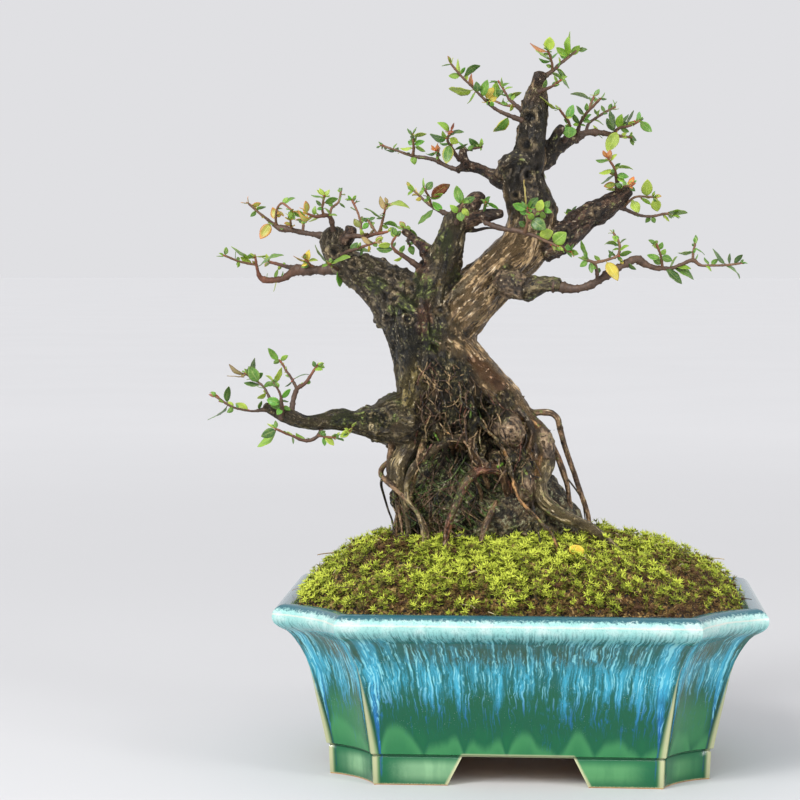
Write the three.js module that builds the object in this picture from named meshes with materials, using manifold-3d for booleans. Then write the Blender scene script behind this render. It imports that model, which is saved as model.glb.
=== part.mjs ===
// Chinese sweet plum bonsai in a glazed rectangular pot with indented corners.
// Millimetres, +Z up. The front of the pot faces -Y.
import * as THREE from "three";
import { mergeVertices } from "three/addons/utils/BufferGeometryUtils.js";
import Module from "manifold-3d";

const wasm = await Module();
wasm.setup();

// Driving sizes of the pot
const potLength = 250;
const potWidth = 190;
const potHeight = 90;
const cornerCut = 35; // how far each rim corner is cut back along both sides
const footHeight = 15;
const wallThickness = 6.5;
const floorThickness = 8;
const lipInset = 11.5; // from the outermost line of the lip to its inner edge
const archTop = 56; // opening between the feet, at the underside of the body
const archBottom = 72;
const sideArchTop = 40;
const sideArchBottom = 54;
const footRingWidth = 10;
const drainRadius = 9;
const drainSpacing = 96; // between the centres of the two drain holes
const nubRadius = 5; // small clay nubs under the body
const nubPlace = -47;
const screenSize = 30;
const screenThickness = 1.2;
const screenPitch = 8; // between the middles of its holes
const screenGap = 5;

// Driving sizes of the planting
const clearance = 0.3; // between pieces that touch
const moundEdge = 88; // top of the moss at the lip
const moundRise = 30; // how far the middle of the moss stands above its edge
const moundCentre = { x: -14, y: 4 };
const mossDepth = 5;
const mossLump = 3.6;
const mossPitch = 16; // between the points of the moss outline
const mossGap = 1.6; // between the soil and the moss, whose faces aren't split alike
const leafThickness = 0.6;
const twigRadius = 0.6; // the thinnest twig that is modelled
const shortestLeaf = 6.9; // smaller leaves and buds are left out
const limbSpread = 2; // how far the limbs lean to the front and back, against their listed depth
const spraySpread = 1.6; // the same for a spray, against its own base

// Limbs are measured square on from the front, so a point that stands nearer to the viewer or
// further away is moved along its line of sight.
const viewer = { x: 20.7, y: -1200, z: 265 };

function place(x, z, depth = 0) {
  const k = 1 - depth / viewer.y;
  return new THREE.Vector3(viewer.x + (x - viewer.x) * k, depth, viewer.z + (z - viewer.z) * k);
}

// A repeatable series of numbers from 0 to 1
function seeded(seed) {
  let state = seed;
  return function next() {
    state = (Math.imul(state, 1664525) + 1013904223) >>> 0;
    return state / 4294967296;
  };
}

// Solids

function solidOf(vertices, triangles) {
  return new wasm.Manifold(
    new wasm.Mesh({
      numProp: 3,
      vertProperties: new Float32Array(vertices.flatMap((v) => [v.x, v.y, v.z])),
      triVerts: new Uint32Array(triangles.flat()),
    }),
  );
}

function solidOfGeometry(geometry) {
  const bare = geometry.clone();
  bare.deleteAttribute("normal");
  bare.deleteAttribute("uv");
  const merged = mergeVertices(bare, 1e-3);
  return new wasm.Manifold(
    new wasm.Mesh({
      numProp: 3,
      vertProperties: merged.attributes.position.array,
      triVerts: new Uint32Array(merged.index.array),
    }),
  );
}

// Skin over a stack of closed rings with the same number of points, lowest ring first and each
// ring anticlockwise seen from its far side, with a fan at both ends.
function skin(rings) {
  const count = rings[0].length;
  const vertices = rings.flat();
  const triangles = [];
  for (let level = 0; level < rings.length - 1; level += 1) {
    for (let i = 0; i < count; i += 1) {
      const a = level * count + i;
      const b = level * count + ((i + 1) % count);
      triangles.push([a, b, b + count], [a, b + count, a + count]);
    }
  }
  for (const last of [false, true]) {
    const ring = rings[last ? rings.length - 1 : 0];
    const start = last ? (rings.length - 1) * count : 0;
    const middle = new THREE.Vector3();
    ring.forEach((point) => middle.add(point));
    vertices.push(middle.divideScalar(count));
    const hub = vertices.length - 1;
    for (let i = 0; i < count; i += 1) {
      const a = start + i;
      const b = start + ((i + 1) % count);
      triangles.push(last ? [a, b, hub] : [b, a, hub]);
    }
  }
  return solidOf(vertices, triangles);
}

// Round tube along points [x, z, depth, radius], smoothed between them, with uneven bark when
// lumps is over 0.
function tube(points, sides, options = {}) {
  const { stepsEach = 1, grow = 0, lumps = 0, seed = 1 } = options;
  const curve = new THREE.CatmullRomCurve3(points.map(([x, z, depth]) => place(x, z, depth)));
  const steps = (points.length - 1) * stepsEach;
  const draw = seeded(seed);
  const rings = [];
  let side = new THREE.Vector3(0.31, 0.86, 0.41);
  for (let step = 0; step <= steps; step += 1) {
    const t = step / steps;
    const along = t * (points.length - 1);
    const before = Math.min(points.length - 2, Math.floor(along));
    const share = along - before;
    const radius = points[before][3] * (1 - share) + points[before + 1][3] * share;
    const middle = curve.getPoint(t);
    const direction = curve.getTangent(t);
    side = side.clone().addScaledVector(direction, -side.dot(direction)).normalize();
    const across = new THREE.Vector3().crossVectors(direction, side);
    const ring = [];
    for (let i = 0; i < sides; i += 1) {
      const angle = (2 * Math.PI * i) / sides;
      const reach = radius * (1 + lumps * (draw() - 0.5)) + grow;
      ring.push(
        middle
          .clone()
          .addScaledVector(side, Math.cos(angle) * reach)
          .addScaledVector(across, Math.sin(angle) * reach),
      );
    }
    rings.push(ring);
  }
  return skin(rings);
}

function join(solids) {
  return wasm.Manifold.union(solids);
}

// The largest body of a solid, so that no loose scrap stays
function mainBody(solid) {
  return solid.decompose().reduce((a, b) => (b.volume() > a.volume() ? b : a));
}

const bonsai = new THREE.Group();

function addNode(name, solid, material) {
  const mesh = mainBody(solid).getMesh();
  const positions = new Float32Array(mesh.numVert * 3);
  for (let i = 0; i < mesh.numVert; i += 1) {
    positions.set(mesh.vertProperties.subarray(i * mesh.numProp, i * mesh.numProp + 3), i * 3);
  }
  const geometry = new THREE.BufferGeometry();
  geometry.setAttribute("position", new THREE.BufferAttribute(positions, 3));
  geometry.setIndex(new THREE.BufferAttribute(mesh.triVerts, 1));
  geometry.computeVertexNormals();
  const node = new THREE.Mesh(geometry, new THREE.MeshStandardMaterial(material));
  node.name = name;
  bonsai.add(node);
  return node;
}

const glaze = { color: 0x3f9f96, roughness: 0.12, metalness: 0 };
const meshCloth = { color: 0x2a2c2b, roughness: 0.6, metalness: 0 };
const earth = { color: 0x3b3024, roughness: 0.95, metalness: 0 };
const mossGreen = { color: 0x8a9a2c, roughness: 0.9, metalness: 0 };
const bark = { color: 0x5b4a38, roughness: 0.75, metalness: 0 };
const foliage = { color: 0x5fa02c, roughness: 0.45, metalness: 0 };

// Pot

const cornerSteps = 4; // faces of a corner panel
const cutTaper = 0.38; // how much the corner cut shrinks as the body narrows
const wallTaper = 0.586; // and how much it shrinks through the wall
const panelBow = 0.15; // the corner panels curve in by this share of the cut

// Outline of the pot at a height, moved in from the rim by inset; inner wall faces are offset by
// depth from the outer ones.
function potOutline(inset, depth, z) {
  const halfLength = potLength / 2 - inset - depth;
  const halfWidth = potWidth / 2 - inset - depth;
  const cut = cornerCut - cutTaper * inset - wallTaper * depth;
  const bow = panelBow * cut;
  const corners = [
    [1, -1],
    [1, 1],
    [-1, 1],
    [-1, -1],
  ];
  const points = [];
  corners.forEach(([sx, sy], index) => {
    for (let i = 0; i <= cornerSteps; i += 1) {
      const t = index % 2 === 0 ? i / cornerSteps : 1 - i / cornerSteps;
      const push = (4 * bow * t * (1 - t)) / Math.SQRT2;
      const x = halfLength - cut * (1 - t) - push;
      const y = halfWidth - cut * t - push;
      points.push(new THREE.Vector3(sx * x, sy * y, z));
    }
    const next = corners[(index + 1) % 4];
    const alongX = sy === next[1];
    points.push(
      new THREE.Vector3(alongX ? 0 : sx * halfLength, alongX ? sy * halfWidth : 0, z),
    );
  });
  return points;
}

// Height and inset of the outer face, from the foot up to the top of the lip
const outerProfile = [
  [0, 28.6],
  [footHeight - 0.6, 28],
  [footHeight + 0.6, 26.6],
  [30, 24],
  [49, 20],
  [62, 16.2],
  [71, 11.4],
  [76, 7.6],
  [78.8, 3],
  [81, 0.6],
  [84, 0],
  [88, 1.6],
  [potHeight, 6.5],
];

// Inner face, from the floor up, as height, inset and wall depth
const floorTop = footHeight + floorThickness;
const innerProfile = [
  [floorTop, 25.4, wallThickness],
  [49, 20, wallThickness],
  [62, 16.2, wallThickness],
  [71, 11, wallThickness],
  [79, 6, wallThickness],
  [86, lipInset, 0.6],
  [89, 9.2, 0],
];

function box(length, width, height, x, y, z) {
  const block = new THREE.BoxGeometry(length, width, height);
  block.translate(x, y, z);
  return solidOfGeometry(block);
}

// Slanted-end gap between two feet, cut right through the foot ring
function footArch(top, bottom, reach, turned) {
  const shape = new THREE.Shape();
  shape.moveTo(-bottom / 2, -1);
  shape.lineTo(bottom / 2, -1);
  shape.lineTo(top / 2, footHeight - 0.01);
  shape.lineTo(-top / 2, footHeight - 0.01);
  shape.closePath();
  const prism = new THREE.ExtrudeGeometry(shape, { depth: 2 * reach, bevelEnabled: false, steps: 1 });
  prism.rotateX(Math.PI / 2);
  prism.translate(0, reach, 0);
  if (turned) {
    prism.rotateZ(Math.PI / 2);
  }
  return solidOfGeometry(prism);
}

function upright(radius, bottom, top, x, y) {
  const cylinder = new THREE.CylinderGeometry(radius, radius, top - bottom, 16);
  cylinder.rotateX(Math.PI / 2);
  cylinder.translate(x, y, (top + bottom) / 2);
  return solidOfGeometry(cylinder);
}

const drains = [
  { name: "left", x: -drainSpacing / 2 },
  { name: "right", x: drainSpacing / 2 },
];

function makePot() {
  const body = skin(outerProfile.map(([z, inset]) => potOutline(inset, 0, z)));
  const cavityRings = innerProfile.map(([z, inset, depth]) => potOutline(inset, depth, z));
  cavityRings.push(potOutline(8.6, 0, potHeight + 2));
  const cavity = skin(cavityRings);
  const underside = skin(
    [-1, footHeight].map((z) => potOutline(29.2, footRingWidth, z)),
  );
  let pot = body.subtract(join([cavity, underside]));
  pot = pot.subtract(footArch(archTop, archBottom, potWidth / 2, false));
  pot = pot.subtract(footArch(sideArchTop, sideArchBottom, potLength / 2, true));
  // Raised collars round the drain holes, and two clay nubs behind the gap of the front feet
  const collars = drains.map(({ x }) => upright(drainRadius + 4, footHeight - 3, footHeight + 1, x, 0));
  const nubs = [-3, 11].map((x) => {
    const nub = new THREE.SphereGeometry(nubRadius, 8, 6);
    nub.scale(1, 1, 0.7);
    nub.translate(x, nubPlace, footHeight);
    return solidOfGeometry(nub);
  });
  pot = join([pot, ...collars, ...nubs]);
  const holes = drains.map(({ x }) => upright(drainRadius, 0, floorTop + 5, x, 0));
  return pot.subtract(join(holes));
}

// Perforated plate over a drain hole
function makeScreen(x) {
  const height = floorTop + clearance + screenThickness / 2;
  const plate = box(screenSize, screenSize, screenThickness, x, 0, height);
  const holes = [];
  for (const i of [-0.5, 0.5]) {
    for (const j of [-0.5, 0.5]) {
      holes.push(box(screenGap, screenGap, 4, x + i * screenPitch, j * screenPitch, height));
    }
  }
  return plate.subtract(join(holes));
}

// Soil and moss

// Height of the planted surface, where reach runs from 0 at the middle to 1 at the lip
function moundHeight(reach) {
  return moundEdge + moundRise * (1 - reach ** 4);
}

// Cushions of moss, from about -1 to 1
function lumpAt(x, y) {
  return (
    0.6 * Math.sin(x * 0.29 + 1.3 * Math.sin(y * 0.17)) * Math.sin(y * 0.33 + 1.1 * Math.sin(x * 0.21)) +
    0.5 * Math.sin(x * 0.61 + y * 0.47) * Math.sin(y * 0.53 - x * 0.37)
  );
}

// A ring of the mound keeps the pot's outline at the lip and turns into an oval further in
function moundRing(edge, reach, height) {
  const halfLength = potLength / 2 - lipInset;
  const halfWidth = potWidth / 2 - lipInset;
  const oval = 1 - reach ** 3;
  return edge.map((point) => {
    const angle = Math.atan2(point.y, point.x);
    const span = 1 / Math.hypot(Math.cos(angle) / halfLength, Math.sin(angle) / halfWidth);
    const edgeX = point.x * (1 - oval) + Math.cos(angle) * span * oval;
    const edgeY = point.y * (1 - oval) + Math.sin(angle) * span * oval;
    const x = moundCentre.x + (edgeX - moundCentre.x) * reach;
    const y = moundCentre.y + (edgeY - moundCentre.y) * reach;
    return new THREE.Vector3(x, y, height(x, y));
  });
}

// The earth that stands up between the roots, as [x, z, depth, radius]
const earthCore = [
  [-18, 96, 4, 47],
  [-20, 112, 4, 43],
  [-24, 122, 4, 34],
  [-26, 131, 5, 31],
  [-29, 141, 3, 26],
  [-31, 152, 5, 25],
  [-33, 165, 4, 21],
  [-35, 177, 4, 15],
];

function makeCore(grow) {
  return tube(earthCore, 13, { grow, lumps: 0.3, seed: 5 });
}

const soilLevels = 5; // of the inner face, from the floor up
const soilReaches = [1, 0.84, 0.64, 0.52];
const mossReaches = [1, 0.93, 0.84, 0.74, 0.64, 0.52];

function makeSoil(tree, screens) {
  const soilGap = clearance + 0.1;
  const rings = innerProfile
    .slice(0, soilLevels)
    .map(([z, inset, depth], index) => potOutline(inset, depth + soilGap, index ? z : z + soilGap));
  const edge = potOutline(lipInset + 1, 0, 0);
  for (const reach of soilReaches) {
    rings.push(moundRing(edge, reach, () => moundHeight(reach) - mossDepth));
  }
  const soil = join([skin(rings), makeCore(0)]);
  return soil.subtract(join([tree, ...screens]));
}

// The same outline with points along its straight sides
function finerEdge(edge) {
  const points = [];
  edge.forEach((point, index) => {
    const next = edge[(index + 1) % edge.length];
    const pieces = Math.max(1, Math.round(point.distanceTo(next) / mossPitch));
    for (let i = 0; i < pieces; i += 1) {
      points.push(point.clone().lerp(next, i / pieces));
    }
  });
  return points;
}

// A layer with a lumpy top, cut round the roots and the earth between them
function makeMoss(tree) {
  const edge = finerEdge(potOutline(lipInset + 1, 0, 0));
  const bottom = soilReaches.map((reach) =>
    moundRing(edge, reach, () => moundHeight(reach) - mossDepth + mossGap),
  );
  const top = mossReaches.map((reach) =>
    moundRing(edge, reach, (x, y) => moundHeight(reach) + mossLump * lumpAt(x, y)),
  );
  const layer = skin([...bottom.reverse(), ...top]);
  return layer.subtract(join([tree, makeCore(clearance)]));
}

// Tree wood: every limb and root is a list of [x, z, depth, radius]

const trunk = [
  [-24, 92, 4, 10],
  [-26, 118, 4, 12],
  [-30, 146, 4, 14],
  [-34, 168, 3, 19],
  [-37, 182, 2, 25],
  [-39, 193, 1, 27],
  [-42, 206, 0, 24.5],
  [-45, 219, 0, 24],
  [-47, 231, 0, 27],
  [-50, 242, 0, 21],
  [-53, 249, 0, 12],
];

const limbs = [
  // right trunk, then the upper trunk up to its cut top
  [
    [-40, 232, -1, 20],
    [-31, 241, -2, 17.5],
    [-22, 250, -2, 15.5],
    [-9, 261, -2, 14],
    [1, 271, -1, 13.3],
    [5.5, 284, 0, 12.8],
    [3, 298, 0, 12.3],
    [1, 308, 0, 12.6],
    [4, 318, 0, 9.8],
    [5.5, 327, 0, 8],
    [5.8, 341, 0, 8],
    [6.8, 350, 0, 6.8],
    [8, 357, 0, 4.8],
    [9.4, 364, 0, 3.2],
  ],
  // right limb
  [
    [10, 271, 0, 10],
    [19, 275.5, 0, 8.2],
    [26, 280, 1, 7.2],
    [32, 286, 2, 7],
    [39, 289.5, 3, 6.2],
    [46, 293, 4, 5.4],
    [52, 297.5, 5, 4],
    [56, 300.5, 6, 2.6],
  ],
  // upper right branch and its fork
  [
    [4, 313, 2, 8],
    [11, 317.5, 4, 6],
    [18, 322.5, 7, 4],
    [26, 326.5, 10, 3],
    [31, 329.5, 12, 2.4],
  ],
  [
    [12, 320, 4, 3.6],
    [17, 328, 2, 3],
    [20.5, 333.5, 0, 2.2],
  ],
  // left upper branch and its upright stub
  [
    [-3, 303, 2, 7],
    [-12, 307, 4, 4.6],
    [-19, 310, 6, 2.9],
    [-27, 313, 8, 2.7],
    [-34, 311.5, 10, 1.7],
  ],
  [
    [-29, 312, 8, 2.4],
    [-30.6, 317, 8, 2.6],
    [-31.2, 323.5, 8, 1.8],
  ],
  // middle limb, its broken hook and its right stub
  [
    [-50, 240, -3, 17],
    [-46.5, 252, -5, 13],
    [-42.5, 263, -7, 9.6],
    [-39, 274, -9, 7.6],
    [-36, 284, -10, 7],
    [-34, 288, -10, 5.4],
  ],
  [
    [-34, 285, -10, 5.2],
    [-28, 291, -10, 4.6],
    [-24, 296, -11, 3.6],
    [-20.5, 296, -12, 2.4],
  ],
  [
    [-33, 283, -10, 5],
    [-24, 286, -12, 3.6],
    [-16, 288, -14, 3.4],
    [-10.5, 288, -15, 2.4],
  ],
  // thin twig from the middle limb, passing behind the centre spray
  [
    [-33, 280, -9, 1.6],
    [-26, 279.4, -10, 1.2],
    [-18, 280.8, -10, 0.9],
    [-10, 280.4, -11, 0.7],
  ],
  // thick twig stub left of the middle limb
  [
    [-49, 268, -6, 4],
    [-54.5, 273.5, -4, 2.2],
    [-62, 279.5, -2, 1.7],
  ],
  // left limb and its knob
  [
    [-50, 234, 0, 23],
    [-61, 241, 1, 19],
    [-71, 249.5, 2, 14.5],
    [-80, 256, 3, 11],
    [-88.5, 260, 4, 8.2],
    [-95, 264, 5, 7],
    [-98.5, 271, 6, 7.2],
    [-99.5, 278, 6, 5.6],
    [-100, 281, 6, 3],
  ],
  [
    [-96, 272, 5, 4],
    [-91, 276.5, 4, 3.4],
    [-89.5, 281, 4, 2.8],
  ],
  // lowest left branch
  [
    [-55, 182, -2, 13],
    [-67, 179.5, -4, 13.5],
    [-77, 178.5, -6, 9],
    [-88, 179, -8, 5.6],
    [-98, 180.2, -10, 5.2],
    [-106, 178.5, -11, 3.9],
    [-114, 178.3, -12, 3.4],
    [-122, 181, -13, 3.9],
    [-130, 184, -13, 3],
    [-136, 187, -14, 2],
  ],
  // burl and start of the lower right branch
  [
    [-10, 255, -8, 7],
    [0, 249.5, -12, 6.4],
    [7, 250, -14, 5.4],
    [13, 251.5, -15, 4.4],
    [20, 251.3, -16, 3.5],
  ],
];

const roots = [
  // right ridge of the trunk, running down to a shoulder
  [
    [-28, 216, -6, 10],
    [-17, 203, -8, 11],
    [-7, 191, -9, 11],
    [2, 181, -9, 8],
    [9, 170, -8, 6],
  ],
  // left column, splaying as it goes down
  [
    [-58, 214, -4, 7],
    [-59.5, 200, -6, 6.5],
    [-60, 186, -7, 7.5],
    [-61.5, 171, -9, 7],
    [-64.5, 159, -10, 6],
    [-65, 148, -12, 5],
    [-60, 134, -16, 3.8],
    [-55, 118, -20, 3.2],
    [-54, 104, -22, 2.6],
  ],
  [
    [-66, 160, -6, 4],
    [-72, 149, -4, 2.6],
    [-72.5, 135, -2, 2],
    [-69, 121, 0, 2],
    [-68, 108, 2, 1.6],
  ],
  // arch that leaves the middle and loops down to the left
  [
    [-24, 178, -14, 3.2],
    [-28, 172, -24, 3],
    [-37, 171, -27, 2.8],
    [-46, 168, -29, 2.5],
    [-55, 160, -27, 2.4],
    [-61, 149, -26, 2.2],
    [-61, 138, -26, 2],
    [-56, 124, -28, 1.8],
    [-54, 108, -28, 1.6],
  ],
  // small arch in front
  [
    [1, 147, -20, 2.8],
    [-5, 149.5, -23, 2.5],
    [-10, 155, -27, 2.6],
    [-19, 156, -30, 2.6],
    [-28, 151, -32, 2.5],
    [-34, 141, -33, 2.3],
    [-38, 129, -34, 2.1],
    [-40, 112, -34, 1.8],
  ],
  // strand down the middle
  [
    [-29, 194, -22, 3],
    [-26, 182, -26, 2.4],
    [-25.5, 170, -27, 2.2],
    [-24, 161, -28, 2],
    [-19, 154, -28, 1.8],
  ],
  // thin root slanting down to the right
  [
    [-25, 190, -19, 1.4],
    [-15, 173, -29, 1.2],
    [-6.5, 157, -32, 1.2],
    [-2, 143, -35, 1.2],
    [6, 129, -40, 1.2],
    [17, 114, -44, 1.2],
    [20, 106, -45, 1.2],
  ],
  // thick root at the right
  [
    [2, 178, -12, 6.5],
    [9, 163, -16, 5.5],
    [11, 152, -20, 5],
    [13, 141, -23, 4.6],
    [20, 134, -26, 4],
    [30, 128, -28, 3.4],
    [41, 121, -28, 2.9],
    [52, 112, -28, 2.4],
    [58, 104, -28, 2],
  ],
  // knotted lobes between the roots
  [
    [-12, 186, -14, 9],
    [-8, 175, -18, 8.6],
    [-4, 165, -18, 6],
    [1, 153, -20, 5],
    [2, 143, -20, 4],
    [2, 130, -20, 3],
  ],
  // air root standing clear on the right
  [
    [2, 186, -8, 3.4],
    [13, 186, -8, 2.1],
    [19, 183, -8, 2],
    [22, 171, -7, 1.9],
    [26.5, 156, -6, 1.9],
    [31.5, 141, -5, 1.9],
    [35.5, 127, -5, 1.9],
    [37, 110, -5, 1.6],
  ],
  [
    [-3, 190, -10, 4],
    [7, 179, -11, 2.6],
    [14, 169, -10, 2.3],
    [19, 156, -9, 2.2],
    [23, 143, -8, 2.2],
    [24, 128, -8, 2],
    [24, 112, -8, 1.8],
  ],
  // roots at the back and the sides
  [
    [-30, 190, 18, 8],
    [-26, 168, 26, 5],
    [-20, 146, 31, 4],
    [-14, 126, 38, 3.2],
    [-8, 108, 44, 2.6],
  ],
  [
    [-48, 192, 12, 8],
    [-54, 168, 18, 5.5],
    [-58, 146, 22, 4.2],
    [-64, 126, 28, 3.2],
    [-68, 106, 32, 2.6],
  ],
  [
    [-38, 186, 18, 6],
    [-42, 164, 25, 4],
    [-40, 142, 31, 3.2],
    [-44, 122, 38, 2.6],
    [-46, 106, 42, 2.2],
  ],
  [
    [-12, 192, 10, 8],
    [-2, 172, 16, 5.5],
    [4, 152, 21, 4.4],
    [14, 132, 27, 3.4],
    [26, 112, 32, 2.6],
  ],
];

function spreadLimb(points) {
  return points.map(([x, z, depth, radius]) => [x, z, depth * limbSpread, radius]);
}

function makeTree(grow) {
  const pieces = [tube(trunk, 12, { grow, lumps: 0.08, seed: 11 })];
  limbs.forEach((points, index) => {
    const sides = points[0][3] > 6 ? 8 : 6;
    pieces.push(tube(spreadLimb(points), sides, { grow, lumps: 0.12, seed: 20 + index }));
  });
  roots.forEach((points, index) => {
    const sides = points[0][3] > 4.5 ? 6 : 4;
    pieces.push(tube(points, sides, { grow, lumps: 0.12, seed: 60 + index }));
  });
  return join(pieces);
}

// Leafy sprays

// Every spray has its twigs, as lists of [x, z, depth, radius], and its leaves, as
// [base x, base z, tip x, tip z, width seen from the front, rise of the arch].
const sprays = [
  {
    name: "spray_low_left_tip",
    twigs: [
      [
        [-134, 186, -14, 1.4],
        [-141, 185, -16, 0.6],
        [-147, 186, -18, 0.6],
        [-153, 187.5, -20, 0.6],
        [-160.5, 192.5, -22, 0.6],
      ],
    ],
    leaves: [
      [-158.5, 191, -161.8, 194.5, 2],
      [-154.8, 189, -154, 198, 2.5],
      [-143, 186, -150.5, 189, 4],
      [-155, 187.8, -165, 180, 1.5, 1],
      [-138, 185.4, -136.8, 190.4, 1.6],
    ],
  },
  {
    name: "spray_low_left_fork",
    twigs: [
      [
        [-121, 184, -13, 1.8],
        [-120, 191, -11, 1.4],
        [-118, 196.5, -8, 1.2],
        [-113.5, 200, -6, 0.9],
        [-107.5, 209, -2, 0.6],
      ],
      [
        [-118, 196.5, -8, 1],
        [-121, 202, -4, 0.7],
        [-127, 211.5, 4, 0.6],
      ],
    ],
    leaves: [
      [-127, 211.5, -133.5, 218, 3.2],
      [-127, 211.5, -122.8, 214.3, 2.6],
      [-119.8, 202, -111.5, 204, 0.9, 1],
      [-121, 200.5, -124.4, 198, 1],
    ],
  },
  {
    name: "spray_low_left_middle",
    twigs: [
      [
        [-126, 181, -14, 1.8],
        [-126, 189, -18, 1],
        [-127.5, 195, -20, 0.6],
        [-130.5, 200.5, -22, 0.6],
      ],
    ],
    leaves: [
      [-129, 199, -126, 208, 3],
      [-126, 191.5, -121.3, 196.5, 2.6],
      [-126, 189, -134, 191, 4.6],
      [-126.3, 187, -132, 187.8, 3],
      [-126, 186.5, -128.6, 183, 3.2],
      [-126, 187.6, -121.4, 185.5, 2.4],
      [-130.2, 199.5, -134.5, 198.6, 2],
    ],
  },
  {
    name: "spray_low_left_outer",
    twigs: [
      [
        [-130.5, 185, -13, 1.6],
        [-133.5, 194, -10, 0.7],
        [-137, 199, -8, 0.6],
        [-145, 204.5, -5, 0.6],
      ],
    ],
    leaves: [
      [-138, 199.6, -143.4, 208.5, 6],
      [-141, 202, -140.4, 213, 2.2],
      [-144, 204, -154, 209.5, 2.4],
      [-144.6, 204.3, -155, 203.6, 1.8],
      [-137, 199, -146, 199.6, 1.8],
      [-136, 198, -130, 199.4, 2.6],
      [-134, 195, -139, 191.5, 2],
      [-140.5, 202, -136, 205, 3.2],
    ],
  },
  {
    name: "spray_low_left_under",
    twigs: [
      [
        [-105, 176.5, -12, 1.2],
        [-107, 172, -14, 1],
        [-113, 169.2, -15, 0.9],
        [-120, 171.5, -17, 0.7],
        [-129, 175.5, -20, 0.6],
      ],
      [
        [-107, 172, -14, 0.8],
        [-103, 171.5, -17, 0.6],
        [-97, 171, -19, 0.6],
      ],
    ],
    leaves: [
      [-128.5, 175.3, -137, 171.5, 5],
      [-129, 175.5, -138.6, 166, 5],
      [-113.5, 169.5, -118.6, 173.4, 1.8],
      [-107, 172, -103, 174.6, 2.8],
      [-103.5, 171.5, -98.6, 166.8, 3],
      [-104, 171.5, -103.4, 166.6, 2.4],
    ],
  },
  {
    name: "spray_low_left_inner",
    twigs: [
      [
        [-88, 178, -12, 1],
        [-89.5, 175, -14.5, 0.6],
        [-91, 174, -16, 0.6],
      ],
    ],
    leaves: [[-90, 175, -95.4, 171.2, 3.6]],
  },
  {
    name: "spray_left_horizontal",
    twigs: [
      [
        [-92, 261.5, 3, 3.6],
        [-100, 259.8, 3, 2.9],
        [-110, 259.2, 5, 2.5],
        [-117, 259.6, 7, 2.6],
        [-121, 257.6, 8, 2.1],
        [-125, 254.8, 9, 1.7],
        [-131, 253.8, 9, 1.5],
        [-137, 255, 8, 1.5],
        [-139, 260, 6, 0.9],
        [-140, 266, 4, 0.6],
      ],
      [
        [-118.5, 259.8, 8, 1.8],
        [-124, 261.3, 12, 1.1],
        [-132.5, 263.5, 16, 0.8],
      ],
      [
        [-139, 262, 6, 0.7],
        [-147, 263.2, 2, 0.6],
        [-156, 266.8, -3, 0.6],
      ],
      [
        [-109, 260, 5, 0.8],
        [-113.6, 264.6, 1, 0.6],
      ],
    ],
    leaves: [
      [-139.8, 265.6, -152.8, 271.6, 2.4],
      [-141, 262.6, -148, 266, 3],
      [-138.6, 261, -125, 267, 2.2],
      [-140, 266, -133.6, 266.6, 0.8],
      [-112.8, 263.8, -111.6, 270, 3.4],
      [-113.4, 264.4, -120, 266.6, 1.6],
      [-112.6, 263.8, -107, 264.4, 1.6],
      [-129.5, 254.8, -128, 259.6, 2.2],
      [-128.5, 253.4, -130.6, 248, 1],
    ],
  },
  {
    name: "spray_left_limb_front",
    twigs: [
      [
        [-96, 259, -1, 1.2],
        [-99, 261, -6, 0.8],
        [-101.5, 262.5, -9, 0.6],
      ],
    ],
    leaves: [
      [-101.5, 262.5, -108.2, 272.8, 1.8],
      [-101, 262.3, -89.6, 265.6, 2.6],
      [-97, 259.4, -95.6, 250.4, 3],
    ],
  },
  {
    name: "spray_knob_left",
    twigs: [
      [
        [-99, 276.5, 8, 3.2],
        [-106, 277.6, 10, 2],
        [-114, 279, 12, 1.5],
        [-121, 280.3, 13, 1.2],
        [-127, 281.5, 14, 1.9],
        [-131, 284, 14, 1],
        [-137, 288.5, 13, 0.7],
        [-143.5, 294.2, 12, 0.6],
      ],
      [
        [-129, 283, 14, 0.8],
        [-129, 290, 10, 0.6],
        [-126, 294.5, 6, 0.6],
        [-120.5, 290.4, 3, 0.6],
      ],
      [
        [-115, 279.5, 12, 0.9],
        [-114.6, 285, 17, 0.6],
      ],
      [
        [-121, 281, 13, 0.8],
        [-121.5, 286, 9, 0.6],
      ],
    ],
    leaves: [
      [-131.6, 284.4, -137.4, 275.6, 6],
      [-129, 285.4, -131, 292.4, 4.4],
      [-129, 287.8, -126.4, 288.2, 2.2],
      [-140, 291, -134.4, 292.6, 1.4],
      [-139.5, 290.6, -142.6, 287.4, 2],
      [-142, 292.8, -137, 294.6, 2.2],
      [-126, 294.5, -122.6, 297.4, 2.2],
      [-125, 294, -119, 297.2, 1.8],
      [-120.6, 290.5, -113.4, 287, 3.8],
      [-121, 290.6, -119.4, 285.6, 2],
      [-121.4, 285.4, -122.6, 290, 1.6],
      [-114.8, 284, -117.6, 286.2, 1.4],
    ],
  },
  {
    name: "spray_knob_top",
    twigs: [
      [
        [-98.5, 277, 4, 1.9],
        [-99.8, 285, 1, 1.4],
        [-102, 288.2, -1, 1.2],
        [-108, 287.4, -4, 0.8],
        [-112.6, 289, -6, 0.6],
      ],
      [
        [-101, 287, -1, 0.9],
        [-99.6, 292, 3, 0.7],
        [-96, 295, 6, 0.6],
        [-95, 300, 8, 0.6],
      ],
      [
        [-104, 288, -2, 0.8],
        [-104.6, 293, -6, 0.6],
        [-103.6, 298, -9, 0.6],
      ],
    ],
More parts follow.
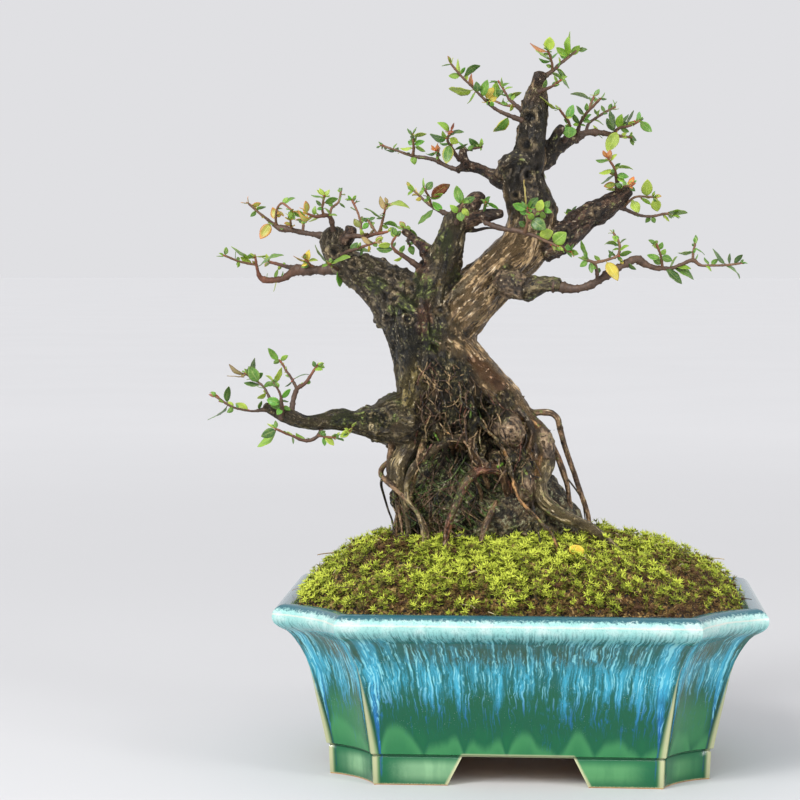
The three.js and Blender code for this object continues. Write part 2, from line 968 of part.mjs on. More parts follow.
    leaves: [
      [-109, 287.6, -117.6, 291, 3, 4],
      [-109, 287.6, -108.4, 293, 2.6],
      [-112.4, 289, -113.4, 295.8, 2.8],
      [-104.4, 294.4, -96.4, 296.8, 2.8],
      [-104.6, 293, -108, 296, 2],
      [-103.6, 297.6, -102.8, 300.6, 2.2],
      [-104, 297.6, -110.6, 298.8, 0.9],
      [-96, 295, -92.8, 292, 1.2],
      [-102, 288.2, -96.8, 287.6, 1.6],
      [-106, 287.6, -112, 284.8, 1.4, 0.8],
      [-104.5, 292, -107.5, 291.4, 2],
      [-99.4, 292.6, -101.6, 296, 2.4],
      [-110, 288.2, -112.6, 285.6, 1.4],
    ],
  },
  {
    name: "spray_knob_right",
    twigs: [
      [
        [-92, 277, 2, 1.6],
        [-82, 277.2, -3, 1.1],
        [-76, 278.4, -6, 0.9],
        [-70.5, 279.4, -9, 0.7],
      ],
      [
        [-75, 278.6, -6, 0.8],
        [-73.4, 284, -9, 0.7],
        [-71.6, 291, -12, 0.6],
        [-70.6, 294, -13, 0.6],
      ],
      [
        [-76, 278.4, -6, 0.7],
        [-80.6, 285.4, -1, 0.6],
      ],
      [
        [-84, 277.4, -2, 0.8],
        [-85, 287, 4, 0.6],
        [-89, 296, 9, 0.6],
      ],
    ],
    leaves: [
      [-71.8, 290.4, -74, 298.4, 3.4],
      [-72, 289, -58.6, 291.4, 3.2, 4.6],
      [-73, 286, -83, 291.4, 2, -1.4],
      [-84.4, 281, -88, 286.4, 3.6],
      [-80, 284.4, -83.6, 281, 3],
      [-80.6, 285.4, -84, 286.4, 2],
      [-73.6, 283.6, -64.6, 281, 2, 2],
      [-73.4, 282.6, -69.8, 281.4, 2],
      [-89, 296, -91.2, 298.6, 1.6],
      [-89, 296, -86.8, 298.6, 1.8],
      [-88, 294, -84.8, 295.6, 0.9],
      [-83, 277.4, -84.6, 281, 2.2],
    ],
  },
  {
    name: "spray_knob_inner",
    twigs: [
      [
        [-95, 267, -2, 1.2],
        [-90, 269.4, -6, 0.8],
        [-83, 271.6, -8, 0.7],
        [-77, 273.6, -10, 0.6],
      ],
    ],
    leaves: [
      [-90, 269.4, -86, 273.8, 3.4],
      [-90, 269.4, -79, 269, 3.4],
      [-78, 273.2, -84.2, 276.6, 3],
      [-77.2, 273.6, -72.6, 276.6, 2.6],
      [-80, 272.4, -80.4, 268.8, 1.6],
      [-84, 271.2, -84.4, 266.8, 1.6],
    ],
  },
  {
    name: "spray_limb_fork",
    twigs: [
      [
        [-53, 260.4, -8, 1.8],
        [-62, 266.6, -12, 1.1],
        [-66.4, 269.6, -14, 0.9],
        [-68, 273.4, -15, 0.7],
        [-66, 277, -16, 0.6],
      ],
    ],
    leaves: [
      [-66.8, 270, -76.2, 270.6, 3.4],
      [-68, 273.4, -75.4, 272, 3],
      [-66, 276.6, -63.2, 280, 2.8],
      [-66.6, 276.4, -68.4, 280, 1.8],
      [-64, 268.2, -61.4, 272.4, 2.6],
      [-62, 266.6, -67, 264.2, 1.2],
    ],
  },
  {
    name: "spray_twig_stub",
    twigs: [
      [
        [-58, 276.6, -2, 1.4],
        [-59.6, 274.6, 4, 0.8],
        [-58.4, 272.4, 8, 0.6],
      ],
      [
        [-58, 276.6, -2, 1.2],
        [-60.6, 281.2, 2, 0.6],
      ],
    ],
    leaves: [
      [-60.6, 281, -54.6, 276, 3, 1],
      [-58.4, 272.6, -56.8, 267.2, 3.8],
      [-60, 280, -66.6, 283, 2],
    ],
  },
  {
    name: "spray_middle_left",
    twigs: [
      [
        [-37, 288, -8, 1.8],
        [-43, 290.6, -5, 1],
        [-47, 293, -3, 0.8],
        [-52, 297, 0, 0.7],
        [-57, 301.6, 3, 0.6],
      ],
      [
        [-47, 293, -3, 0.7],
        [-48.4, 297, -7, 0.6],
        [-50.8, 302, -10, 0.6],
      ],
    ],
    leaves: [
      [-46, 292.4, -54.2, 283.4, 3.2],
      [-55.4, 300.2, -59.8, 305.8, 2.6],
      [-50.4, 301, -46.6, 305.8, 3.8],
      [-50.8, 302, -51.2, 307.8, 1.2],
      [-48.4, 297, -37.4, 304.4, 4.8],
      [-48, 296, -41, 299.6, 2.6],
      [-52, 297, -55.6, 296.2, 2.2],
      [-41, 290, -46.6, 295.4, 3.6],
      [-53, 298, -51.4, 302, 2],
    ],
  },
  {
    name: "spray_middle_front",
    twigs: [
      [
        [-34, 284, -17, 1.4],
        [-32.6, 289.6, -21, 0.8],
        [-30.4, 294.6, -23, 0.6],
      ],
    ],
    leaves: [
      [-31.4, 293, -34, 303.8, 4.6],
      [-30.4, 294.6, -24.4, 297.6, 3.4],
      [-32.6, 290.4, -31.2, 285, 4.6],
      [-32.8, 289.4, -37.4, 293.6, 3.4],
      [-31.6, 292, -27.4, 288, 3.4],
    ],
  },
  {
    name: "spray_hook",
    twigs: [
      [
        [-19.4, 290, -13, 1],
        [-18.6, 294.6, -16, 0.6],
      ],
    ],
    leaves: [
      [-18.6, 294.6, -12, 291.4, 1.6, 1],
      [-18.8, 294, -20, 290, 1.4],
    ],
  },
  {
    name: "spray_centre",
    twigs: [
      [
        [-19, 284.6, -14, 1.6],
        [-12, 281.6, -17, 1.3],
        [-3, 280, -20, 1.2],
        [5, 278.2, -22, 1.1],
        [13, 274.6, -24, 0.8],
        [19, 272, -25, 0.6],
      ],
      [
        [2, 279, -22, 0.9],
        [3.6, 285, -25, 0.7],
        [3.4, 291.6, -27, 0.6],
      ],
      [
        [3.6, 285, -25, 0.8],
        [8, 289, -24, 0.6],
        [12, 291.4, -22, 0.6],
      ],
    ],
    leaves: [
      [3.4, 291, -4.4, 294, 4.2],
      [3.4, 291.6, 9, 297.4, 4],
      [3.6, 288.6, -0.8, 290.6, 2.6],
      [3.5, 290, 6.6, 285.8, 3.4],
      [8.6, 289.4, 11, 296.4, 4.6],
      [11.4, 291, 15.2, 295.6, 3.6],
      [5, 286.4, 13, 280.6, 7],
      [9, 276.6, 17, 279.6, 6],
      [16.6, 273, 23.8, 279, 7],
      [2.8, 282, -1, 284.8, 3.2],
      [8, 277.2, 14.4, 274.8, 3],
      [15.4, 273.4, 20.6, 269.4, 2.4],
      [11.6, 291.2, 16.4, 289.6, 2.6],
      [10, 290.2, 12.6, 286.6, 2.8],
      [3.5, 291, 2, 307, 1],
    ],
  },
  {
    name: "spray_right_limb_low",
    twigs: [
      [
        [21, 271.5, -6, 1.2],
        [24, 269.6, -9, 0.7],
        [26, 269, -11, 0.6],
      ],
    ],
    leaves: [
      [25, 269.4, 30.4, 267.6, 3.2],
      [23, 270.2, 26.6, 265.8, 1.4],
    ],
  },
  {
    name: "spray_right_limb_back",
    twigs: [
      [
        [27, 283, 7, 1.2],
        [27, 286.6, 13, 0.7],
        [26.4, 287.6, 17, 0.6],
      ],
    ],
    leaves: [
      [26.4, 287.4, 24.4, 291.6, 4],
      [27, 286.4, 29.4, 293, 1.6],
    ],
  },
  {
    name: "spray_left_upper",
    twigs: [
      [
        [-32, 311.8, 11, 1.7],
        [-38, 313.6, 12, 1.4],
        [-44, 316.6, 13, 1.2],
        [-50, 318.2, 14, 1],
        [-58, 319.6, 15, 0.8],
        [-66, 322.4, 16, 0.6],
        [-73.5, 325, 17, 0.6],
      ],
      [
        [-57, 319.6, 15, 0.9],
        [-56.6, 325, 12, 0.7],
        [-57, 330.4, 9, 0.6],
      ],
      [
        [-43.4, 316.6, 13, 0.8],
        [-44.6, 322, 8, 0.6],
      ],
    ],
    leaves: [
      [-56.6, 325, -50.8, 327.2, 3],
      [-56.8, 323.4, -63.6, 323.4, 2.6],
      [-56.6, 325.4, -59.6, 327.2, 2.8],
      [-56.6, 324, -50.4, 321.8, 2, 0.8],
      [-57, 319.6, -56, 314.8, 3.6],
      [-57, 330, -60, 333.8, 1.2],
      [-57, 330.2, -55, 334.6, 1],
      [-56.8, 329.6, -49.8, 331, 1.6],
      [-66, 322.4, -71.2, 322.4, 1.6],
      [-67, 322.8, -65.4, 326, 1],
      [-72, 324.4, -75, 327, 1],
      [-44.4, 321.6, -50.2, 320.6, 1.6, 0.8],
      [-44.6, 322, -47.4, 325, 1.4],
    ],
  },
  {
    name: "spray_left_upper_stub",
    twigs: [
      [
        [-31, 320, 10, 1.3],
        [-28.6, 322.4, 13, 0.8],
        [-21, 324, 18, 0.6],
      ],
    ],
    leaves: [
      [-22, 323.8, -27.4, 328.8, 3.4],
      [-27.6, 322.6, -33.4, 327, 1.6],
      [-22, 323.8, -20.6, 327, 1.8],
    ],
  },
  {
    name: "spray_left_upper_front",
    twigs: [
      [
        [-32.4, 317, 5, 1.3],
        [-36, 323, 0, 0.8],
        [-38.6, 328, -4, 0.7],
        [-37, 332.4, -7, 0.6],
      ],
    ],
    leaves: [
      [-38, 326, -39.4, 315.4, 6],
      [-37.2, 332, -44.2, 337, 3.6, -1],
      [-38.4, 329, -48.2, 330.6, 3.4],
      [-37, 332.4, -35.2, 336.8, 1.4],
      [-37.4, 331.4, -30, 332, 2],
      [-38.4, 329, -33, 326.2, 3.8],
      [-37.4, 325.6, -43, 326.4, 1.8],
      [-35.4, 322, -28, 325.8, 1.2],
      [-38.4, 327.4, -41.4, 332.6, 2],
    ],
  },
  {
    name: "spray_apex_left",
    twigs: [
      [
        [1, 338, -5, 1.6],
        [-8, 341.5, -8, 1],
        [-15, 345.2, -10, 0.8],
        [-20, 350, -12, 0.7],
        [-26, 356, -14, 0.6],
        [-31.6, 361.6, -16, 0.6],
        [-36.8, 367.8, -18, 0.6],
      ],
    ],
    leaves: [
      [-31.6, 361.6, -38.2, 361.6, 3.2],
      [-32, 362.4, -29.4, 366, 1.4],
      [-31, 361, -33.4, 370.6, 2.6],
      [-30.6, 360.8, -21.4, 367, 2.6, 1.4],
      [-24.6, 354.6, -38.2, 354.6, 3.4],
      [-23.6, 353.6, -28.4, 347, 1.6],
      [-22.6, 352.6, -23.6, 358.6, 4],
      [-25, 355, -26, 362.8, 2],
      [-20, 350, -17.6, 359.6, 4.4],
      [-18.6, 348.8, -14.4, 355.6, 4],
      [-17.4, 347.8, -12.6, 350.4, 3],
      [-6, 340.7, -14.6, 332, 5],
      [-19.6, 349.6, -14.8, 347.6, 1.6],
    ],
  },
  {
    name: "spray_apex_back",
    twigs: [
      [
        [1, 343, 5, 1.6],
        [-6, 349, 10, 0.8],
        [-9.4, 354.6, 14, 0.6],
        [-11.6, 358.4, 16, 0.6],
      ],
      [
        [-2, 345.6, 7, 0.9],
        [-9, 346.4, 11, 0.6],
        [-15, 349, 14, 0.6],
      ],
    ],
    leaves: [
      [-7.4, 351.4, -2.4, 350.4, 3],
      [-6.6, 350, 0.2, 353, 2],
      [-9.4, 354.6, -10.2, 360.8, 1.6],
      [-10, 355.8, -6, 357.8, 1.8],
      [-9, 354, -4.4, 355.8, 1.2],
      [-13.6, 348.4, -13, 358.4, 5.4],
      [-14, 348.6, -17.6, 352.4, 3],
      [-8.4, 353, -13.6, 352.8, 3.4],
      [-4, 347.2, -6, 343, 1.8],
    ],
  },
  {
    name: "spray_apex_right",
    twigs: [
      [
        [9.5, 359, 2, 1.6],
        [17, 364.5, 3, 1],
        [22, 369, 4, 0.8],
        [29.6, 375, 5, 0.6],
      ],
      [
        [16.5, 364.4, 3, 0.8],
        [16, 369, 0, 0.6],
        [14.4, 374.6, -3, 0.6],
      ],
    ],
    leaves: [
      [14.6, 374, 15.2, 382.2, 5.8],
      [14.6, 374, 4.6, 378.6, 2.4],
      [15.6, 370.4, 7.6, 375.4, 1.4],
      [16, 369, 9.4, 370.8, 1.4],
      [15.8, 369.8, 19.8, 373.8, 1.4],
      [16.2, 366, 13.2, 367.4, 2],
      [25, 371.4, 25.4, 382.4, 4],
      [25.4, 371.6, 18.6, 376.6, 3.6],
      [26, 372.2, 31, 377.6, 3.8],
      [24, 370.6, 20.4, 373.6, 2.8],
      [27, 373, 25.8, 385, 1.6],
      [18, 365.4, 25.6, 355, 2.4],
      [18, 365.4, 24.2, 361.2, 1.8],
      [15.4, 363.2, 22, 360.6, 1.6],
    ],
  },
  {
    name: "spray_apex_low_right",
    twigs: [
      [
        [9, 353, -4, 1.3],
        [16, 355.8, -9, 0.7],
        [20.6, 359, -12, 0.6],
      ],
    ],
    leaves: [
      [12, 354.2, 13.4, 359.6, 2.2],
      [19.6, 358.2, 17.4, 361.6, 1.6],
      [16, 355.8, 20.4, 357, 1.8],
    ],
  },
  {
    name: "spray_upper_right",
    twigs: [
      [
        [28, 328, 11, 2.4],
        [35, 331.6, 13, 1.9],
        [45, 331, 15, 1.7],
        [51, 330, 16, 1],
        [57.5, 329.2, 17, 0.7],
      ],
      [
        [34, 331.4, 12.5, 1.1],
        [36, 336.6, 15, 0.8],
        [42, 341, 18, 0.7],
        [49, 344.8, 21, 0.6],
      ],
      [
        [48, 330.6, 15, 1],
        [52, 334, 11, 0.8],
        [58, 335.6, 8, 0.6],
        [62.4, 337.8, 6, 0.6],
      ],
    ],
    leaves: [
      [44.4, 342.4, 42.2, 346, 2],
      [46, 343.2, 47.6, 347, 2],
      [41.4, 340.6, 38.6, 344.2, 1.4],
      [40, 339.6, 41.6, 343.8, 1.6],
      [38, 338.2, 43.6, 335.8, 1],
      [50, 332.4, 47, 343.6, 3.2],
      [51, 333.2, 53.4, 341.6, 4.4],
      [49.4, 332, 45.2, 339.4, 4],
      [53.6, 334.4, 56.6, 341.4, 2.2],
      [56, 335.2, 60.4, 338, 2.4],
      [60, 336.6, 63.2, 341, 1.6],
      [55.4, 335, 59.4, 343.4, 1.2],
      [62.2, 337.6, 69, 332.2, 4.4],
      [55.4, 330.6, 61, 327.6, 2.8],
      [51.2, 333.2, 45.4, 321.6, 6.8],
      [52, 334, 57, 332, 2.4],
      [41.6, 331.2, 38, 335.6, 2],
    ],
  },
  {
    name: "spray_upper_right_top",
    twigs: [
      [
        [29, 329, 11, 1.4],
        [31, 336, 6, 0.9],
        [34, 341.5, 3, 0.8],
        [41.6, 349.4, -2, 0.7],
      ],
      [
        [35, 342.6, 3, 0.7],
        [38.4, 350.6, 6, 0.6],
      ],
    ],
    leaves: [
      [31, 336.6, 27, 341.8, 2.6],
      [33.6, 340.8, 29, 345.8, 2.6],
      [32.6, 339, 37.2, 341.2, 2.2],
      [31, 336.6, 27.4, 335.8, 2],
      [32, 338, 36.8, 337.4, 2.2],
      [37.6, 349, 26, 352.2, 1.8, -1],
    ],
  },
  {
    name: "spray_upper_right_inner",
    twigs: [
      [
        [21, 324.4, 7, 1.5],
        [24.6, 331, 5, 1.1],
        [25.4, 336, 2, 0.8],
        [20, 344.4, -5, 0.6],
      ],
    ],
    leaves: [
      [20.2, 344, 10, 350.8, 1.8],
      [25.6, 335.6, 25, 329, 8],
      [24, 338, 27.6, 346.4, 4.4],
    ],
  },
  {
    name: "spray_right_limb_top",
    twigs: [
      [
        [51, 299, 4, 1.6],
        [50.4, 307, 0, 1],
        [49, 313, -3, 0.7],
        [46, 318, -5, 0.6],
      ],
      [
        [51.6, 301, 4, 1],
        [54.6, 303, -2, 0.7],
        [58, 303.6, -5, 0.6],
      ],
    ],
    leaves: [
      [46, 318, 43.2, 322.4, 2],
      [46.8, 316.8, 39.4, 317.2, 1.8],
      [47, 316.4, 50.6, 320.4, 1.8],
      [49, 313, 52.4, 315.6, 1.6],
      [49.4, 312.2, 59, 312, 1.6, 2.4],
      [49.4, 312, 41, 310.4, 2.6],
      [50, 310, 42, 305, 1.6],
      [50.2, 309, 56.8, 308.4, 3],
      [50.4, 308, 55, 305.6, 2.6],
      [57, 303.4, 59.6, 308.4, 2.4],
      [50.6, 305, 43.6, 303.4, 3.4],
      [54, 302.8, 49.6, 304.8, 2.8],
      [54.6, 303, 54.4, 306.4, 2.2],
      [50.9, 302, 45, 301.8, 1.8],
      [57, 303.4, 60.2, 300.8, 2.2],
    ],
  },
  {
    name: "spray_right_limb_right",
    twigs: [
      [
        [51, 293.4, 4, 1.8],
        [57, 290.4, 7, 1.2],
        [63, 288, 9, 0.8],
        [69, 287.6, 11, 0.7],
        [76, 289, 12, 0.7],
        [79.4, 288, 13, 0.6],
      ],
      [
        [54, 292.4, 5, 0.8],
        [60, 297.6, 2, 0.6],
        [70, 297.8, -1, 0.6],
      ],
    ],
    leaves: [
      [58.4, 296.2, 62, 289.4, 5.2],
      [63, 297.6, 68.4, 293.6, 1.8],
      [70, 297.8, 72, 290.2, 5.4],
      [66, 297.7, 66.6, 307.2, 6],
      [76.4, 289, 87.8, 289.4, 2.2, 1.2],
      [68.4, 287.8, 65.6, 284.2, 2.6],
      [68.8, 287.6, 70.6, 284.2, 2.6],
      [69, 297.8, 70.6, 301, 1.2],
    ],
  },
  {
    name: "spray_lower_right",
    twigs: [
      [
        [17, 251.4, -16, 3.6],
        [25, 249.6, -17, 2.4],
        [30, 249.5, -18, 2],
        [36, 251.2, -18, 2.1],
        [41, 254, -18, 2.3],
        [50, 259.6, -17, 2],
        [56, 263.2, -16, 2],
        [60.5, 265, -15, 2.2],
        [65.5, 262.3, -14, 1.6],
        [71, 260.4, -13, 1.3],
        [79, 260.2, -11, 1.1],
        [85, 262.3, -10, 0.9],
        [90.5, 264.2, -9, 1.1],
        [95, 261.8, -8, 0.7],
        [106, 261.7, -6, 0.6],
        [115.6, 262.8, -4, 0.6],
      ],
      [
        [74.5, 260.4, -12, 0.8],
        [73.6, 267, -16, 0.6],
        [71.4, 273, -19, 0.6],
      ],
      [
        [90.5, 264.2, -9, 0.8],
        [90.8, 269, -5, 0.6],
        [91.8, 273.4, -2, 0.6],
      ],
      [
        [40, 252.8, -18, 1.4],
        [40, 259, -21, 0.9],
        [38.6, 263, -23, 0.8],
        [34.6, 264.6, -24, 0.7],
      ],
      [
        [38.6, 263, -23, 0.8],
        [45, 264.6, -20, 0.7],
        [51, 267, -18, 0.7],
        [51.8, 273, -15, 0.7],
        [49, 278.4, -12, 0.6],
      ],
    ],
    leaves: [
      [44.6, 264.4, 51, 253.5, 6],
      [55, 262.6, 60.6, 259.4, 2],
      [73.8, 265.8, 66.4, 267, 2.8],
      [74.4, 262, 69.4, 266, 3.6],
      [73.6, 266.6, 79.8, 264.2, 3.8],
      [72.6, 269.6, 74.6, 274, 2.8],
      [78, 260.2, 82.4, 266.4, 1.6],
      [80, 260.6, 91, 254.2, 3.6],
      [81, 260.8, 89.6, 259.6, 1.8],
      [75, 260.3, 84.6, 251.8, 3.8],
      [90.8, 269, 82.6, 268.6, 1.8],
      [91.2, 271, 96.6, 267, 0.9],
      [99, 261.8, 96.6, 266, 2],
      [100, 261.8, 103.6, 265, 2.6],
      [97, 261.8, 100.4, 258.6, 1.4],
      [108.6, 262, 100.8, 270.4, 3],
      [112, 262.4, 116.8, 267.4, 2.6],
      [110, 262.2, 110, 268, 1.8],
      [107.6, 261.8, 115.4, 254.8, 1.8],
      [36, 264, 32, 275, 1.6],
      [35.4, 264.4, 31, 261, 3],
      [36.4, 264, 37.4, 257.6, 2.6],
      [42, 264, 38.6, 267, 2],
      [40, 257, 41.4, 260.4, 2.4],
      [51.6, 272, 44, 272.4, 2, -2],
      [51.8, 273, 55.4, 275.8, 1.2],
      [51, 267, 58.4, 268.6, 2.4],
      [51.4, 269, 57, 272, 1.4],
      [50, 266.6, 46, 269.6, 1.8],
      [50.6, 266.8, 53.6, 263.4, 2],
      [46.4, 265, 48.6, 269, 1.6],
    ],
  },
  {
    name: "spray_back_upper",
    twigs: [
      [
        [3, 300, 10, 2],
        [2, 306, 18, 1.2],
        [5, 311, 26, 0.8],
        [3, 318, 33, 0.6],
      ],
      [
        [3.4, 308.5, 22, 0.9],
        [8, 314, 27, 0.6],
      ],
    ],
    leaves: [
      [3, 318, -3, 325.4, 3.6],
      [3.6, 316, 10.4, 322, 2],
      [8, 314, 13.4, 307.6, 1.2],
      [8, 314, 14.2, 319.6, 3.2],
      [2.6, 308, -5.6, 312, 2],
      [4.6, 311, -3.6, 316, 1.2],
      [3, 307.6, 7.6, 300.4, 3.2],
      [2.2, 306.6, -5.6, 302.4, 2],
    ],
  },
  {
    name: "spray_back_left",
    twigs: [
      [
        [-66, 244, 12, 2.2],
        [-67, 246, 22, 1.3],
        [-71, 249, 31, 0.9],
        [-72, 255, 40, 0.6],
      ],
      [
        [-69, 247.5, 26.5, 0.9],
        [-62, 248, 33, 0.6],
      ],
    ],
    leaves: [
      [-72, 255, -79, 261, 3.4],
      [-72, 254.6, -65, 259.6, 2],
      [-71, 249.6, -79, 246.4, 1.2],
      [-70.6, 248.8, -67, 241, 3.2],
      [-62, 248, -55, 243.6, 2],
      [-62, 248, -58.6, 256, 1.2],
      [-66.6, 247.8, -62.6, 240.6, 3.2],
      [-67, 246, -75, 241.8, 2],
    ],
  },
  {
    name: "spray_back_right",
    twigs: [
      [
        [-6, 264, 10, 2],
        [-4, 266, 20, 1.2],
        [1, 270, 29, 0.8],
        [2, 276, 37, 0.6],
      ],
    ],
    leaves: [
      [2, 276, -4.6, 282, 3.4],
      [2, 275.4, 8.6, 281, 2],
      [1.2, 271, -7, 273, 1.2],
      [1, 270, 8.4, 266, 3.4],
      [-2, 267.6, -9.4, 271.6, 2],
      [-3.6, 266.4, -0.4, 258.6, 1.2],
      [-4.4, 265.6, -12.4, 263.4, 3.2],
    ],
  },
];

// Nearest point of a list of routes to a point seen from the front, as [x, z, depth, gap]
function nearestOn(twigs, x, z) {
  let best = null;
  for (const points of twigs) {
    for (let i = 1; i < points.length; i += 1) {
      const [ax, az, ad] = points[i - 1];
      const [bx, bz, bd] = points[i];
      const lengthSquared = (bx - ax) ** 2 + (bz - az) ** 2;
      const dot = (x - ax) * (bx - ax) + (z - az) * (bz - az);
      const t = Math.min(1, Math.max(0, dot / lengthSquared));
      const px = ax + t * (bx - ax);
      const pz = az + t * (bz - az);
      const gap = Math.hypot(x - px, z - pz);
      if (!best || gap < best[3]) {
        best = [px, pz, ad + t * (bd - ad), gap];
      }
    }
  }
  return best;
}

const leafLean = 1.2; // range of a leaf's lean to the front or back, against its seen length
const narrowest = 0.5; // least width of a leaf, against its length

// A leaf is a thin arched blade, pointed at both ends. One that looks narrow from the front is a
// broad one seen from its edge.
const leafStations = [
  { along: 0.34, share: 0.95, lift: 0.85 },
  { along: 0.68, share: 0.85, lift: 0.9 },
];

function makeLeaf(leaf, start, depth, draw) {
  const [, , tipX, tipZ, seenWidth, arch = 0] = leaf;
  const seenLength = Math.hypot(tipX - start[0], tipZ - start[1]);
  const lean = leafLean * (draw() - 0.5);
  const turned = draw() < 0.5 ? -1 : 1;
  const from = place(start[0], start[1], depth);
  const to = place(tipX, tipZ, depth + lean * seenLength);
  const axis = to.clone().sub(from);
  const length = axis.length();
  axis.normalize();
  const width = Math.max(seenWidth, narrowest * length);
  const roll = turned * Math.acos(Math.min(1, seenWidth / width));
  const flat = new THREE.Vector3(-axis.z, 0, axis.x).normalize();
  const deep = new THREE.Vector3().crossVectors(axis, flat).normalize();
  const side = flat.clone().multiplyScalar(Math.cos(roll)).addScaledVector(deep, Math.sin(roll));
  const normal = new THREE.Vector3().crossVectors(axis, side).normalize();
  const rise = (normal.dot(flat) < 0 ? -1 : 1) * (arch || 0.07 * length);
  // Points of one face: base, left and right at both stations, tip
  const face = [from.clone()];
  for (const { along, share, lift } of leafStations) {
    const middle = from.clone().addScaledVector(axis, along * length);
    middle.addScaledVector(normal, lift * rise);
    face.push(middle.clone().addScaledVector(side, -0.5 * width * share));
    face.push(middle.clone().addScaledVector(side, 0.5 * width * share));
  }
  face.push(to);
  const vertices = [0.5, -0.5].flatMap((offset) =>
    face.map((point) => point.clone().addScaledVector(normal, offset * leafThickness)),
  );
  const upper = [
    [0, 1, 2],
    [1, 3, 4],
    [1, 4, 2],
    [3, 5, 4],
  ];
  const rim = [0, 1, 3, 5, 4, 2];
  const under = face.length;
  const triangles = upper.flatMap(([i, j, k]) => [
    [i, j, k],
    [under + i, under + k, under + j],
  ]);
  rim.forEach((i, index) => {
    const j = rim[(index + 1) % rim.length];
    triangles.push([i, under + i, under + j], [i, under + j, j]);
  });
  return solidOf(vertices, triangles);
}

// A spray starts as far in front of or behind the middle of its limb as listed, and reaches out
// from there.
function spreadTwigs(twigs) {
  const [baseX, baseZ, baseDepth] = twigs[0][0];
  const limbDepth = nearestOn([trunk, ...limbs], baseX, baseZ)[2];
  const start = baseDepth + limbDepth * (limbSpread - 1);
  return twigs.map((points) =>
    points.map(([x, z, depth, radius]) => [
      x,
      z,
      start + (depth - baseDepth) * spraySpread,
      Math.max(radius, twigRadius),
    ]),
  );
}

function makeSpray(spray, index, tree) {
  const draw = seeded(300 + index);
  const twigs = spreadTwigs(spray.twigs);
  const pieces = twigs.map((points) => tube(points, points[0][3] > 1.5 ? 5 : 3));
  for (const leaf of spray.leaves) {
    const [x, z, depth] = nearestOn(twigs, leaf[0], leaf[1]);
    const made = makeLeaf(leaf, [x, z], depth, draw);
    if (Math.hypot(leaf[2] - x, leaf[3] - z) > shortestLeaf) {
      pieces.push(made);
    }
  }
  return join(pieces).subtract(tree);
}

// Assembly

const tree = makeTree(0);
const treeRoom = makeTree(clearance);
const screens = drains.map(({ x }) => makeScreen(x));
const screenRooms = drains.map(({ x }) =>
  box(
    screenSize + 2 * clearance,
    screenSize + 2 * clearance,
    screenThickness + 2 * clearance + 1,
    x,
    0,
    floorTop + screenThickness / 2,
  ),
);

addNode("pot", makePot(), glaze);
drains.forEach(({ name }, index) => addNode("drain_screen_" + name, screens[index], meshCloth));
addNode("soil", makeSoil(treeRoom, screenRooms), earth);
addNode("moss", makeMoss(treeRoom), mossGreen);
addNode("tree", tree, bark);
sprays.forEach((spray, index) => addNode(spray.name, makeSpray(spray, index, treeRoom), foliage));

// The origin is on the ground, under the middle of the whole object
const extent = new THREE.Box3().setFromObject(bonsai);
const middle = extent.getCenter(new THREE.Vector3());
bonsai.position.set(-middle.x, -middle.y, -extent.min.z);

export default bonsai;
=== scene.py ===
import math
import random

import bpy
import numpy as np
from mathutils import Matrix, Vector
from mathutils.kdtree import KDTree


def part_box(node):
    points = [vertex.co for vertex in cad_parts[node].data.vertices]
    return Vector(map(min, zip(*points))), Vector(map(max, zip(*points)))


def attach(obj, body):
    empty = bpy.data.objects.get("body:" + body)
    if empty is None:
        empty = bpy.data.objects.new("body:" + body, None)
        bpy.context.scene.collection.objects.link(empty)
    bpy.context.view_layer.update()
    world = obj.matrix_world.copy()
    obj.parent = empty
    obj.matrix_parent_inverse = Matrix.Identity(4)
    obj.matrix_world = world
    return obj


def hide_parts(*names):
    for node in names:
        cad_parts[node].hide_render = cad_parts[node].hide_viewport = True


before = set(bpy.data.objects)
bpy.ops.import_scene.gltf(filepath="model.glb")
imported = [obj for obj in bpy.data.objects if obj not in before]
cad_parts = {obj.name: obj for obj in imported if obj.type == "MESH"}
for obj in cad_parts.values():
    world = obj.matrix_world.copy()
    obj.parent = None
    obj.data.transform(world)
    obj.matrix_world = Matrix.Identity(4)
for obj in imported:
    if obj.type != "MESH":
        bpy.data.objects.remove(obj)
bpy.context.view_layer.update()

mm = 0.001
potLow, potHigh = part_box("pot")
# Everything is worked out in mm from the middle of the pot's foot, then moved to the frame
middle = np.array([500 * (potLow.x + potHigh.x), 500 * (potLow.y + potHigh.y), 0])


# Camera first: the photo is taken nearly square on, from the height of the lower crown

view = {
    "eye": (20.7, -1200, 265),
    "yaw": 0.0705,
    "pitch": 0.062,
    "lens": 102.7,
    "sensor": 36,
    # the grid that places are read on: the photo's size, one pixel in mm, and how far the zero
    # lies to the right of its middle and below it
    "picture": 800,
    "pixel": 0.527,
    "zeroAt": (121, 362),
}
eye = np.array(view["eye"])

camera = bpy.data.objects.new("camera", bpy.data.cameras.new("camera"))
camera.location = Vector((eye + middle) * mm)
camera.rotation_euler = (math.pi / 2 - view["pitch"], 0, view["yaw"])
camera.data.lens = view["lens"]
camera.data.sensor_width = view["sensor"]
camera.data.clip_start = 0.05
bpy.context.scene.collection.objects.link(camera)
bpy.context.scene.camera = camera


# Helpers for shapes

def place(points):
    # [x, z, depth, ...] as seen from the front -> x, y, z; a point nearer or further away is
    # moved along its line of sight
    points = np.atleast_2d(np.asarray(points, float))
    k = 1 - points[:, 2] / eye[1]
    x = eye[0] + (points[:, 0] - eye[0]) * k
    z = eye[2] + (points[:, 1] - eye[2]) * k
    return np.column_stack((x, points[:, 2], z))


def seen(points):
    # the other way round: where x, y, z is seen from the front
    k = 1 - points[:, 1] / eye[1]
    return eye[0] + (points[:, 0] - eye[0]) / k, eye[2] + (points[:, 2] - eye[2]) / k


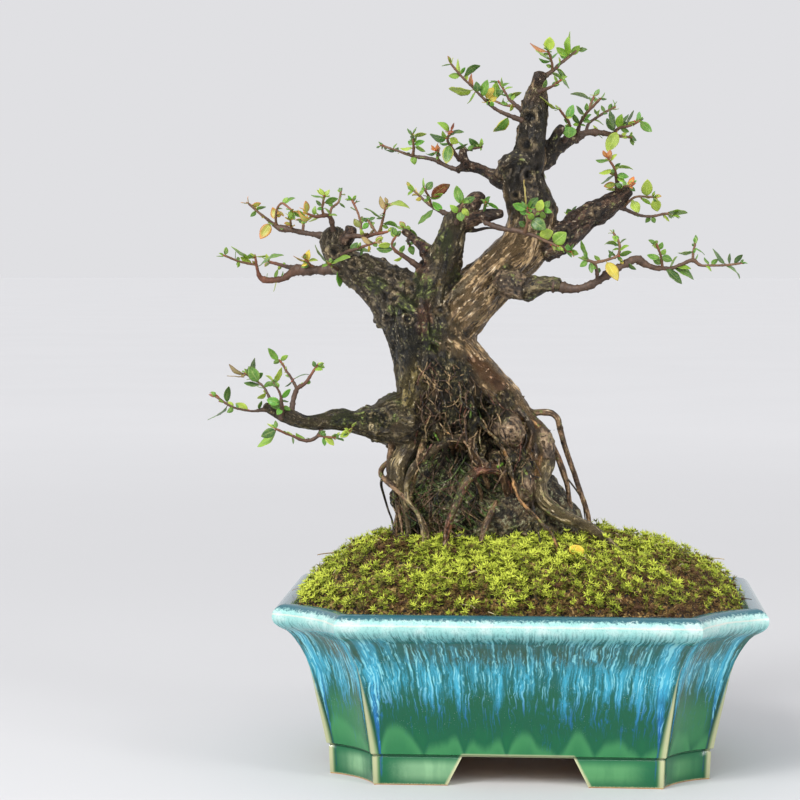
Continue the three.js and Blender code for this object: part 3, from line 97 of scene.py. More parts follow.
def unit(vectors):
    vectors = np.asarray(vectors, float)
    return vectors / np.maximum(np.linalg.norm(vectors, axis=-1, keepdims=True), 1e-9)


def ease(value, low, high):
    # 0 at low and 1 at high, smooth between them; low may be the larger one
    t = np.clip((value - low) / (high - low), 0, 1)
    return t * t * (3 - 2 * t)


def drift(points, size, seed=0):
    # smooth noise from -1 to 1 that changes over about this size
    q = np.asarray(points, float) / size + 31.7 * seed + 500
    cell = np.floor(q).astype(np.int64)
    f = q - cell
    f = f * f * (3 - 2 * f)
    total = np.zeros(len(q))
    for corner in np.ndindex(2, 2, 2):
        at = cell + corner
        n = at[:, 0] * 73856093 ^ at[:, 1] * 19349663 ^ at[:, 2] * 83492791 ^ (seed + 1) * 40503
        n = (n ^ (n >> 13)) * 1274126177
        value = ((n ^ (n >> 16)) & 0xFFFF) / 32767.5 - 1
        share = np.where(corner, f, 1 - f).prod(axis=1)
        total += share * value
    return total


def roughen(points, size, seed=0, layers=3):
    # several layers of noise, each half as large and half as strong
    return sum(drift(points, size / 2**i, seed + 7 * i) / 2**i for i in range(layers))


def smoothRoute(points, spacing):
    # series through all points, whose first three numbers are a place
    points = np.asarray(points, float)
    knots = np.vstack((2 * points[0] - points[1], points, 2 * points[-1] - points[-2]))
    parts = []
    for i in range(1, len(knots) - 2):
        a, b, c, d = knots[i - 1:i + 3]
        steps = max(1, math.ceil(np.linalg.norm((c - b)[:3]) / spacing))
        t = np.arange(steps)[:, None] / steps
        parts.append(b + 0.5 * ((c - a) * t + (2 * a - 5 * b + 4 * c - d) * t**2
                                + (3 * b - a - 3 * c + d) * t**3))
    return np.vstack((*parts, knots[-2]))


def woodRoute(points, spacing, depthScale=1):
    points = np.array(points, float)
    points[:, 2] *= depthScale
    return smoothRoute(np.column_stack((place(points), points[:, 3])), spacing)


def framesAlong(centres):
    ahead = unit(np.gradient(centres, axis=0))
    side = np.array([0.31, 0.86, 0.41])
    sides = []
    for direction in ahead:
        side = unit(side - direction * side.dot(direction))
        sides.append(side)
    sides = np.array(sides)
    return ahead, sides, np.cross(ahead, sides)


def ringFaces(rings, count):
    # quads between closed rings, lowest first, with a fan at both ends
    level, i = np.divmod(np.arange((rings - 1) * count), count)
    a = level * count + i
    b = level * count + (i + 1) % count
    quads = np.column_stack((a, b, b + count, a + count))
    i = np.arange(count)
    j = (i + 1) % count
    hub = rings * count
    last = (rings - 1) * count
    low = np.column_stack((j, i, np.full(count, hub)))
    high = np.column_stack((last + i, last + j, np.full(count, hub + 1)))
    return [quads, low, high]


def sweep(route, sides, wave=None):
    # round tube along [x, y, z, radius]; wave gives each point's share of the radius
    centres, radii = route[:, :3], route[:, 3]
    ahead, side, across = framesAlong(centres)
    angle = 2 * math.pi * np.arange(sides) / sides
    spokes = (np.cos(angle)[None, :, None] * side[:, None] + np.sin(angle)[None, :, None] * across[:, None])
    reach = np.repeat(radii[:, None], sides, axis=1)
    if wave is not None:
        reach = reach * wave
    rings = centres[:, None] + spokes * reach[..., None]
    ends = [centres[0] - ahead[0] * radii[0] * 0.35, centres[-1] + ahead[-1] * radii[-1] * 0.35]
    return np.vstack((rings.reshape(-1, 3), ends)), ringFaces(len(route), sides)


class Shape:
    # points and faces collected for one object, with numbers marked on the points
    def __init__(self):
        self.points = []
        self.faces = []
        self.marks = {}
        self.count = 0

    def add(self, points, faces, **marks):
        points = np.asarray(points, float)
        faces = faces if isinstance(faces, list) else [faces]
        self.points.append(points)
        self.faces += [np.asarray(group, int) + self.count for group in faces]
        for key, value in marks.items():
            value = np.asarray(value, float)
            if value.ndim == 0 or (value.ndim == 1 and len(value) != len(points)):
                value = np.tile(value, (len(points), 1)) if value.ndim else np.full(len(points), value)
            self.marks.setdefault(key, []).append(value)
        self.count += len(points)

    def build(self, name):
        mesh = bpy.data.meshes.new(name)
        points = np.concatenate(self.points)
        faces = [face for group in self.faces for face in group.tolist()]
        mesh.from_pydata(((points + middle) * mm).tolist(), [], faces)
        for key, values in self.marks.items():
            markPoints(mesh, key, np.concatenate(values))
        mesh.shade_smooth()
        made = bpy.data.objects.new(name, mesh)
        bpy.context.scene.collection.objects.link(made)
        return made


def markPoints(mesh, name, values):
    kinds = {1: ("FLOAT", "value"), 3: ("FLOAT_VECTOR", "vector"), 4: ("FLOAT_COLOR", "color")}
    values = np.asarray(values, float)
    kind, field = kinds[1 if values.ndim == 1 else values.shape[1]]
    mark = mesh.attributes.new(name, kind, "POINT")
    mark.data.foreach_set(field, values.ravel())


def readPoints(mesh):
    # places in mm from the middle of the foot, and normals
    count = len(mesh.vertices)
    places = np.zeros(count * 3)
    mesh.vertices.foreach_get("co", places)
    normals = np.zeros(count * 3)
    mesh.vertex_normals.foreach_get("vector", normals)
    return places.reshape(-1, 3) / mm - middle, normals.reshape(-1, 3)


def writePoints(mesh, points):
    mesh.vertices.foreach_set("co", ((points + middle) * mm).ravel())
    mesh.update()


def spread(mesh, values, times):
    # evens numbers out over neighbouring points
    pairs = np.zeros(len(mesh.edges) * 2, np.int64)
    mesh.edges.foreach_get("vertices", pairs)
    a, b = pairs.reshape(-1, 2).T
    count = len(mesh.vertices)
    near = np.bincount(np.r_[a, b], minlength=count)[:, None]
    values = values.reshape(count, -1)
    for _ in range(times):
        total = np.column_stack([
            np.bincount(np.r_[a, b], weights=np.r_[column[b], column[a]], minlength=count)
            for column in values.T
        ])
        values = 0.5 * values + 0.5 * total / np.maximum(near, 1)
    return values


def bake(made):
    # turns an object's modifiers into its mesh
    bpy.context.view_layer.update()
    depsgraph = bpy.context.evaluated_depsgraph_get()
    mesh = bpy.data.meshes.new_from_object(made.evaluated_get(depsgraph))
    made.modifiers.clear()
    made.data = mesh
    return made


def carve(body, tool, operation="DIFFERENCE"):
    # cuts the tool out of the body, or joins the two, and removes the tool
    modifier = body.modifiers.new("cut", "BOOLEAN")
    modifier.operation = operation
    modifier.solver = "EXACT"
    modifier.object = tool
    bake(body)
    bpy.data.objects.remove(tool)


def remesh(made, voxel, smooth):
    voxels = made.modifiers.new("voxels", "REMESH")
    voxels.mode = "VOXEL"
    voxels.voxel_size = voxel * mm
    softer = made.modifiers.new("softer", "SMOOTH")
    softer.factor = 0.5
    softer.iterations = smooth
    bake(made)


def thinOut(made, most):
    # fewer triangles, kept where the surface bends
    made.data.calc_loop_triangles()
    count = len(made.data.loop_triangles)
    if count > most:
        modifier = made.modifiers.new("fewer", "DECIMATE")
        modifier.ratio = most / count
        bake(made)


def settle(piece, slot, finish, *nodes):
    # gives a piece its finish and its body, and hides the nodes that it stands for
    piece.data.materials.clear()
    piece.data.materials.append(finish)
    piece.data.shade_smooth()
    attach(piece, "root")
    if nodes:
        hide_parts(*nodes)
    piece.data.calc_loop_triangles()
    print(piece.name, len(piece.data.loop_triangles), "triangles")


# Helpers for finishes

def shade(red, green, blue):
    # a colour as seen on screen, from 0 to 255, as the shader needs it
    def lit(value):
        value /= 255
        return value / 12.92 if value <= 0.04045 else ((value + 0.055) / 1.055) ** 2.4
    return (lit(red), lit(green), lit(blue), 1)


class Wire:
    # a socket that can be used in sums
    def __init__(self, finish, socket):
        self.finish = finish
        self.socket = socket

    def maths(self, operation, first, second=0.0):
        return self.finish.node("Math", {"operation": operation}, {0: first, 1: second})

    def __add__(self, other):
        return self.maths("ADD", self, other)

    def __radd__(self, other):
        return self.maths("ADD", other, self)

    def __sub__(self, other):
        return self.maths("SUBTRACT", self, other)

    def __rsub__(self, other):
        return self.maths("SUBTRACT", other, self)

    def __mul__(self, other):
        return self.maths("MULTIPLY", self, other)

    def __rmul__(self, other):
        return self.maths("MULTIPLY", other, self)

    def __truediv__(self, other):
        return self.maths("DIVIDE", self, other)

    def __abs__(self):
        return self.maths("ABSOLUTE", self)

    def least(self, other):
        return self.maths("MINIMUM", self, other)

    def most(self, other):
        return self.maths("MAXIMUM", self, other)

    def between(self, low, high):
        # 0 at low and 1 at high, smooth between them; low may be the larger one
        return self.finish.node("MapRange", {"interpolation_type": "SMOOTHSTEP"},
                                {0: self, 1: low, 2: high, 3: 0.0, 4: 1.0})


class Finish:
    def __init__(self, name):
        self.material = bpy.data.materials.new(name)
        self.material.use_nodes = True
        self.tree = self.material.node_tree
        self.tree.nodes.clear()

    def node(self, kind, settings=None, sockets=None, out=0):
        made = self.tree.nodes.new("ShaderNode" + kind)
        for key, value in (settings or {}).items():
            if key == "stops":
                self.setStops(made.color_ramp, value)
            else:
                setattr(made, key, value)
        for key, value in (sockets or {}).items():
            if isinstance(value, Wire):
                self.tree.links.new(value.socket, made.inputs[key])
            else:
                made.inputs[key].default_value = value
        return Wire(self, made.outputs[out]) if made.outputs else None

    def setStops(self, ramp, stops):
        while len(ramp.elements) < len(stops):
            ramp.elements.new(1)
        for element, (at, colour) in zip(ramp.elements, stops):
            element.position = at
            element.color = colour

    def place(self):
        # x, y, z in mm from the middle of the pot's foot
        where = self.node("TexCoord", out="Object")
        where = self.node("VectorMath", {"operation": "SCALE"}, {0: where, "Scale": 1000})
        return self.node("VectorMath", {"operation": "SUBTRACT"}, {0: where, 1: tuple(middle)})

    def mark(self, name, out="Fac"):
        return self.node("Attribute", {"attribute_name": name}, out=out)

    def parts(self, vector):
        return [self.node("SeparateXYZ", sockets={0: vector}, out=axis) for axis in "XYZ"]

    def stretch(self, vector, x, y, z):
        return self.node("VectorMath", {"operation": "MULTIPLY"}, {0: vector, 1: (x, y, z)})

    def noise(self, vector, size, detail=3.0, rough=0.5):
        return self.node("TexNoise", sockets={
            "Vector": vector, "Scale": 1 / size, "Detail": detail, "Roughness": rough})

    def cells(self, vector, size):
        return self.node("TexVoronoi", sockets={"Vector": vector, "Scale": 1 / size}, out="Distance")

    def ramp(self, value, *stops):
        return self.node("ValToRGB", {"stops": stops}, {0: value}, "Color")

    def mix(self, share, first, second, blend="MIX"):
        return self.node("Mix", {"data_type": "RGBA", "blend_type": blend},
                         {0: share, 6: first, 7: second}, 2)

    def coats(self, colour, *coats):
        # lays one tone after another over a colour, each by its share
        for share, tone in coats:
            colour = self.mix(share, colour, tone)
        return colour

    def bump(self, height, distance, strength=1.0):
        return self.node("Bump", sockets={
            "Height": height, "Distance": distance * mm, "Strength": strength})

    def surface(self, **sockets):
        # names of the Principled sockets are written together, such as BaseColor
        names = {"BaseColor": "Base Color", "SpecularIORLevel": "Specular IOR Level",
                 "CoatWeight": "Coat Weight", "CoatRoughness": "Coat Roughness"}
        shader = self.node("BsdfPrincipled", sockets={names.get(k, k): v for k, v in sockets.items()})
        self.node("OutputMaterial", sockets={"Surface": shader})
        return self.material


# Pot: a closed loft, outside up and over the lip and down to the floor, then cut from below

pot = {
    "length": (potHigh.x - potLow.x) / mm,
    "width": (potHigh.y - potLow.y) / mm,
    "cornerCut": 35,
    "cutTaper": 0.38,
    "wallTaper": 0.586,
    "panelBow": 0.15,
    "ribRise": 0.7,
    "footHeight": 15,
    "footInset": 29.2,
    "archTop": 56,
    "archBottom": 72,
    "sideArchTop": 40,
    "sideArchBottom": 54,
    "footRing": 10,
    "drainRadius": 9,
    "drainSpacing": 96,
    "nubRadius": 5,
    "nubPlaces": (-3, 11),
    "nubDepth": -47,
    "edgeRound": 0.7,
    "clayTop": 22.5,
}
# height, inset from the rim and depth into the wall
outerProfile = [
    (0, 28.9, 0), (0.5, 28.5, 0), (7, 28.2, 0), (14, 27.9, 0), (14.8, 28.5, 0), (15.4, 28.3, 0),
    (16.2, 26.7, 0), (22, 25.6, 0), (30, 24, 0), (39, 22.1, 0), (49, 20, 0), (56, 18.2, 0),
    (62, 16.1, 0), (67, 13.7, 0), (71, 11.3, 0), (74, 9.2, 0), (76, 7.2, 0), (77.3, 5, 0),
    (78.6, 3, 0), (80.4, 1.1, 0), (82.2, 0.2, 0), (84, 0, 0), (86, 0.4, 0), (88, 1.8, 0), (89.4, 4, 0),
]
innerProfile = [
    (90, 6.5, 0), (89.6, 8.8, 0), (88, 10.8, 0), (86, 11.6, 0.6), (82.5, 9, 3.5), (79, 6, 6.5),
    (71, 11, 6.5), (62, 16.2, 6.5), (49, 20, 6.5), (25, 25.2, 6.5), (23, 26.4, 6.5),
]
sideShares = (0, 0.012, 0.03, 0.06, 0.12, 0.22, 0.34, 0.5, 0.66, 0.78, 0.88, 0.94, 0.97, 0.988)
cornerShares = (0, 0.03, 0.08, 0.16, 0.27, 0.38, 0.5, 0.62, 0.73, 0.84, 0.92, 0.97)


def potSizes(inset, depth=0.0):
    halfLength = pot["length"] / 2 - inset - depth
    halfWidth = pot["width"] / 2 - inset - depth
    cut = pot["cornerCut"] - pot["cutTaper"] * inset - pot["wallTaper"] * depth
    return halfLength, halfWidth, cut


def potOutline(inset, depth, z, rib=0.0):
    halfLength, halfWidth, cut = potSizes(inset, depth)
    bow = pot["panelBow"] * cut
    points = []
    for index, (sx, sy) in enumerate([(1, -1), (1, 1), (-1, 1), (-1, -1)]):
        shares = cornerShares + (1,)
        for share in shares:
            t = share if index % 2 == 0 else 1 - share
            push = 4 * bow * t * (1 - t) / math.sqrt(2)
            out = rib * (math.exp(-(t / 0.05) ** 2) + math.exp(-((1 - t) / 0.05) ** 2))
            x = halfLength - cut * (1 - t) - push + out * (0.4 if t < 0.5 else 0.9)
            y = halfWidth - cut * t - push + out * (0.9 if t < 0.5 else 0.4)
            points.append((sx * x, sy * y, z))
        # straight side to the next corner
        start = np.array(points[-1])
        alongX = index % 2 == 1
        flat = (halfLength if alongX else halfWidth) - cut
        for share in sideShares[1:]:
            move = 2 * flat * share
            if alongX:
                points.append((start[0] - sx * move, sy * halfWidth, z))
            else:
                points.append((sx * halfLength, start[1] - sy * move, z))
    return np.array(points)


def prism(outline, low, high, axis):
    # outline points (across, height), drawn through from low to high along x or y
    shape = Shape()
    count = len(outline)
    rings = []
    for end in (low, high):
        for across, height in outline:
            rings.append((end, across, height) if axis == "x" else (-across, end, height))
    i = np.arange(count)
    j = (i + 1) % count
    sides = np.column_stack((i, j, j + count, i + count))
    caps = np.array([list(range(count))[::-1], list(range(count, 2 * count))])
    shape.add(rings, [sides, caps])
    return shape.build("cutter")


def upright(radius, low, high, x, y):
    shape = Shape()
    points, faces = sweep(np.array([[x, y, low, radius], [x, y, high, radius]], float), 32)
    points[-2:, 2] = low, high
    shape.add(points, faces)
    return shape.build("cylinder")


def makePot():
    shape = Shape()
    rings = []
    for z, inset, depth in outerProfile:
        rib = pot["ribRise"] * float(ease(z, 66, 40)) if z < 66 else 0
        rings.append(potOutline(inset, depth, z, rib))
    for z, inset, depth in innerProfile:
        rings.append(potOutline(inset, depth, z))
    points = np.vstack(rings + [[(0, 0, 0), (0, 0, innerProfile[-1][0])]])
    shape.add(points, ringFaces(len(rings), len(rings[0])))
    body = shape.build("glazedPot")
    foot = pot["footHeight"]
    under = Shape()
    edge = [potOutline(pot["footInset"], pot["footRing"], z) for z in (-1, foot)]
    under.add(np.vstack(edge + [[(0, 0, -1), (0, 0, foot)]]), ringFaces(2, len(edge[0])))
    carve(body, under.build("recess"))
    for top, bottom, axis, reach in (
        (pot["archTop"], pot["archBottom"], "y", pot["width"] / 2),
        (pot["sideArchTop"], pot["sideArchBottom"], "x", pot["length"] / 2),
    ):
        outline = [(-bottom / 2, -1), (bottom / 2, -1), (top / 2, foot - 0.01), (-top / 2, foot - 0.01)]
        carve(body, prism(outline, -reach, reach, axis))
    for x in (-pot["drainSpacing"] / 2, pot["drainSpacing"] / 2):
        carve(body, upright(pot["drainRadius"] + 4, foot - 3, foot + 1, x, 0), "UNION")
        carve(body, upright(pot["drainRadius"], 0, 28, x, 0))
    for x in pot["nubPlaces"]:
        nub = Shape()
        turn = np.linspace(-math.pi / 2 + 0.1, math.pi / 2 - 0.1, 9)
        rise = foot + 0.7 * pot["nubRadius"] * np.sin(turn)
        route = np.column_stack((np.full(9, x), np.full(9, pot["nubDepth"]), rise,
                                 pot["nubRadius"] * np.cos(turn)))
        nub.add(*sweep(route.astype(float), 20))
        carve(body, nub.build("nub"), "UNION")
    rounding = body.modifiers.new("rounding", "BEVEL")
    rounding.width = pot["edgeRound"] * mm
    rounding.segments = 2
    rounding.limit_method = "ANGLE"
    rounding.angle_limit = math.radians(58)
    bake(body)
    return body


def markRim(body):
    # every point's place on the rim, above the line that the glaze runs down
    points, _ = readPoints(body.data)
    heights, insets, _ = zip(*outerProfile)
    inset = np.interp(points[:, 2], heights, insets)
    halfLength, halfWidth, cut = potSizes(inset)
    topLength, topWidth, topCut = potSizes(0)
    rim = np.zeros_like(points)
    for axis, half, topHalf in ((0, halfLength, topLength), (1, halfWidth, topWidth)):
        out = np.abs(points[:, axis])
        flat, topFlat = half - cut, topHalf - topCut
        moved = np.where(out < flat, out * topFlat / flat, topFlat + (out - flat) * topCut / cut)
        rim[:, axis] = np.sign(points[:, axis]) * moved
    markPoints(body.data, "rim", rim)


glaze = {
    "lip": shade(150, 200, 194),
    "lipPale": shade(196, 218, 212),
    "lipUnder": shade(112, 190, 192),
    "lipWornHighlight": shade(226, 204, 190),
    "lipSpeck": shade(16, 84, 98),
    "cove": shade(16, 94, 86),
    "olive": shade(50, 72, 34),
    "teal": shade(2, 94, 92),
    "deepGreen": shade(0, 84, 56),
    "green": shade(6, 98, 56),
    "lightGreen": shade(62, 136, 82),
    "foot": shade(88, 150, 96),
    "footPaintedLight": shade(142, 184, 140),
    "footEdge": shade(14, 92, 58),
    "cream": shade(196, 194, 152),
    "creamEdge": shade(124, 146, 88),
    "ribShadow": shade(8, 62, 42),
    "white": shade(150, 226, 232),
    "paleBlue": shade(60, 172, 204),
    "blue": shade(18, 94, 168),
    # painted shade for the groove above the foot
    "groove": shade(14, 62, 42),
    "crystal": shade(190, 222, 226),
    "runWidth": 2.1,
    "threadWidth": 1.0,
    "clusterWidth": 7.5,
    "ribWidth": 2.9,
    # height on the wall and how much the streaks need there before they show
    "needed": ((0.12, 0.84), (0.3, 0.71), (0.44, 0.63), (0.56, 0.56), (0.69, 0.5), (0.76, 0.59), (0.84, 0.6)),
}


def glazeFinish():
    f = Finish("runningGlaze")
    where = f.place()
    x, y, z = f.parts(where)
    rim = f.mark("rim", "Vector")
    wander = f.node("TexNoise", sockets={"Vector": where, "Scale": 0.09, "Detail": 2.5}, out="Color")
    wander = f.node("VectorMath", {"operation": "MULTIPLY_ADD"},
                    {0: wander, 1: (5, 5, 0), 2: (-2.5, -2.5, 0)})
    line = f.node("VectorMath", {"operation": "ADD"}, {0: rim, 1: wander})
    level = f.node("CombineXYZ", sockets={"Z": z})

    def streaks(width, drop, detail=2.0):
        # noise drawn out down the wall
        across = f.stretch(line, 1 / width, 1 / width, 0)
        down = f.stretch(level, 0, 0, 1 / drop)
        return f.noise(f.node("VectorMath", {"operation": "ADD"}, {0: across, 1: down}), 1, detail, 0.6)

    cluster = streaks(glaze["clusterWidth"], 60)
    runs = streaks(glaze["runWidth"], 32, 3.0)
    threads = streaks(glaze["threadWidth"], 17, 2.0)
    grain = f.noise(where, 0.9, 4.0, 0.7)
    # corner ridges, found on the rim, and the panels between them
    halfLength, halfWidth, cut = potSizes(0)
    folded = f.node("VectorMath", {"operation": "ABSOLUTE"}, {0: rim})
    flatRim = f.stretch(folded, 1, 1, 0)
    toRidge = [
        f.node("VectorMath", {"operation": "DISTANCE"}, {0: flatRim, 1: corner}, "Value")
        for corner in ((halfLength - cut, halfWidth, 0), (halfLength, halfWidth - cut, 0))
    ]
    ridge = toRidge[0].least(toRidge[1])
    rimX, rimY, _ = f.parts(folded)
    panel = (rimX - (halfLength - cut)).least(rimY - (halfWidth - cut)).between(-0.4, 0.8)

    # ground colour by height
    uneven = z + (cluster - 0.5) * 22 + (grain - 0.5) * 5
    ground = f.ramp(uneven / 90,
                    (0.0, glaze["green"]), (0.2, glaze["green"]), (0.34, glaze["deepGreen"]),
                    (0.5, glaze["deepGreen"]), (0.6, glaze["teal"]), (0.72, glaze["teal"]),
                    (0.8, glaze["cove"]), (0.87, glaze["cove"]))
    # scallops of pale green above the foot line, darker just over them
    rimAlong, rimBack, _ = f.parts(rim)
    slow = f.noise(f.stretch(rim, 1, 1, 0), 30, 1.0)
    arch = (rimAlong + rimBack * 0.6 + slow * 20) / 26
    arch = f.node("Math", {"operation": "PINGPONG"}, {0: arch, 1: 0.5})
    flank = 1 - arch * 2
    tide = 14.5 + (1 - flank * flank) * (5 + slow.between(0.36, 0.6) * 12) + (cluster - 0.5) * 5
    over = tide - z + (grain - 0.5) * 1.5
    middlePanel = panel * ridge.between(5, 12) * z.between(52, 34) * z.between(15, 24)
    # brown patches under the lip
    olive = f.noise(f.stretch(line, 0.11, 0.11, 0), 1, 1.5).between(0.43, 0.52)
    olive = olive * z.between(61.5, 66) * (z - (runs - 0.5) * 12).between(76, 71)
    ground = f.coats(
        ground,
        (over.between(-10, -1) * over.between(4, 0.5) * 0.6, glaze["deepGreen"]),
        (over.between(-3.5, 3) * (0.4 + over.between(12, 1) * 0.4), glaze["lightGreen"]),
        (middlePanel * 0.5, glaze["lightGreen"]),
        (panel * ridge.between(7, 3) * z.between(60, 40) * 0.75, glaze["deepGreen"]),
        (olive * 0.75, glaze["olive"]))

    # blue runs, thick below the lip and thinner further down; the thick ones turn pale
    flow = runs * 0.42 + threads * 0.33 + cluster * 0.3 + grain * 0.12
    need = f.ramp((z + (cluster - 0.5) * 36) / 90, *((at, (n, n, n, 1)) for at, n in glaze["needed"]))
    need = f.node("RGBToBW", sockets={0: need})
    body = (flow - need).between(-0.06, 0.17)
    height = z + (cluster - 0.5) * 24
    runColour = f.mix(height.between(30, 58), glaze["blue"], glaze["paleBlue"])
    pale = (threads - 0.5).between(0.03, 0.16) * z.between(42, 56)
    runColour = f.mix(pale * 0.85, runColour, glaze["white"])
    thin = (threads + (runs - 0.5) * 0.8).between(0.58, 0.7) * z.between(22, 48)
    gaps = (threads + (runs - 0.5) * 0.6).between(0.44, 0.34) * z.between(34, 50)
    colour = f.coats(
        ground,
        (body * 0.85, runColour),
        (thin * 0.45, f.mix(z.between(34, 60), glaze["blue"], glaze["white"])),
        (gaps * 0.45, glaze["cove"]))

    # beside each ridge the runs gather in a band that narrows downwards
    bandWidth = (0.9 + z.between(14, 78) * 5.6) * (1 - panel * 0.45)
    bandMiddle = 4.2 + bandWidth * 0.75
    band = (1 - abs(ridge - bandMiddle + (runs - 0.5) * 3) / bandWidth).between(0.0, 0.5)
    band = band * z.between(2.5, 6) * z.between(82, 74) * (0.55 + threads.between(0.38, 0.56) * 0.45)
    bandColour = f.mix((height + (threads - 0.5) * 40).between(26, 64), glaze["blue"], glaze["paleBlue"])
    pale = (threads + (runs - 0.5)).between(0.54, 0.66) * z.between(10, 40)
    bandColour = f.mix(pale * 0.7, bandColour, glaze["white"])
    # the glaze thins out to cream on the ridge, with a dark edge
    ribWidth = 0.15 + z.between(67, 12) * glaze["ribWidth"]
    rib = (ridge / ribWidth).between(1.55, 0.45) * z.between(67.5, 63)
    shadow = (ridge - ribWidth - 1.2).between(-1.3, -0.1) * (ridge - ribWidth - 1.2).between(2.2, 0)
    ribTone = f.mix((ridge / ribWidth).between(0.3, 1.0) * 0.5, glaze["cream"], glaze["creamEdge"])

    # foot: pale in the middle, green round it, cream at the edges; the middle is paler on the left, painted
    # light
    foot = z.between(15.6, 14.8)
    centre = (ridge + (grain - 0.5) * 5).between(6, 26).most(panel * ridge.between(4, 12) * 0.3)
    centre = centre * z.between(-1, 6) * z.between(15, 9.5) * (0.75 + cluster.between(0.4, 0.6) * 0.25)
    # paler towards the left: painted light falling from that side
    footMiddlePaintedLight = f.mix((x + (cluster - 0.5) * 40).between(10, -50), glaze["foot"], glaze["footPaintedLight"])
    footTone = f.mix(centre * 0.9, glaze["footEdge"], footMiddlePaintedLight)
    # painted shade along the groove above the foot
    groove = (1 - abs(z - 15.0) / 0.9).between(0, 0.8)
    footEnd = (abs(x) - (pot["archBottom"] / 2 - z * 8 / 15) + (grain - 0.5)).between(1.9, 0.2)
    sideEnd = (abs(y) - (pot["sideArchBottom"] / 2 - z * 7 / 15) + (grain - 0.5)).between(1.9, 0.2)
    footEnd = footEnd.most(sideEnd)
    edges = (footEnd * z.between(15.6, 14.9)).most((z + (grain - 0.5) * 2).between(1.2, 0.2))
    archEdge = footEnd * z.between(17.2, 16.2) * z.between(15.2, 15.8)
    colour = f.coats(
        colour,
        (band * 0.92, bandColour),
        (shadow * z.between(66, 46) * (0.55 + panel * 0.35), glaze["ribShadow"]),
        (rib * (0.8 - z.between(40, 66) * 0.3), ribTone),
        (foot * (1 - rib) * (1 - band) * 0.9, footTone),
        (groove * 0.55, glaze["groove"]),
        (edges * 0.9, glaze["cream"]),
        (archEdge * 0.6, glaze["cream"]))

    # lip: pale, streaked where it turns under and speckled dark inside, with a pale pink band along it that
    # is worn glaze and painted highlight
    lip = f.mix(f.noise(where, 7, 3.0).between(0.35, 0.7) * 0.8, glaze["lip"], glaze["lipPale"])
    wornHighlight = (1 - abs(z - 85.2 + (f.noise(where, 9, 2.0) - 0.5) * 0.8) / 0.6).between(0, 0.7)
    inside = (z + (f.noise(where, 1.6, 3.0, 0.7) - 0.5) * 5).between(87.0, 88.6)
    lip = f.coats(
        lip,
        (z.between(84, 79) * 0.8, glaze["lipUnder"]),
        (threads.between(0.52, 0.4) * z.between(85, 79) * 0.6, glaze["teal"]),
        (f.noise(where, 0.8, 4.0, 0.7).between(0.52, 0.66) * 0.35, glaze["lipSpeck"]),
        (wornHighlight * 0.45, glaze["lipWornHighlight"]),
        (inside * 0.95, glaze["lipSpeck"]))
    onLip = (z + (threads - 0.5) * 8 + (runs - 0.5) * 3).between(75.6, 79.6)
    crystals = f.cells(where, 0.95).between(0.22, 0.06) * f.noise(where, 9, 3.0).between(0.5, 0.66)
    crystals = crystals * z.between(20, 48) * z.between(74, 66)
    colour = f.coats(colour, (onLip, lip), (crystals * 0.6, glaze["crystal"]))
    relief = threads * 0.35 + runs * 0.5 + f.noise(where, 2.4, 2.0) * 0.5
    coat = 0.12 + z.between(30, 76) * 0.38
    return f.surface(BaseColor=colour, Roughness=0.14 + grain * 0.1, SpecularIORLevel=0.4, CoatWeight=coat,
                     CoatRoughness=0.06, Normal=f.bump(relief, 0.12, 0.8))


def clayFinish():
    f = Finish("bareClay")
    where = f.place()
    grain = f.noise(where, 0.7, 4.0, 0.7)
    colour = f.ramp(f.noise(where, 9, 4.0, 0.6), (0.3, shade(150, 96, 48)), (0.55, shade(192, 136, 74)),
                    (0.75, shade(206, 160, 100)))
    colour = f.mix(grain.between(0.55, 0.7) * 0.5, colour, shade(104, 62, 32))
    return f.surface(BaseColor=colour, Roughness=0.75 + grain * 0.2, Normal=f.bump(grain, 0.2))


potPiece = makePot()
markRim(potPiece)
settle(potPiece, "glaze", glazeFinish(), "pot")
potPiece.data.materials.append(clayFinish())
# bare clay under the feet, in the recess and in the drain holes
recessLength, recessWidth, recessCut = potSizes(pot["footInset"], pot["footRing"] - 0.4)
for face in potPiece.data.polygons:
    x, y, z = np.array(face.center) / mm - middle
    inside = abs(x) < recessLength and abs(y) < recessWidth and z < pot["clayTop"]
    inside = inside and abs(x) + abs(y) < recessLength + recessWidth - recessCut
    if z < 0.3 or inside:
        face.material_index = 1
potPiece.data.set_sharp_from_angle(angle=math.radians(44))
print("pot made")


# Drain screens keep their CAD shape

def screenFinish():
    f = Finish("meshPlastic")
    where = f.place()
    weave = f.noise(where, 0.5, 3.0)
    threads = f.node("TexWave", {"bands_direction": "X"},
                     {"Vector": where, "Scale": 0.35, "Distortion": 0.4})
    dirt = f.noise(where, 6, 4.0, 0.6).between(0.5, 0.7)
    colour = f.mix(dirt * 0.6, shade(34, 38, 36), shade(86, 68, 46))
    return f.surface(BaseColor=colour, Roughness=0.45 + weave * 0.3,
                     Normal=f.bump(threads * 0.7 + weave, 0.25))


screenMesh = screenFinish()
for side in ("left", "right"):
    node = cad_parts["drain_screen_" + side]
    node.data.materials.clear()
    node.data.materials.append(screenMesh)


# Soil: the filling of the pot, and the earth that stands up between the roots

mound = {
    "lipInset": 11.5,
    "edge": 88,
    "rise": 30,
    "centre": (-14, 4),
    "depth": 5,
    "lump": 3.6,
    "floor": 23.5,
    "earthMiddle": 4,
    "crumbs": 620,
    "crumbSize": (0.6, 1.9),
}
earthCore = [
    (-16, 96, 4, 56), (-16, 112, 4, 52), (-17, 120, 5, 48), (-21, 127, 6, 43), (-27, 134, 6, 38.5),
    (-31, 141, 6, 36), (-31, 152, 6, 32), (-31, 165, 5, 28), (-34, 177, 4, 21),
]


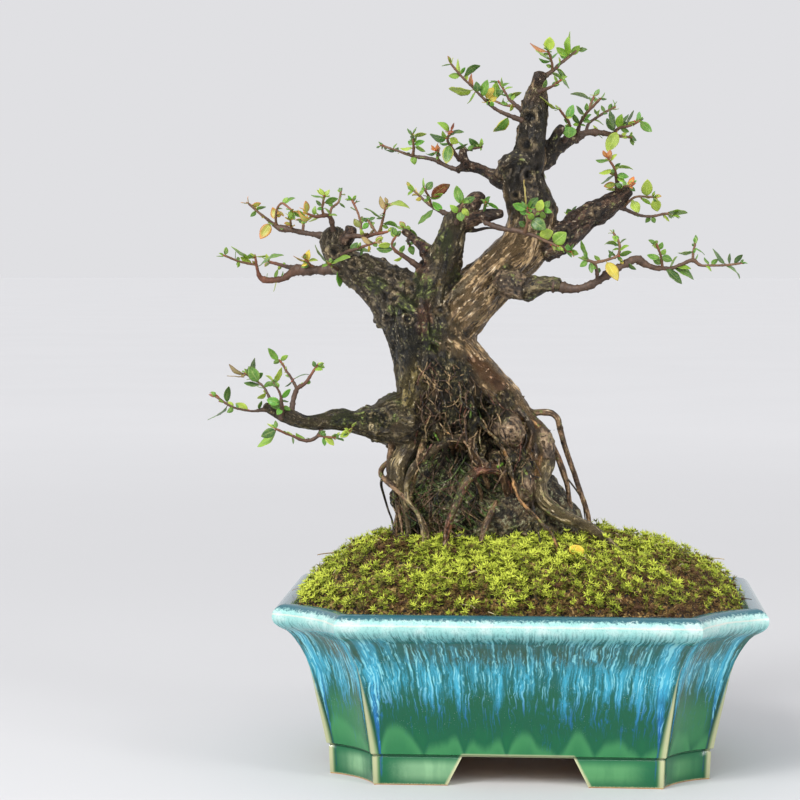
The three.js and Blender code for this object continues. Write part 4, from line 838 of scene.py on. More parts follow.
def earthFlat(z):
    # the earth is not as deep as it is wide, least of all at its foot
    return 0.66 + 0.2 * ease(z, 117, 138)


def flatten(y, z):
    return mound["earthMiddle"] + (y - mound["earthMiddle"]) * earthFlat(z)


def moundHeight(reach):
    return mound["edge"] + mound["rise"] * (1 - reach**4)


def moundPoint(edge, reach):
    # edge points of the planted surface, moved in; reach is 1 at the lip and 0 in the middle
    halfLength = pot["length"] / 2 - mound["lipInset"]
    halfWidth = pot["width"] / 2 - mound["lipInset"]
    oval = np.asarray(1 - reach**3)
    angle = np.arctan2(edge[:, 1], edge[:, 0])
    span = 1 / np.hypot(np.cos(angle) / halfLength, np.sin(angle) / halfWidth)
    x = edge[:, 0] * (1 - oval) + np.cos(angle) * span * oval
    y = edge[:, 1] * (1 - oval) + np.sin(angle) * span * oval
    cx, cy = mound["centre"]
    return cx + (x - cx) * reach, cy + (y - cy) * reach


def lumpAt(x, y):
    # cushions of moss, from about -1 to 1
    slow = np.sin(x * 0.29 + 1.3 * np.sin(y * 0.17)) * np.sin(y * 0.33 + 1.1 * np.sin(x * 0.21))
    return 0.6 * slow + 0.5 * np.sin(x * 0.61 + y * 0.47) * np.sin(y * 0.53 - x * 0.37)


def finerEdge(points, spacing):
    ahead = np.roll(points, -1, axis=0)
    parts = []
    for a, b in zip(points, ahead):
        pieces = max(1, round(np.linalg.norm(b - a) / spacing))
        parts.append(a + (b - a) * (np.arange(pieces) / pieces)[:, None])
    return np.vstack(parts)


def makeSoil():
    shape = Shape()
    rings = [potOutline(inset, depth + 0.5, max(z, mound["floor"]))
             for z, inset, depth in innerProfile[:4:-1]]
    edge = potOutline(mound["lipInset"] + 1, 0, 0)
    for reach in (1, 0.84, 0.64, 0.4):
        x, y = moundPoint(edge, reach)
        rings.append(np.column_stack((x, y, np.full(len(x), moundHeight(reach) - mound["depth"]))))
    hubs = [(0, 0, mound["floor"]), (*mound["centre"], moundHeight(0.2) - mound["depth"])]
    shape.add(np.vstack(rings + [hubs]), ringFaces(len(rings), len(rings[0])), root=0)
    route = woodRoute(earthCore, 1.1)
    sides = 150
    core, faces = sweep(route, sides)
    core[:, 1] = flatten(core[:, 1], core[:, 2])
    shape.add(core, faces, root=1)
    # crumbs and small stones pressed into it
    rng = random.Random(4)
    for _ in range(mound["crumbs"]):
        level = rng.randrange(14, len(route) - 4)
        angle = rng.uniform(0, 2 * math.pi)
        x, y, z, r = route[level]
        out = np.array([math.cos(angle), math.sin(angle), 0])
        size = rng.uniform(*mound["crumbSize"])
        turn = np.linspace(-1.35, 1.35, 5)
        centre = np.array([x, y, z]) + out * (r - 0.2 * size)
        centre[1] = flatten(centre[1], z)
        bead = np.column_stack((
            centre[0] + np.zeros(5), centre[1] + np.zeros(5), centre[2] + size * np.sin(turn),
            size * np.cos(turn) * rng.uniform(0.8, 1.3)))
        points, faces = sweep(bead, 7)
        points += 0.35 * size * np.column_stack([drift(points, size, 40 + axis) for axis in range(3)])
        shape.add(points, faces, root=1)
    soil = shape.build("rootEarth")
    points, normals = readPoints(soil.data)
    mask = (points[:, 2] > 90) & (np.concatenate(shape.marks["root"]) > 0.5)
    rise = 2.2 * roughen(points, 14, 3, 3) + 1.5 * roughen(points, 3.6, 9, 2)
    points += normals * (rise * mask * ease(points[:, 2], 96, 112))[:, None]
    writePoints(soil.data, points)
    return soil


def earthFinish():
    f = Finish("rootEarth")
    where = f.place()
    x, _, _ = f.parts(where)
    coarse = f.noise(where, 11, 5.0, 0.62)
    grit = f.noise(where, 2.1, 4.0, 0.7)
    crumbs = f.cells(where, 1.9)
    colour = f.ramp(coarse, (0.3, shade(16, 12, 9)), (0.45, shade(62, 50, 35)), (0.58, shade(112, 96, 68)),
                    (0.72, shade(158, 142, 108)))
    # green film, more of it on the left where the light falls
    green = f.noise(where, 16, 4.0, 0.65) + (0.1 - (x + 42) * 0.004)
    green = green.between(0.44, 0.62) * f.noise(where, 3.2, 3.0).between(0.38, 0.56)
    film = f.ramp(f.noise(where, 2.6, 4.0, 0.7), (0.34, shade(26, 34, 12)), (0.47, shade(66, 82, 34)),
                  (0.55, shade(122, 150, 64)), (0.63, shade(186, 208, 118)))
    # dark hollows in the earth: painted shade, dipped in the relief too
    shadedHollows = f.noise(where, 6, 3.0, 0.6)
    colour = f.coats(
        colour,
        (green * 0.8, film),
        (grit.between(0.52, 0.6) * 0.8, shade(146, 146, 116)),
        (grit.between(0.6, 0.66) * 0.85, shade(182, 174, 136)),
        (grit.between(0.47, 0.38) * 0.9, shade(10, 8, 7)),
        # painted shade in the gaps between the crumbs
        (crumbs.between(0.5, 0.8) * 0.45, shade(8, 7, 6)),
        (shadedHollows.between(0.48, 0.36) * 0.85, shade(12, 10, 7)))
    relief = coarse * 2 + grit * 1.6 - crumbs * 0.7 + shadedHollows * 2
    return f.surface(BaseColor=colour, Roughness=0.45 + coarse * 0.4, SpecularIORLevel=0.35,
                     Normal=f.bump(relief, 1.2))


soilPiece = makeSoil()
settle(soilPiece, "soil", earthFinish(), "soil")
print("soil made")


# Moss: a lumpy mat, covered with small star-shaped plants

moss = {
    "matPitch": 1.7,
    "plantPitch": 2.42,
    "plantHeight": (2.4, 5.6),
    "starRadius": (1.5, 2.9),
    "unitRadius": 0.62,
    "bare": 0.34,
}


def patchOf(x, y):
    # how fresh the moss is, from 0 where it is brown to 1 where it is bright
    points = np.column_stack((x, y, np.zeros(len(x))))
    fresh = 0.52 + 0.45 * roughen(points, 30, 60, 2) + 0.42 * drift(points, 8, 66)
    nearLip = ease(y, -66, -80) * (0.55 + 0.4 * drift(points, 28, 68))
    return np.clip(fresh - 0.14 * nearLip, 0, 1)


def mossSurface(edge, reach):
    x, y = moundPoint(edge, reach)
    z = moundHeight(reach) + mound["lump"] * lumpAt(x, y)
    return x, y, z


def makeMossMat():
    edge = finerEdge(potOutline(mound["lipInset"] + 1, 0, 0)[:, :3], moss["matPitch"])
    top = []
    for reach in np.concatenate((np.linspace(1, 0.45, 46), np.linspace(0.4, 0.1, 6))):
        x, y, z = mossSurface(edge, reach)
        flat = np.column_stack((x, y, z))
        z = z + (0.9 * roughen(flat, 6, 70, 2) + 0.55 * drift(flat, 1.9, 75)) * ease(reach, 1.01, 0.97)
        top.append(np.column_stack((x, y, z)))
    skirt = [ring.copy() for ring in (top[0], top[0])]
    for ring, drop in zip(skirt, (4.5, 2.2)):
        ring[:, 2] -= drop
    rings = skirt + top
    shape = Shape()
    cx, cy = mound["centre"]
    hubs = [(cx, cy, 84), (cx, cy, moundHeight(0))]
    points = np.vstack(rings + [hubs])
    shape.add(points, ringFaces(len(rings), len(edge)), fresh=patchOf(points[:, 0], points[:, 1]))
    return shape.build("mossMat")


def insideEarth(points):
    # how far a point is inside the earth between the roots
    best = np.full(len(points), -99.0)
    for x, _, z, r in woodRoute(earthCore, 3):
        near = np.abs(points[:, 2] - z) < 3
        depth = r - np.hypot(points[:, 0] - x, (points[:, 1] - mound["earthMiddle"]) / earthFlat(z))
        best = np.where(near, np.maximum(best, depth), best)
    return best


def sprigTemplate(rng):
    # a short stem with two whorls of pointed leaves, one unit high
    points, faces, tips = [], [], []

    def spike(base, direction, length, width):
        side = np.cross(direction, (0, 0, 1.0))
        side = unit(side) if np.linalg.norm(side) > 1e-3 else np.array([1.0, 0, 0])
        lift = np.cross(side, direction)
        start = len(points)
        points.extend([base - side * width, base + side * width, base + lift * width * 0.7,
                       base + direction * length + np.array([0, 0, 0.1 * length])])
        faces.extend([(start, start + 1, start + 3), (start + 1, start + 2, start + 3),
                      (start + 2, start, start + 3), (start + 1, start, start + 2)])
        tips.extend([0.0, 0.0, 0.0, 1.0])

    for level, count, rise, length in ((0.55, 5, 0.1, 0.6), (1.0, 7, 0.55, 0.68)):
        turn = rng.uniform(0, 6.28)
        for i in range(count):
            angle = turn + 2 * math.pi * i / count + rng.uniform(-0.3, 0.3)
            tilt = rise + rng.uniform(-0.2, 0.25)
            flat = math.cos(tilt)
            direction = np.array([math.cos(angle) * flat, math.sin(angle) * flat, math.sin(tilt)])
            spike(np.array([0, 0, level]), direction, length * rng.uniform(0.8, 1.2), 0.13)
    spike(np.array([0, 0, 0.0]), np.array([0.02, 0.0, 1.0]), 1.05, 0.09)
    return np.array(points), np.array(faces), np.array(tips)


def scatterPlants():
    # places for the moss plants, about evenly spaced on the mound and the foot of the earth
    rng = np.random.default_rng(21)
    edge = finerEdge(potOutline(mound["lipInset"] + 2, 0, 0), 1.0)
    places = []
    reach = 0.985
    while reach > 0.2:
        x, y, z = mossSurface(edge, np.full(len(edge), reach))
        ring = np.column_stack((x, y, z))
        gaps = np.linalg.norm(np.roll(ring, -1, axis=0) - ring, axis=1)
        total = gaps.sum()
        count = int(total / moss["plantPitch"])
        at = (np.arange(count) + rng.uniform(0, 1, count)) / count * total
        index = np.searchsorted(np.cumsum(gaps), at) % len(edge)
        jitter = reach + rng.uniform(-0.012, 0.012, count)
        x, y, z = mossSurface(edge[index], np.minimum(jitter, 0.99))
        places.append(np.column_stack((x, y, z)))
        reach -= moss["plantPitch"] / 105
    places = np.vstack(places)
    # bare gaps between the clumps
    crowd = 0.5 + 0.55 * drift(places, 8, 91) + 0.4 * drift(places, 3.4, 92)
    crowd += 0.6 * ease(places[:, 1], -62, -78)
    kept = (insideEarth(places) < 1) & (crowd > moss["bare"] * rng.uniform(0.4, 1.3, len(places)))
    return places[kept]


def makeMossPlants(places, name, seed, tall):
    rng = np.random.default_rng(seed)
    drawer = random.Random(seed)
    templates = [sprigTemplate(drawer) for _ in range(8)]
    fresh = patchOf(places[:, 0], places[:, 1])
    shape = Shape()
    for kind, (points, faces, tips) in enumerate(templates):
        chosen = places[kind::8]
        count = len(chosen)
        freshness = np.clip(fresh[kind::8] + rng.normal(0, 0.27, count), 0, 1)
        clump = 1 + 0.35 * drift(chosen, 9, 95)
        height = rng.uniform(*moss["plantHeight"], count) * (0.6 + 0.55 * freshness) * clump
        width = rng.uniform(*moss["starRadius"], count) * (0.8 + 0.35 * freshness)
        turn = rng.uniform(0, 2 * math.pi, count)
        outward = chosen[:, :2] - np.array(mound["centre"])
        lean = 0.5 * outward / np.array([90, 62]) + rng.normal(0, 0.42, (count, 2))
        axis = unit(np.column_stack((lean, np.ones(count))))
        first = unit(np.cross(axis, np.column_stack((np.cos(turn), np.sin(turn), np.zeros(count)))))
        second = np.cross(axis, first)
        flat = points[None] * (width[:, None, None] / moss["unitRadius"])
        star = np.maximum(points[:, 2] - 1, 0)
        tallness = np.minimum(points[:, 2], 1)[None] * height[:, None]
        tallness = tallness + star[None] * width[:, None] / moss["unitRadius"]
        moved = flat[..., 0:1] * first[:, None] + flat[..., 1:2] * second[:, None]
        moved += tallness[..., None] * axis[:, None] + chosen[:, None] - np.array([0, 0, 0.6])
        offsets = (np.arange(count) * len(points))[:, None, None]
        allFaces = (faces[None] + offsets).reshape(-1, 3)
        shape.add(moved.reshape(-1, 3), allFaces,
                  fresh=np.repeat(freshness, len(points)),
                  tip=np.tile(tips * 0.6 + 0.4 * np.minimum(points[:, 2], 1), count))
    for x, z in tall:
        # a few long leafy shoots
        foot = plantSeenAt(places, x, z)
        lean = np.array([rng.uniform(-0.5, 0.5), rng.uniform(-0.3, 0.3), 1])
        for level in range(5):
            points, faces, tips = templates[level]
            scale = np.array([2.2, 2.2, 2.6]) * (1 - 0.1 * level)
            shape.add(points * scale + foot + lean * 2.3 * level, faces, fresh=0.75, tip=0.3 + 0.7 * tips)
    return shape.build(name)


def mossFinish(name, plants):
    f = Finish(name)
    where = f.place()
    fresh = f.mark("fresh") + (f.noise(where, 3.4, 3.0, 0.6) - 0.5) * 0.8
    bright = f.ramp(fresh, (0.06, shade(92, 58, 28)), (0.34, shade(122, 88, 36)), (0.5, shade(112, 110, 28)),
                    (0.68, shade(150, 168, 28)), (0.95, shade(222, 234, 80)))
    if plants:
        tip = f.mark("tip")
        # lower part of each plant browner and darker: brown stems, and painted shade deep in the mat
        lower = f.mix(0.92, f.mix(0.3, bright, shade(112, 76, 36)), shade(88, 70, 44), "MULTIPLY")
        colour = f.mix(tip.between(0.2, 0.85), lower, bright)
        relief = f.noise(where, 0.5, 2.0)
        return f.surface(BaseColor=colour, Roughness=0.55 + relief * 0.2, Normal=f.bump(relief, 0.1))
    # dead moss and earth on the mat; its darkest stops are painted shade in the gaps between the plants
    litter = f.noise(where, 1.9, 4.0, 0.7)
    colour = f.ramp(litter, (0.4, shade(12, 9, 6)), (0.48, shade(60, 42, 20)), (0.56, shade(120, 92, 44)),
                    (0.64, shade(190, 160, 100)))
    colour = f.mix(f.noise(where, 1.5, 3.0).between(0.5, 0.6) * 0.6, colour, bright)
    return f.surface(BaseColor=colour, Roughness=0.95,
                     Normal=f.bump(litter + f.cells(where, 1.3) * 0.7, 1.2))


litter = {
    "stems": 240,
    "stemLength": (5, 15),
    "stemRadius": (0.2, 0.4),
    "tones": (shade(196, 178, 138), shade(150, 120, 76), shade(84, 60, 36), shade(52, 36, 24)),
    "fallenLeaf": (28, 109),
    "leafTone": shade(232, 196, 62),
    "tallSprigs": ((44, 118), (63, 112), (-70, 116), (-96, 112), (12, 108), (-49, 107)),
}


def plantSeenAt(places, x, z):
    # the foremost place in the moss that is seen at x, z
    seenX, seenZ = seen(places)
    away = np.hypot(seenX - x, seenZ - z)
    near = np.flatnonzero(away < away.min() + 2)
    return places[near[places[near, 1].argmin()]]


def makeLitter(places):
    # dead stems that lie over the moss, the ends of some of them up in the air
    rng = np.random.default_rng(77)
    shape = Shape()
    for start in places[rng.choice(len(places), litter["stems"], replace=False)]:
        heading = rng.uniform(0, 2 * math.pi)
        length = rng.uniform(*litter["stemLength"])
        rise = rng.uniform(0.0, 0.2) * length
        t = np.linspace(0, 1, 7)
        bend = rng.uniform(-1.3, 1.3)
        turn = heading + bend * t
        x = start[0] + np.cumsum(np.cos(turn)) * length / 7
        y = start[1] + np.cumsum(np.sin(turn)) * length / 7
        z = start[2] + 3.0 + rise * np.sin(math.pi * t * rng.uniform(0.5, 1)) - 1.5 * t
        radius = rng.uniform(*litter["stemRadius"]) * (1 - 0.4 * t)
        points, faces = sweep(np.column_stack((x, y, z, radius)), 5)
        tone = litter["tones"][rng.choice(4, p=(0.2, 0.25, 0.35, 0.2))]
        shape.add(points, faces, tint=np.array(tone))
    # a yellow leaf that has dropped on the moss
    foot = plantSeenAt(places, *litter["fallenLeaf"])
    t = np.linspace(-1, 1, 11)
    radius = 2.7 * np.sqrt(1 - t * t) + 0.05
    height = foot[2] + 4.2 + 0.9 * t * t - 0.5 * t
    route = np.column_stack((foot[0] + 3.8 * t, np.full(11, foot[1]), height, radius))
    points, faces = sweep(route, 12)
    points[:, 1] = foot[1] - 2 + (points[:, 1] - foot[1]) * 0.2
    shape.add(points, faces, tint=np.array(litter["leafTone"]))
    return shape.build("mossLitter")


def litterFinish():
    f = Finish("mossLitter")
    where = f.place()
    tint = f.mark("tint", "Color")
    blotches = f.noise(where, 1.8, 3.0, 0.6)
    rings = f.noise(where, 0.4, 2.0)
    dark = f.mix(0.6, tint, shade(90, 66, 44), "MULTIPLY")
    colour = f.mix(blotches.between(0.45, 0.65) * 0.5, tint, dark)
    colour = f.mix(rings.between(0.55, 0.7) * 0.3, colour, shade(214, 198, 160))
    return f.surface(BaseColor=colour, Roughness=0.6 + blotches * 0.25, Normal=f.bump(rings + blotches, 0.1))


mossMat = makeMossMat()
settle(mossMat, "moss", mossFinish("mossMat", False), "moss")
plantPlaces = scatterPlants()
mossPlantFinish = mossFinish("mossPlants", True)
print("moss plants", len(plantPlaces))
for index in range(2):
    tall = litter["tallSprigs"][index::2]
    plants = makeMossPlants(plantPlaces[index::2], f"mossPlants{index + 1}", 50 + index, tall)
    settle(plants, "moss", mossPlantFinish)
litterPiece = makeLitter(plantPlaces)
settle(litterPiece, "moss", litterFinish())
print("moss made")


# Tree wood. Every strand is a list of (x, z, depth, radius) as seen from the front

tree = {
    "limbSpread": 2,
    "voxel": 0.78,
    "smooth": 2,
    "triangles": 176000,
    "tangle": 90,
    "knotRings": ((1.15, 0.24, shade(20, 17, 11), 0.75), (0.66, 0.24, shade(146, 128, 96), 0.65)),
}
trunk = [
    (-24, 92, 4, 10), (-26, 118, 4, 12), (-30, 146, 4, 14), (-34, 168, 3, 18), (-37, 182, 2, 23.5),
    (-39.5, 193, 1, 25), (-43, 206, 0, 22.5), (-46, 219, 0, 22), (-47.5, 231, 0, 25), (-50, 241, 0, 20),
    (-53, 248, 0, 11),
]
limbs = {
    "rightTrunk": [
        (-41, 231, -1, 18.5), (-32, 239.5, -2, 15.6), (-23, 248, -2, 13.8), (-10, 260, -2, 12.4),
        (0.5, 270.5, -1, 12), (5, 283, 0, 11.6), (5, 291, 0, 11.4), (1.5, 300, 0, 10.8),
        (0.5, 309, 0, 10), (3, 318, 0, 8.8), (4.6, 326, 0, 7.4), (6.2, 338, 0, 6.4),
        (7.2, 348, 0, 5.8), (8.4, 355, 0, 4), (9.4, 361.5, 0, 3.4),
    ],
    "rightLimb": [
        (10, 271, 0, 10), (19, 275.5, 0, 8.2), (26, 280, 1, 7.2), (32, 286, 2, 7), (39, 289.5, 3, 6.2),
        (46, 293, 4, 5.4), (52, 297.5, 5, 4), (56, 300.5, 6, 2.6),
    ],
    "upperRight": [
        (4, 313, 2, 7), (11, 317.5, 4, 5.2), (18, 322.5, 7, 3.8), (25, 326.4, 10, 2.8), (31, 329.5, 12, 2.1),
    ],
    "upperRightFork": [(12, 320, 4, 3.6), (17, 328, 2, 3), (20.5, 333.5, 0, 2.2)],
    "leftUpper": [
        (-3, 303, 2, 7), (-12, 307, 4, 4.6), (-19, 310, 6, 2.9), (-27, 313, 8, 2.7),
        (-34, 311.5, 10, 1.7),
    ],
    "leftUpperStub": [(-29, 312, 8, 2.4), (-30.6, 317, 8, 2.6), (-31.2, 323.5, 8, 1.8)],
    "middleLimb": [
        (-50, 240, -3, 16), (-46, 252, -5, 12), (-41.5, 263, -7, 8.8), (-37.5, 274, -9, 6.8),
        (-35, 283, -10, 6.2), (-33.5, 287, -10, 4.8),
    ],
    "brokenHook": [
        (-34, 285, -10, 5.2), (-28, 291, -10, 4.6), (-24, 296, -11, 3.6), (-20.5, 296, -12, 2.4),
    ],
    "middleStub": [(-33, 283, -10, 5), (-24, 286, -12, 3.6), (-16, 288, -14, 3.4), (-10.5, 288, -15, 2.4)],
    "centreTwig": [
        (-33, 280, -9, 1.6), (-26, 279.4, -10, 1.2), (-18, 280.8, -10, 0.9), (-10, 280.4, -11, 0.7),
    ],
    "leftStub": [(-49, 268, -6, 4), (-54.5, 273.5, -4, 2.2), (-62, 279.5, -2, 1.7)],
    "leftLimb": [
        (-50, 234, 0, 21.5), (-61, 240.5, 1, 17.5), (-71, 248.5, 2, 13), (-80, 255, 3, 10),
        (-88.5, 260, 4, 8.2), (-95, 264, 5, 7), (-98.5, 271, 6, 7.2), (-99.5, 278, 6, 5.6),
        (-100, 281, 6, 3),
    ],
    "leftKnob": [(-96, 272, 5, 4), (-91, 276.5, 4, 3.4), (-89.5, 281, 4, 2.8)],
    "lowestLeft": [
        (-55, 182, -2, 13), (-67, 179.5, -4, 13.5), (-77, 178.5, -6, 9), (-88, 179, -8, 5.6),
        (-98, 180.2, -10, 5.2), (-106, 178.5, -11, 3.9), (-114, 178.3, -12, 3.4), (-122, 181, -13, 3.9),
        (-130, 184, -13, 3), (-136, 187, -14, 2),
    ],
    "burlBranch": [
        (-10, 255, -8, 7), (0, 249.5, -12, 6.4), (7, 250, -14, 5.4), (13, 251.5, -15, 4.4),
        (20, 251.3, -16, 3.5),
    ],
}
roots = {
    "ridge": [
        (-33, 219, -5, 8.5), (-22, 205.5, -7, 8.6), (-11, 194, -9, 8.6), (-3, 185, -9, 7),
        (4, 175, -8, 5.5),
    ],
    "leftColumn": [
        (-57.5, 214, -4, 6), (-58, 200, -6, 6), (-57.5, 186, -7, 6.5), (-57, 172, -9, 5.8),
        (-61, 162.5, -11, 5), (-65, 155.5, -12, 4.3), (-65, 148.5, -13, 3.7), (-62.8, 141, -14, 2.4),
        (-60.3, 132, -15, 1.7), (-59.4, 120, -16, 1.5), (-59, 106, -16, 1.4),
    ],
    "outerProp": [
        (-61, 164, -9, 2.6), (-68.5, 158.6, -7, 1.7), (-73.4, 154.4, -7, 1.6), (-74, 150.4, -9, 1.5),
        (-70.3, 146.3, -15, 1.4), (-65.3, 142, -19, 1.3), (-60.3, 137, -21, 1.2),
        (-54.4, 130.5, -25, 1.2), (-50, 121, -28, 1.1), (-48, 106, -30, 1),
    ],
    "bigArch": [
        (-24, 178, -14, 2.6), (-27, 171.4, -23, 2.4), (-33, 169.9, -28, 2.4), (-39.5, 169.2, -30, 2.4),
        (-45, 165.4, -31, 2.4), (-50, 161.3, -30, 2.3), (-55, 156.8, -29, 2.2), (-58.6, 151.3, -27, 2),
        (-60.6, 144.4, -25, 1.6), (-60, 137.5, -25, 1.4), (-55.5, 131, -27, 1.2), (-52, 121, -29, 1.1),
        (-51, 106, -30, 1),
    ],
    "frontArch": [
        (-2, 139, -20, 3), (-7.5, 145, -25, 2.8), (-9.6, 150.6, -29, 2.7), (-12.5, 153.4, -31, 2.7),
        (-17, 154, -33, 2.7), (-22, 153.4, -34, 2.7), (-26, 150.8, -35, 2.7), (-29, 147, -36, 2.6),
        (-31.5, 142, -37, 2.5), (-34, 136, -38, 2.3), (-36.5, 130, -39, 2.2), (-38.2, 124, -39, 2.2),
        (-39.5, 117, -38, 2), (-40, 104, -38, 2),
    ],
    "middleStrand": [
        (-29, 194, -22, 2.5), (-27.5, 185, -25, 2.1), (-25.8, 179, -27, 2.2), (-25, 173, -28, 2.1),
        (-26.1, 168, -28, 1.9), (-26, 162.5, -29, 1.8), (-24, 158, -30, 1.5), (-20.5, 154, -30, 1.2),
    ],
    "slantingRoot": [
        (-27, 189, -22, 1), (-25.8, 185, -25, 1), (-22.4, 179.2, -29, 1), (-17.4, 173.8, -33, 1),
        (-13.2, 170, -35, 1), (-9.8, 165, -35, 1), (-6.9, 158.2, -34, 1), (-5.2, 151.5, -34, 1),
        (-3.5, 144.8, -35, 1), (-1, 138.1, -38, 1), (3.6, 133, -41, 1), (9.5, 127, -43, 1),
        (15.4, 121, -45, 0.9), (18.7, 114, -46, 0.9), (20, 106, -46, 0.9),
    ],
    "thickRoot": [
        (4, 174, -12, 5.4), (11, 166, -14, 4.9), (13.5, 158.5, -17, 4.5), (11.4, 152, -20, 4.1),
        (9.8, 145.6, -23, 3.8), (11.2, 139, -25, 3.8), (15.4, 134, -26, 3.6), (21.2, 130, -28, 3.4),
        (28.8, 126.5, -28, 3), (35.5, 123.5, -28, 2.7), (41.4, 119.6, -28, 2.3), (47, 115.5, -28, 1.9),
        (57, 106, -28, 1.5),
    ],
    "knottedLobes": [
        (-13, 186, -14, 7.6), (-9, 176, -18, 8), (-5, 166, -18, 5.6), (0.5, 155, -20, 4.4),
        (1.5, 148, -23, 5.2), (2.5, 141, -24, 4.8), (3, 132, -24, 3.8), (3, 117, -27, 4), (2, 104, -30, 3.4),
    ],
    "airRoot": [
        (1, 185, -8, 3), (6, 184, -8, 2), (11.2, 184.2, -8, 2), (16, 183.7, -8, 1.9),
        (19, 181, -8, 1.8), (20.4, 175.5, -7, 1.7), (22.4, 168, -7, 1.6), (25, 160, -6, 1.5),
        (28, 151.5, -5, 1.5), (30.6, 143.8, -5, 1.5), (33, 137, -5, 1.4), (35.2, 130, -5, 1.4),
        (36.4, 122, -5, 1.3), (37, 108, -5, 1.2),
    ],
    "innerAirRoot": [
        (-2, 187, -10, 3.2), (6, 180.6, -11, 2.3), (12, 175, -11, 2.1), (14.5, 170, -10, 2),
        (17.9, 163.3, -9, 1.9), (20.4, 157.4, -9, 1.8), (22.5, 151.5, -8, 1.7), (24.2, 145.6, -8, 1.5),
        (25.2, 139, -8, 1.4), (26.3, 131, -8, 1.3), (27, 120, -8, 1.3), (27, 106, -8, 1.2),
    ],
    "orangeRoot": [
        (-2, 181.5, -15, 1), (4, 180, -16, 1), (8.6, 177, -16, 1), (11, 172, -16, 0.9),
        (11.6, 166, -17, 0.8), (10, 158, -22, 0.7), (6, 149, -26, 0.6),
    ],
    "darkRoot": [
        (-8, 190, -15, 1.5), (0, 184, -17, 1.6), (4.6, 177.5, -18, 1.5), (6.4, 170, -18, 1.3),
        (7.6, 161, -20, 1.1), (7, 150, -24, 1), (6, 138, -27, 0.9), (9, 122, -34, 0.9), (11, 106, -38, 0.8),
    ],
    "lowLeft": [
        (-66, 140, -8, 1.1), (-64.5, 130.5, -10, 1), (-62.8, 121, -12, 0.9), (-62, 106, -12, 0.9),
    ],
    "lowMiddle": [
        (-13, 137, -27, 1.4), (-16, 130, -33, 1.9), (-19.5, 122, -37, 1.8), (-21.5, 113, -39, 1.2),
        (-22, 104, -40, 1),
    ],
    "backMiddle": [
        (-30, 190, 18, 8), (-26, 168, 26, 5), (-20, 146, 31, 4), (-14, 126, 38, 3.2), (-8, 106, 44, 2.6),
    ],
    "backLeft": [
        (-48, 192, 12, 8), (-54, 168, 18, 5.5), (-58, 146, 22, 4.2), (-64, 126, 28, 3.2),
        (-68, 104, 32, 2.6),
    ],
    "backCentre": [
        (-38, 186, 18, 6), (-42, 164, 25, 4), (-40, 142, 31, 3.2), (-44, 122, 38, 2.6),
        (-46, 104, 42, 2.2),
    ],
    "backRight": [
        (-14, 182, 8, 6), (-2, 162, 16, 4.4), (8, 142, 22, 3.4), (18, 124, 26, 2.8), (26, 104, 30, 2.4),
    ],
}


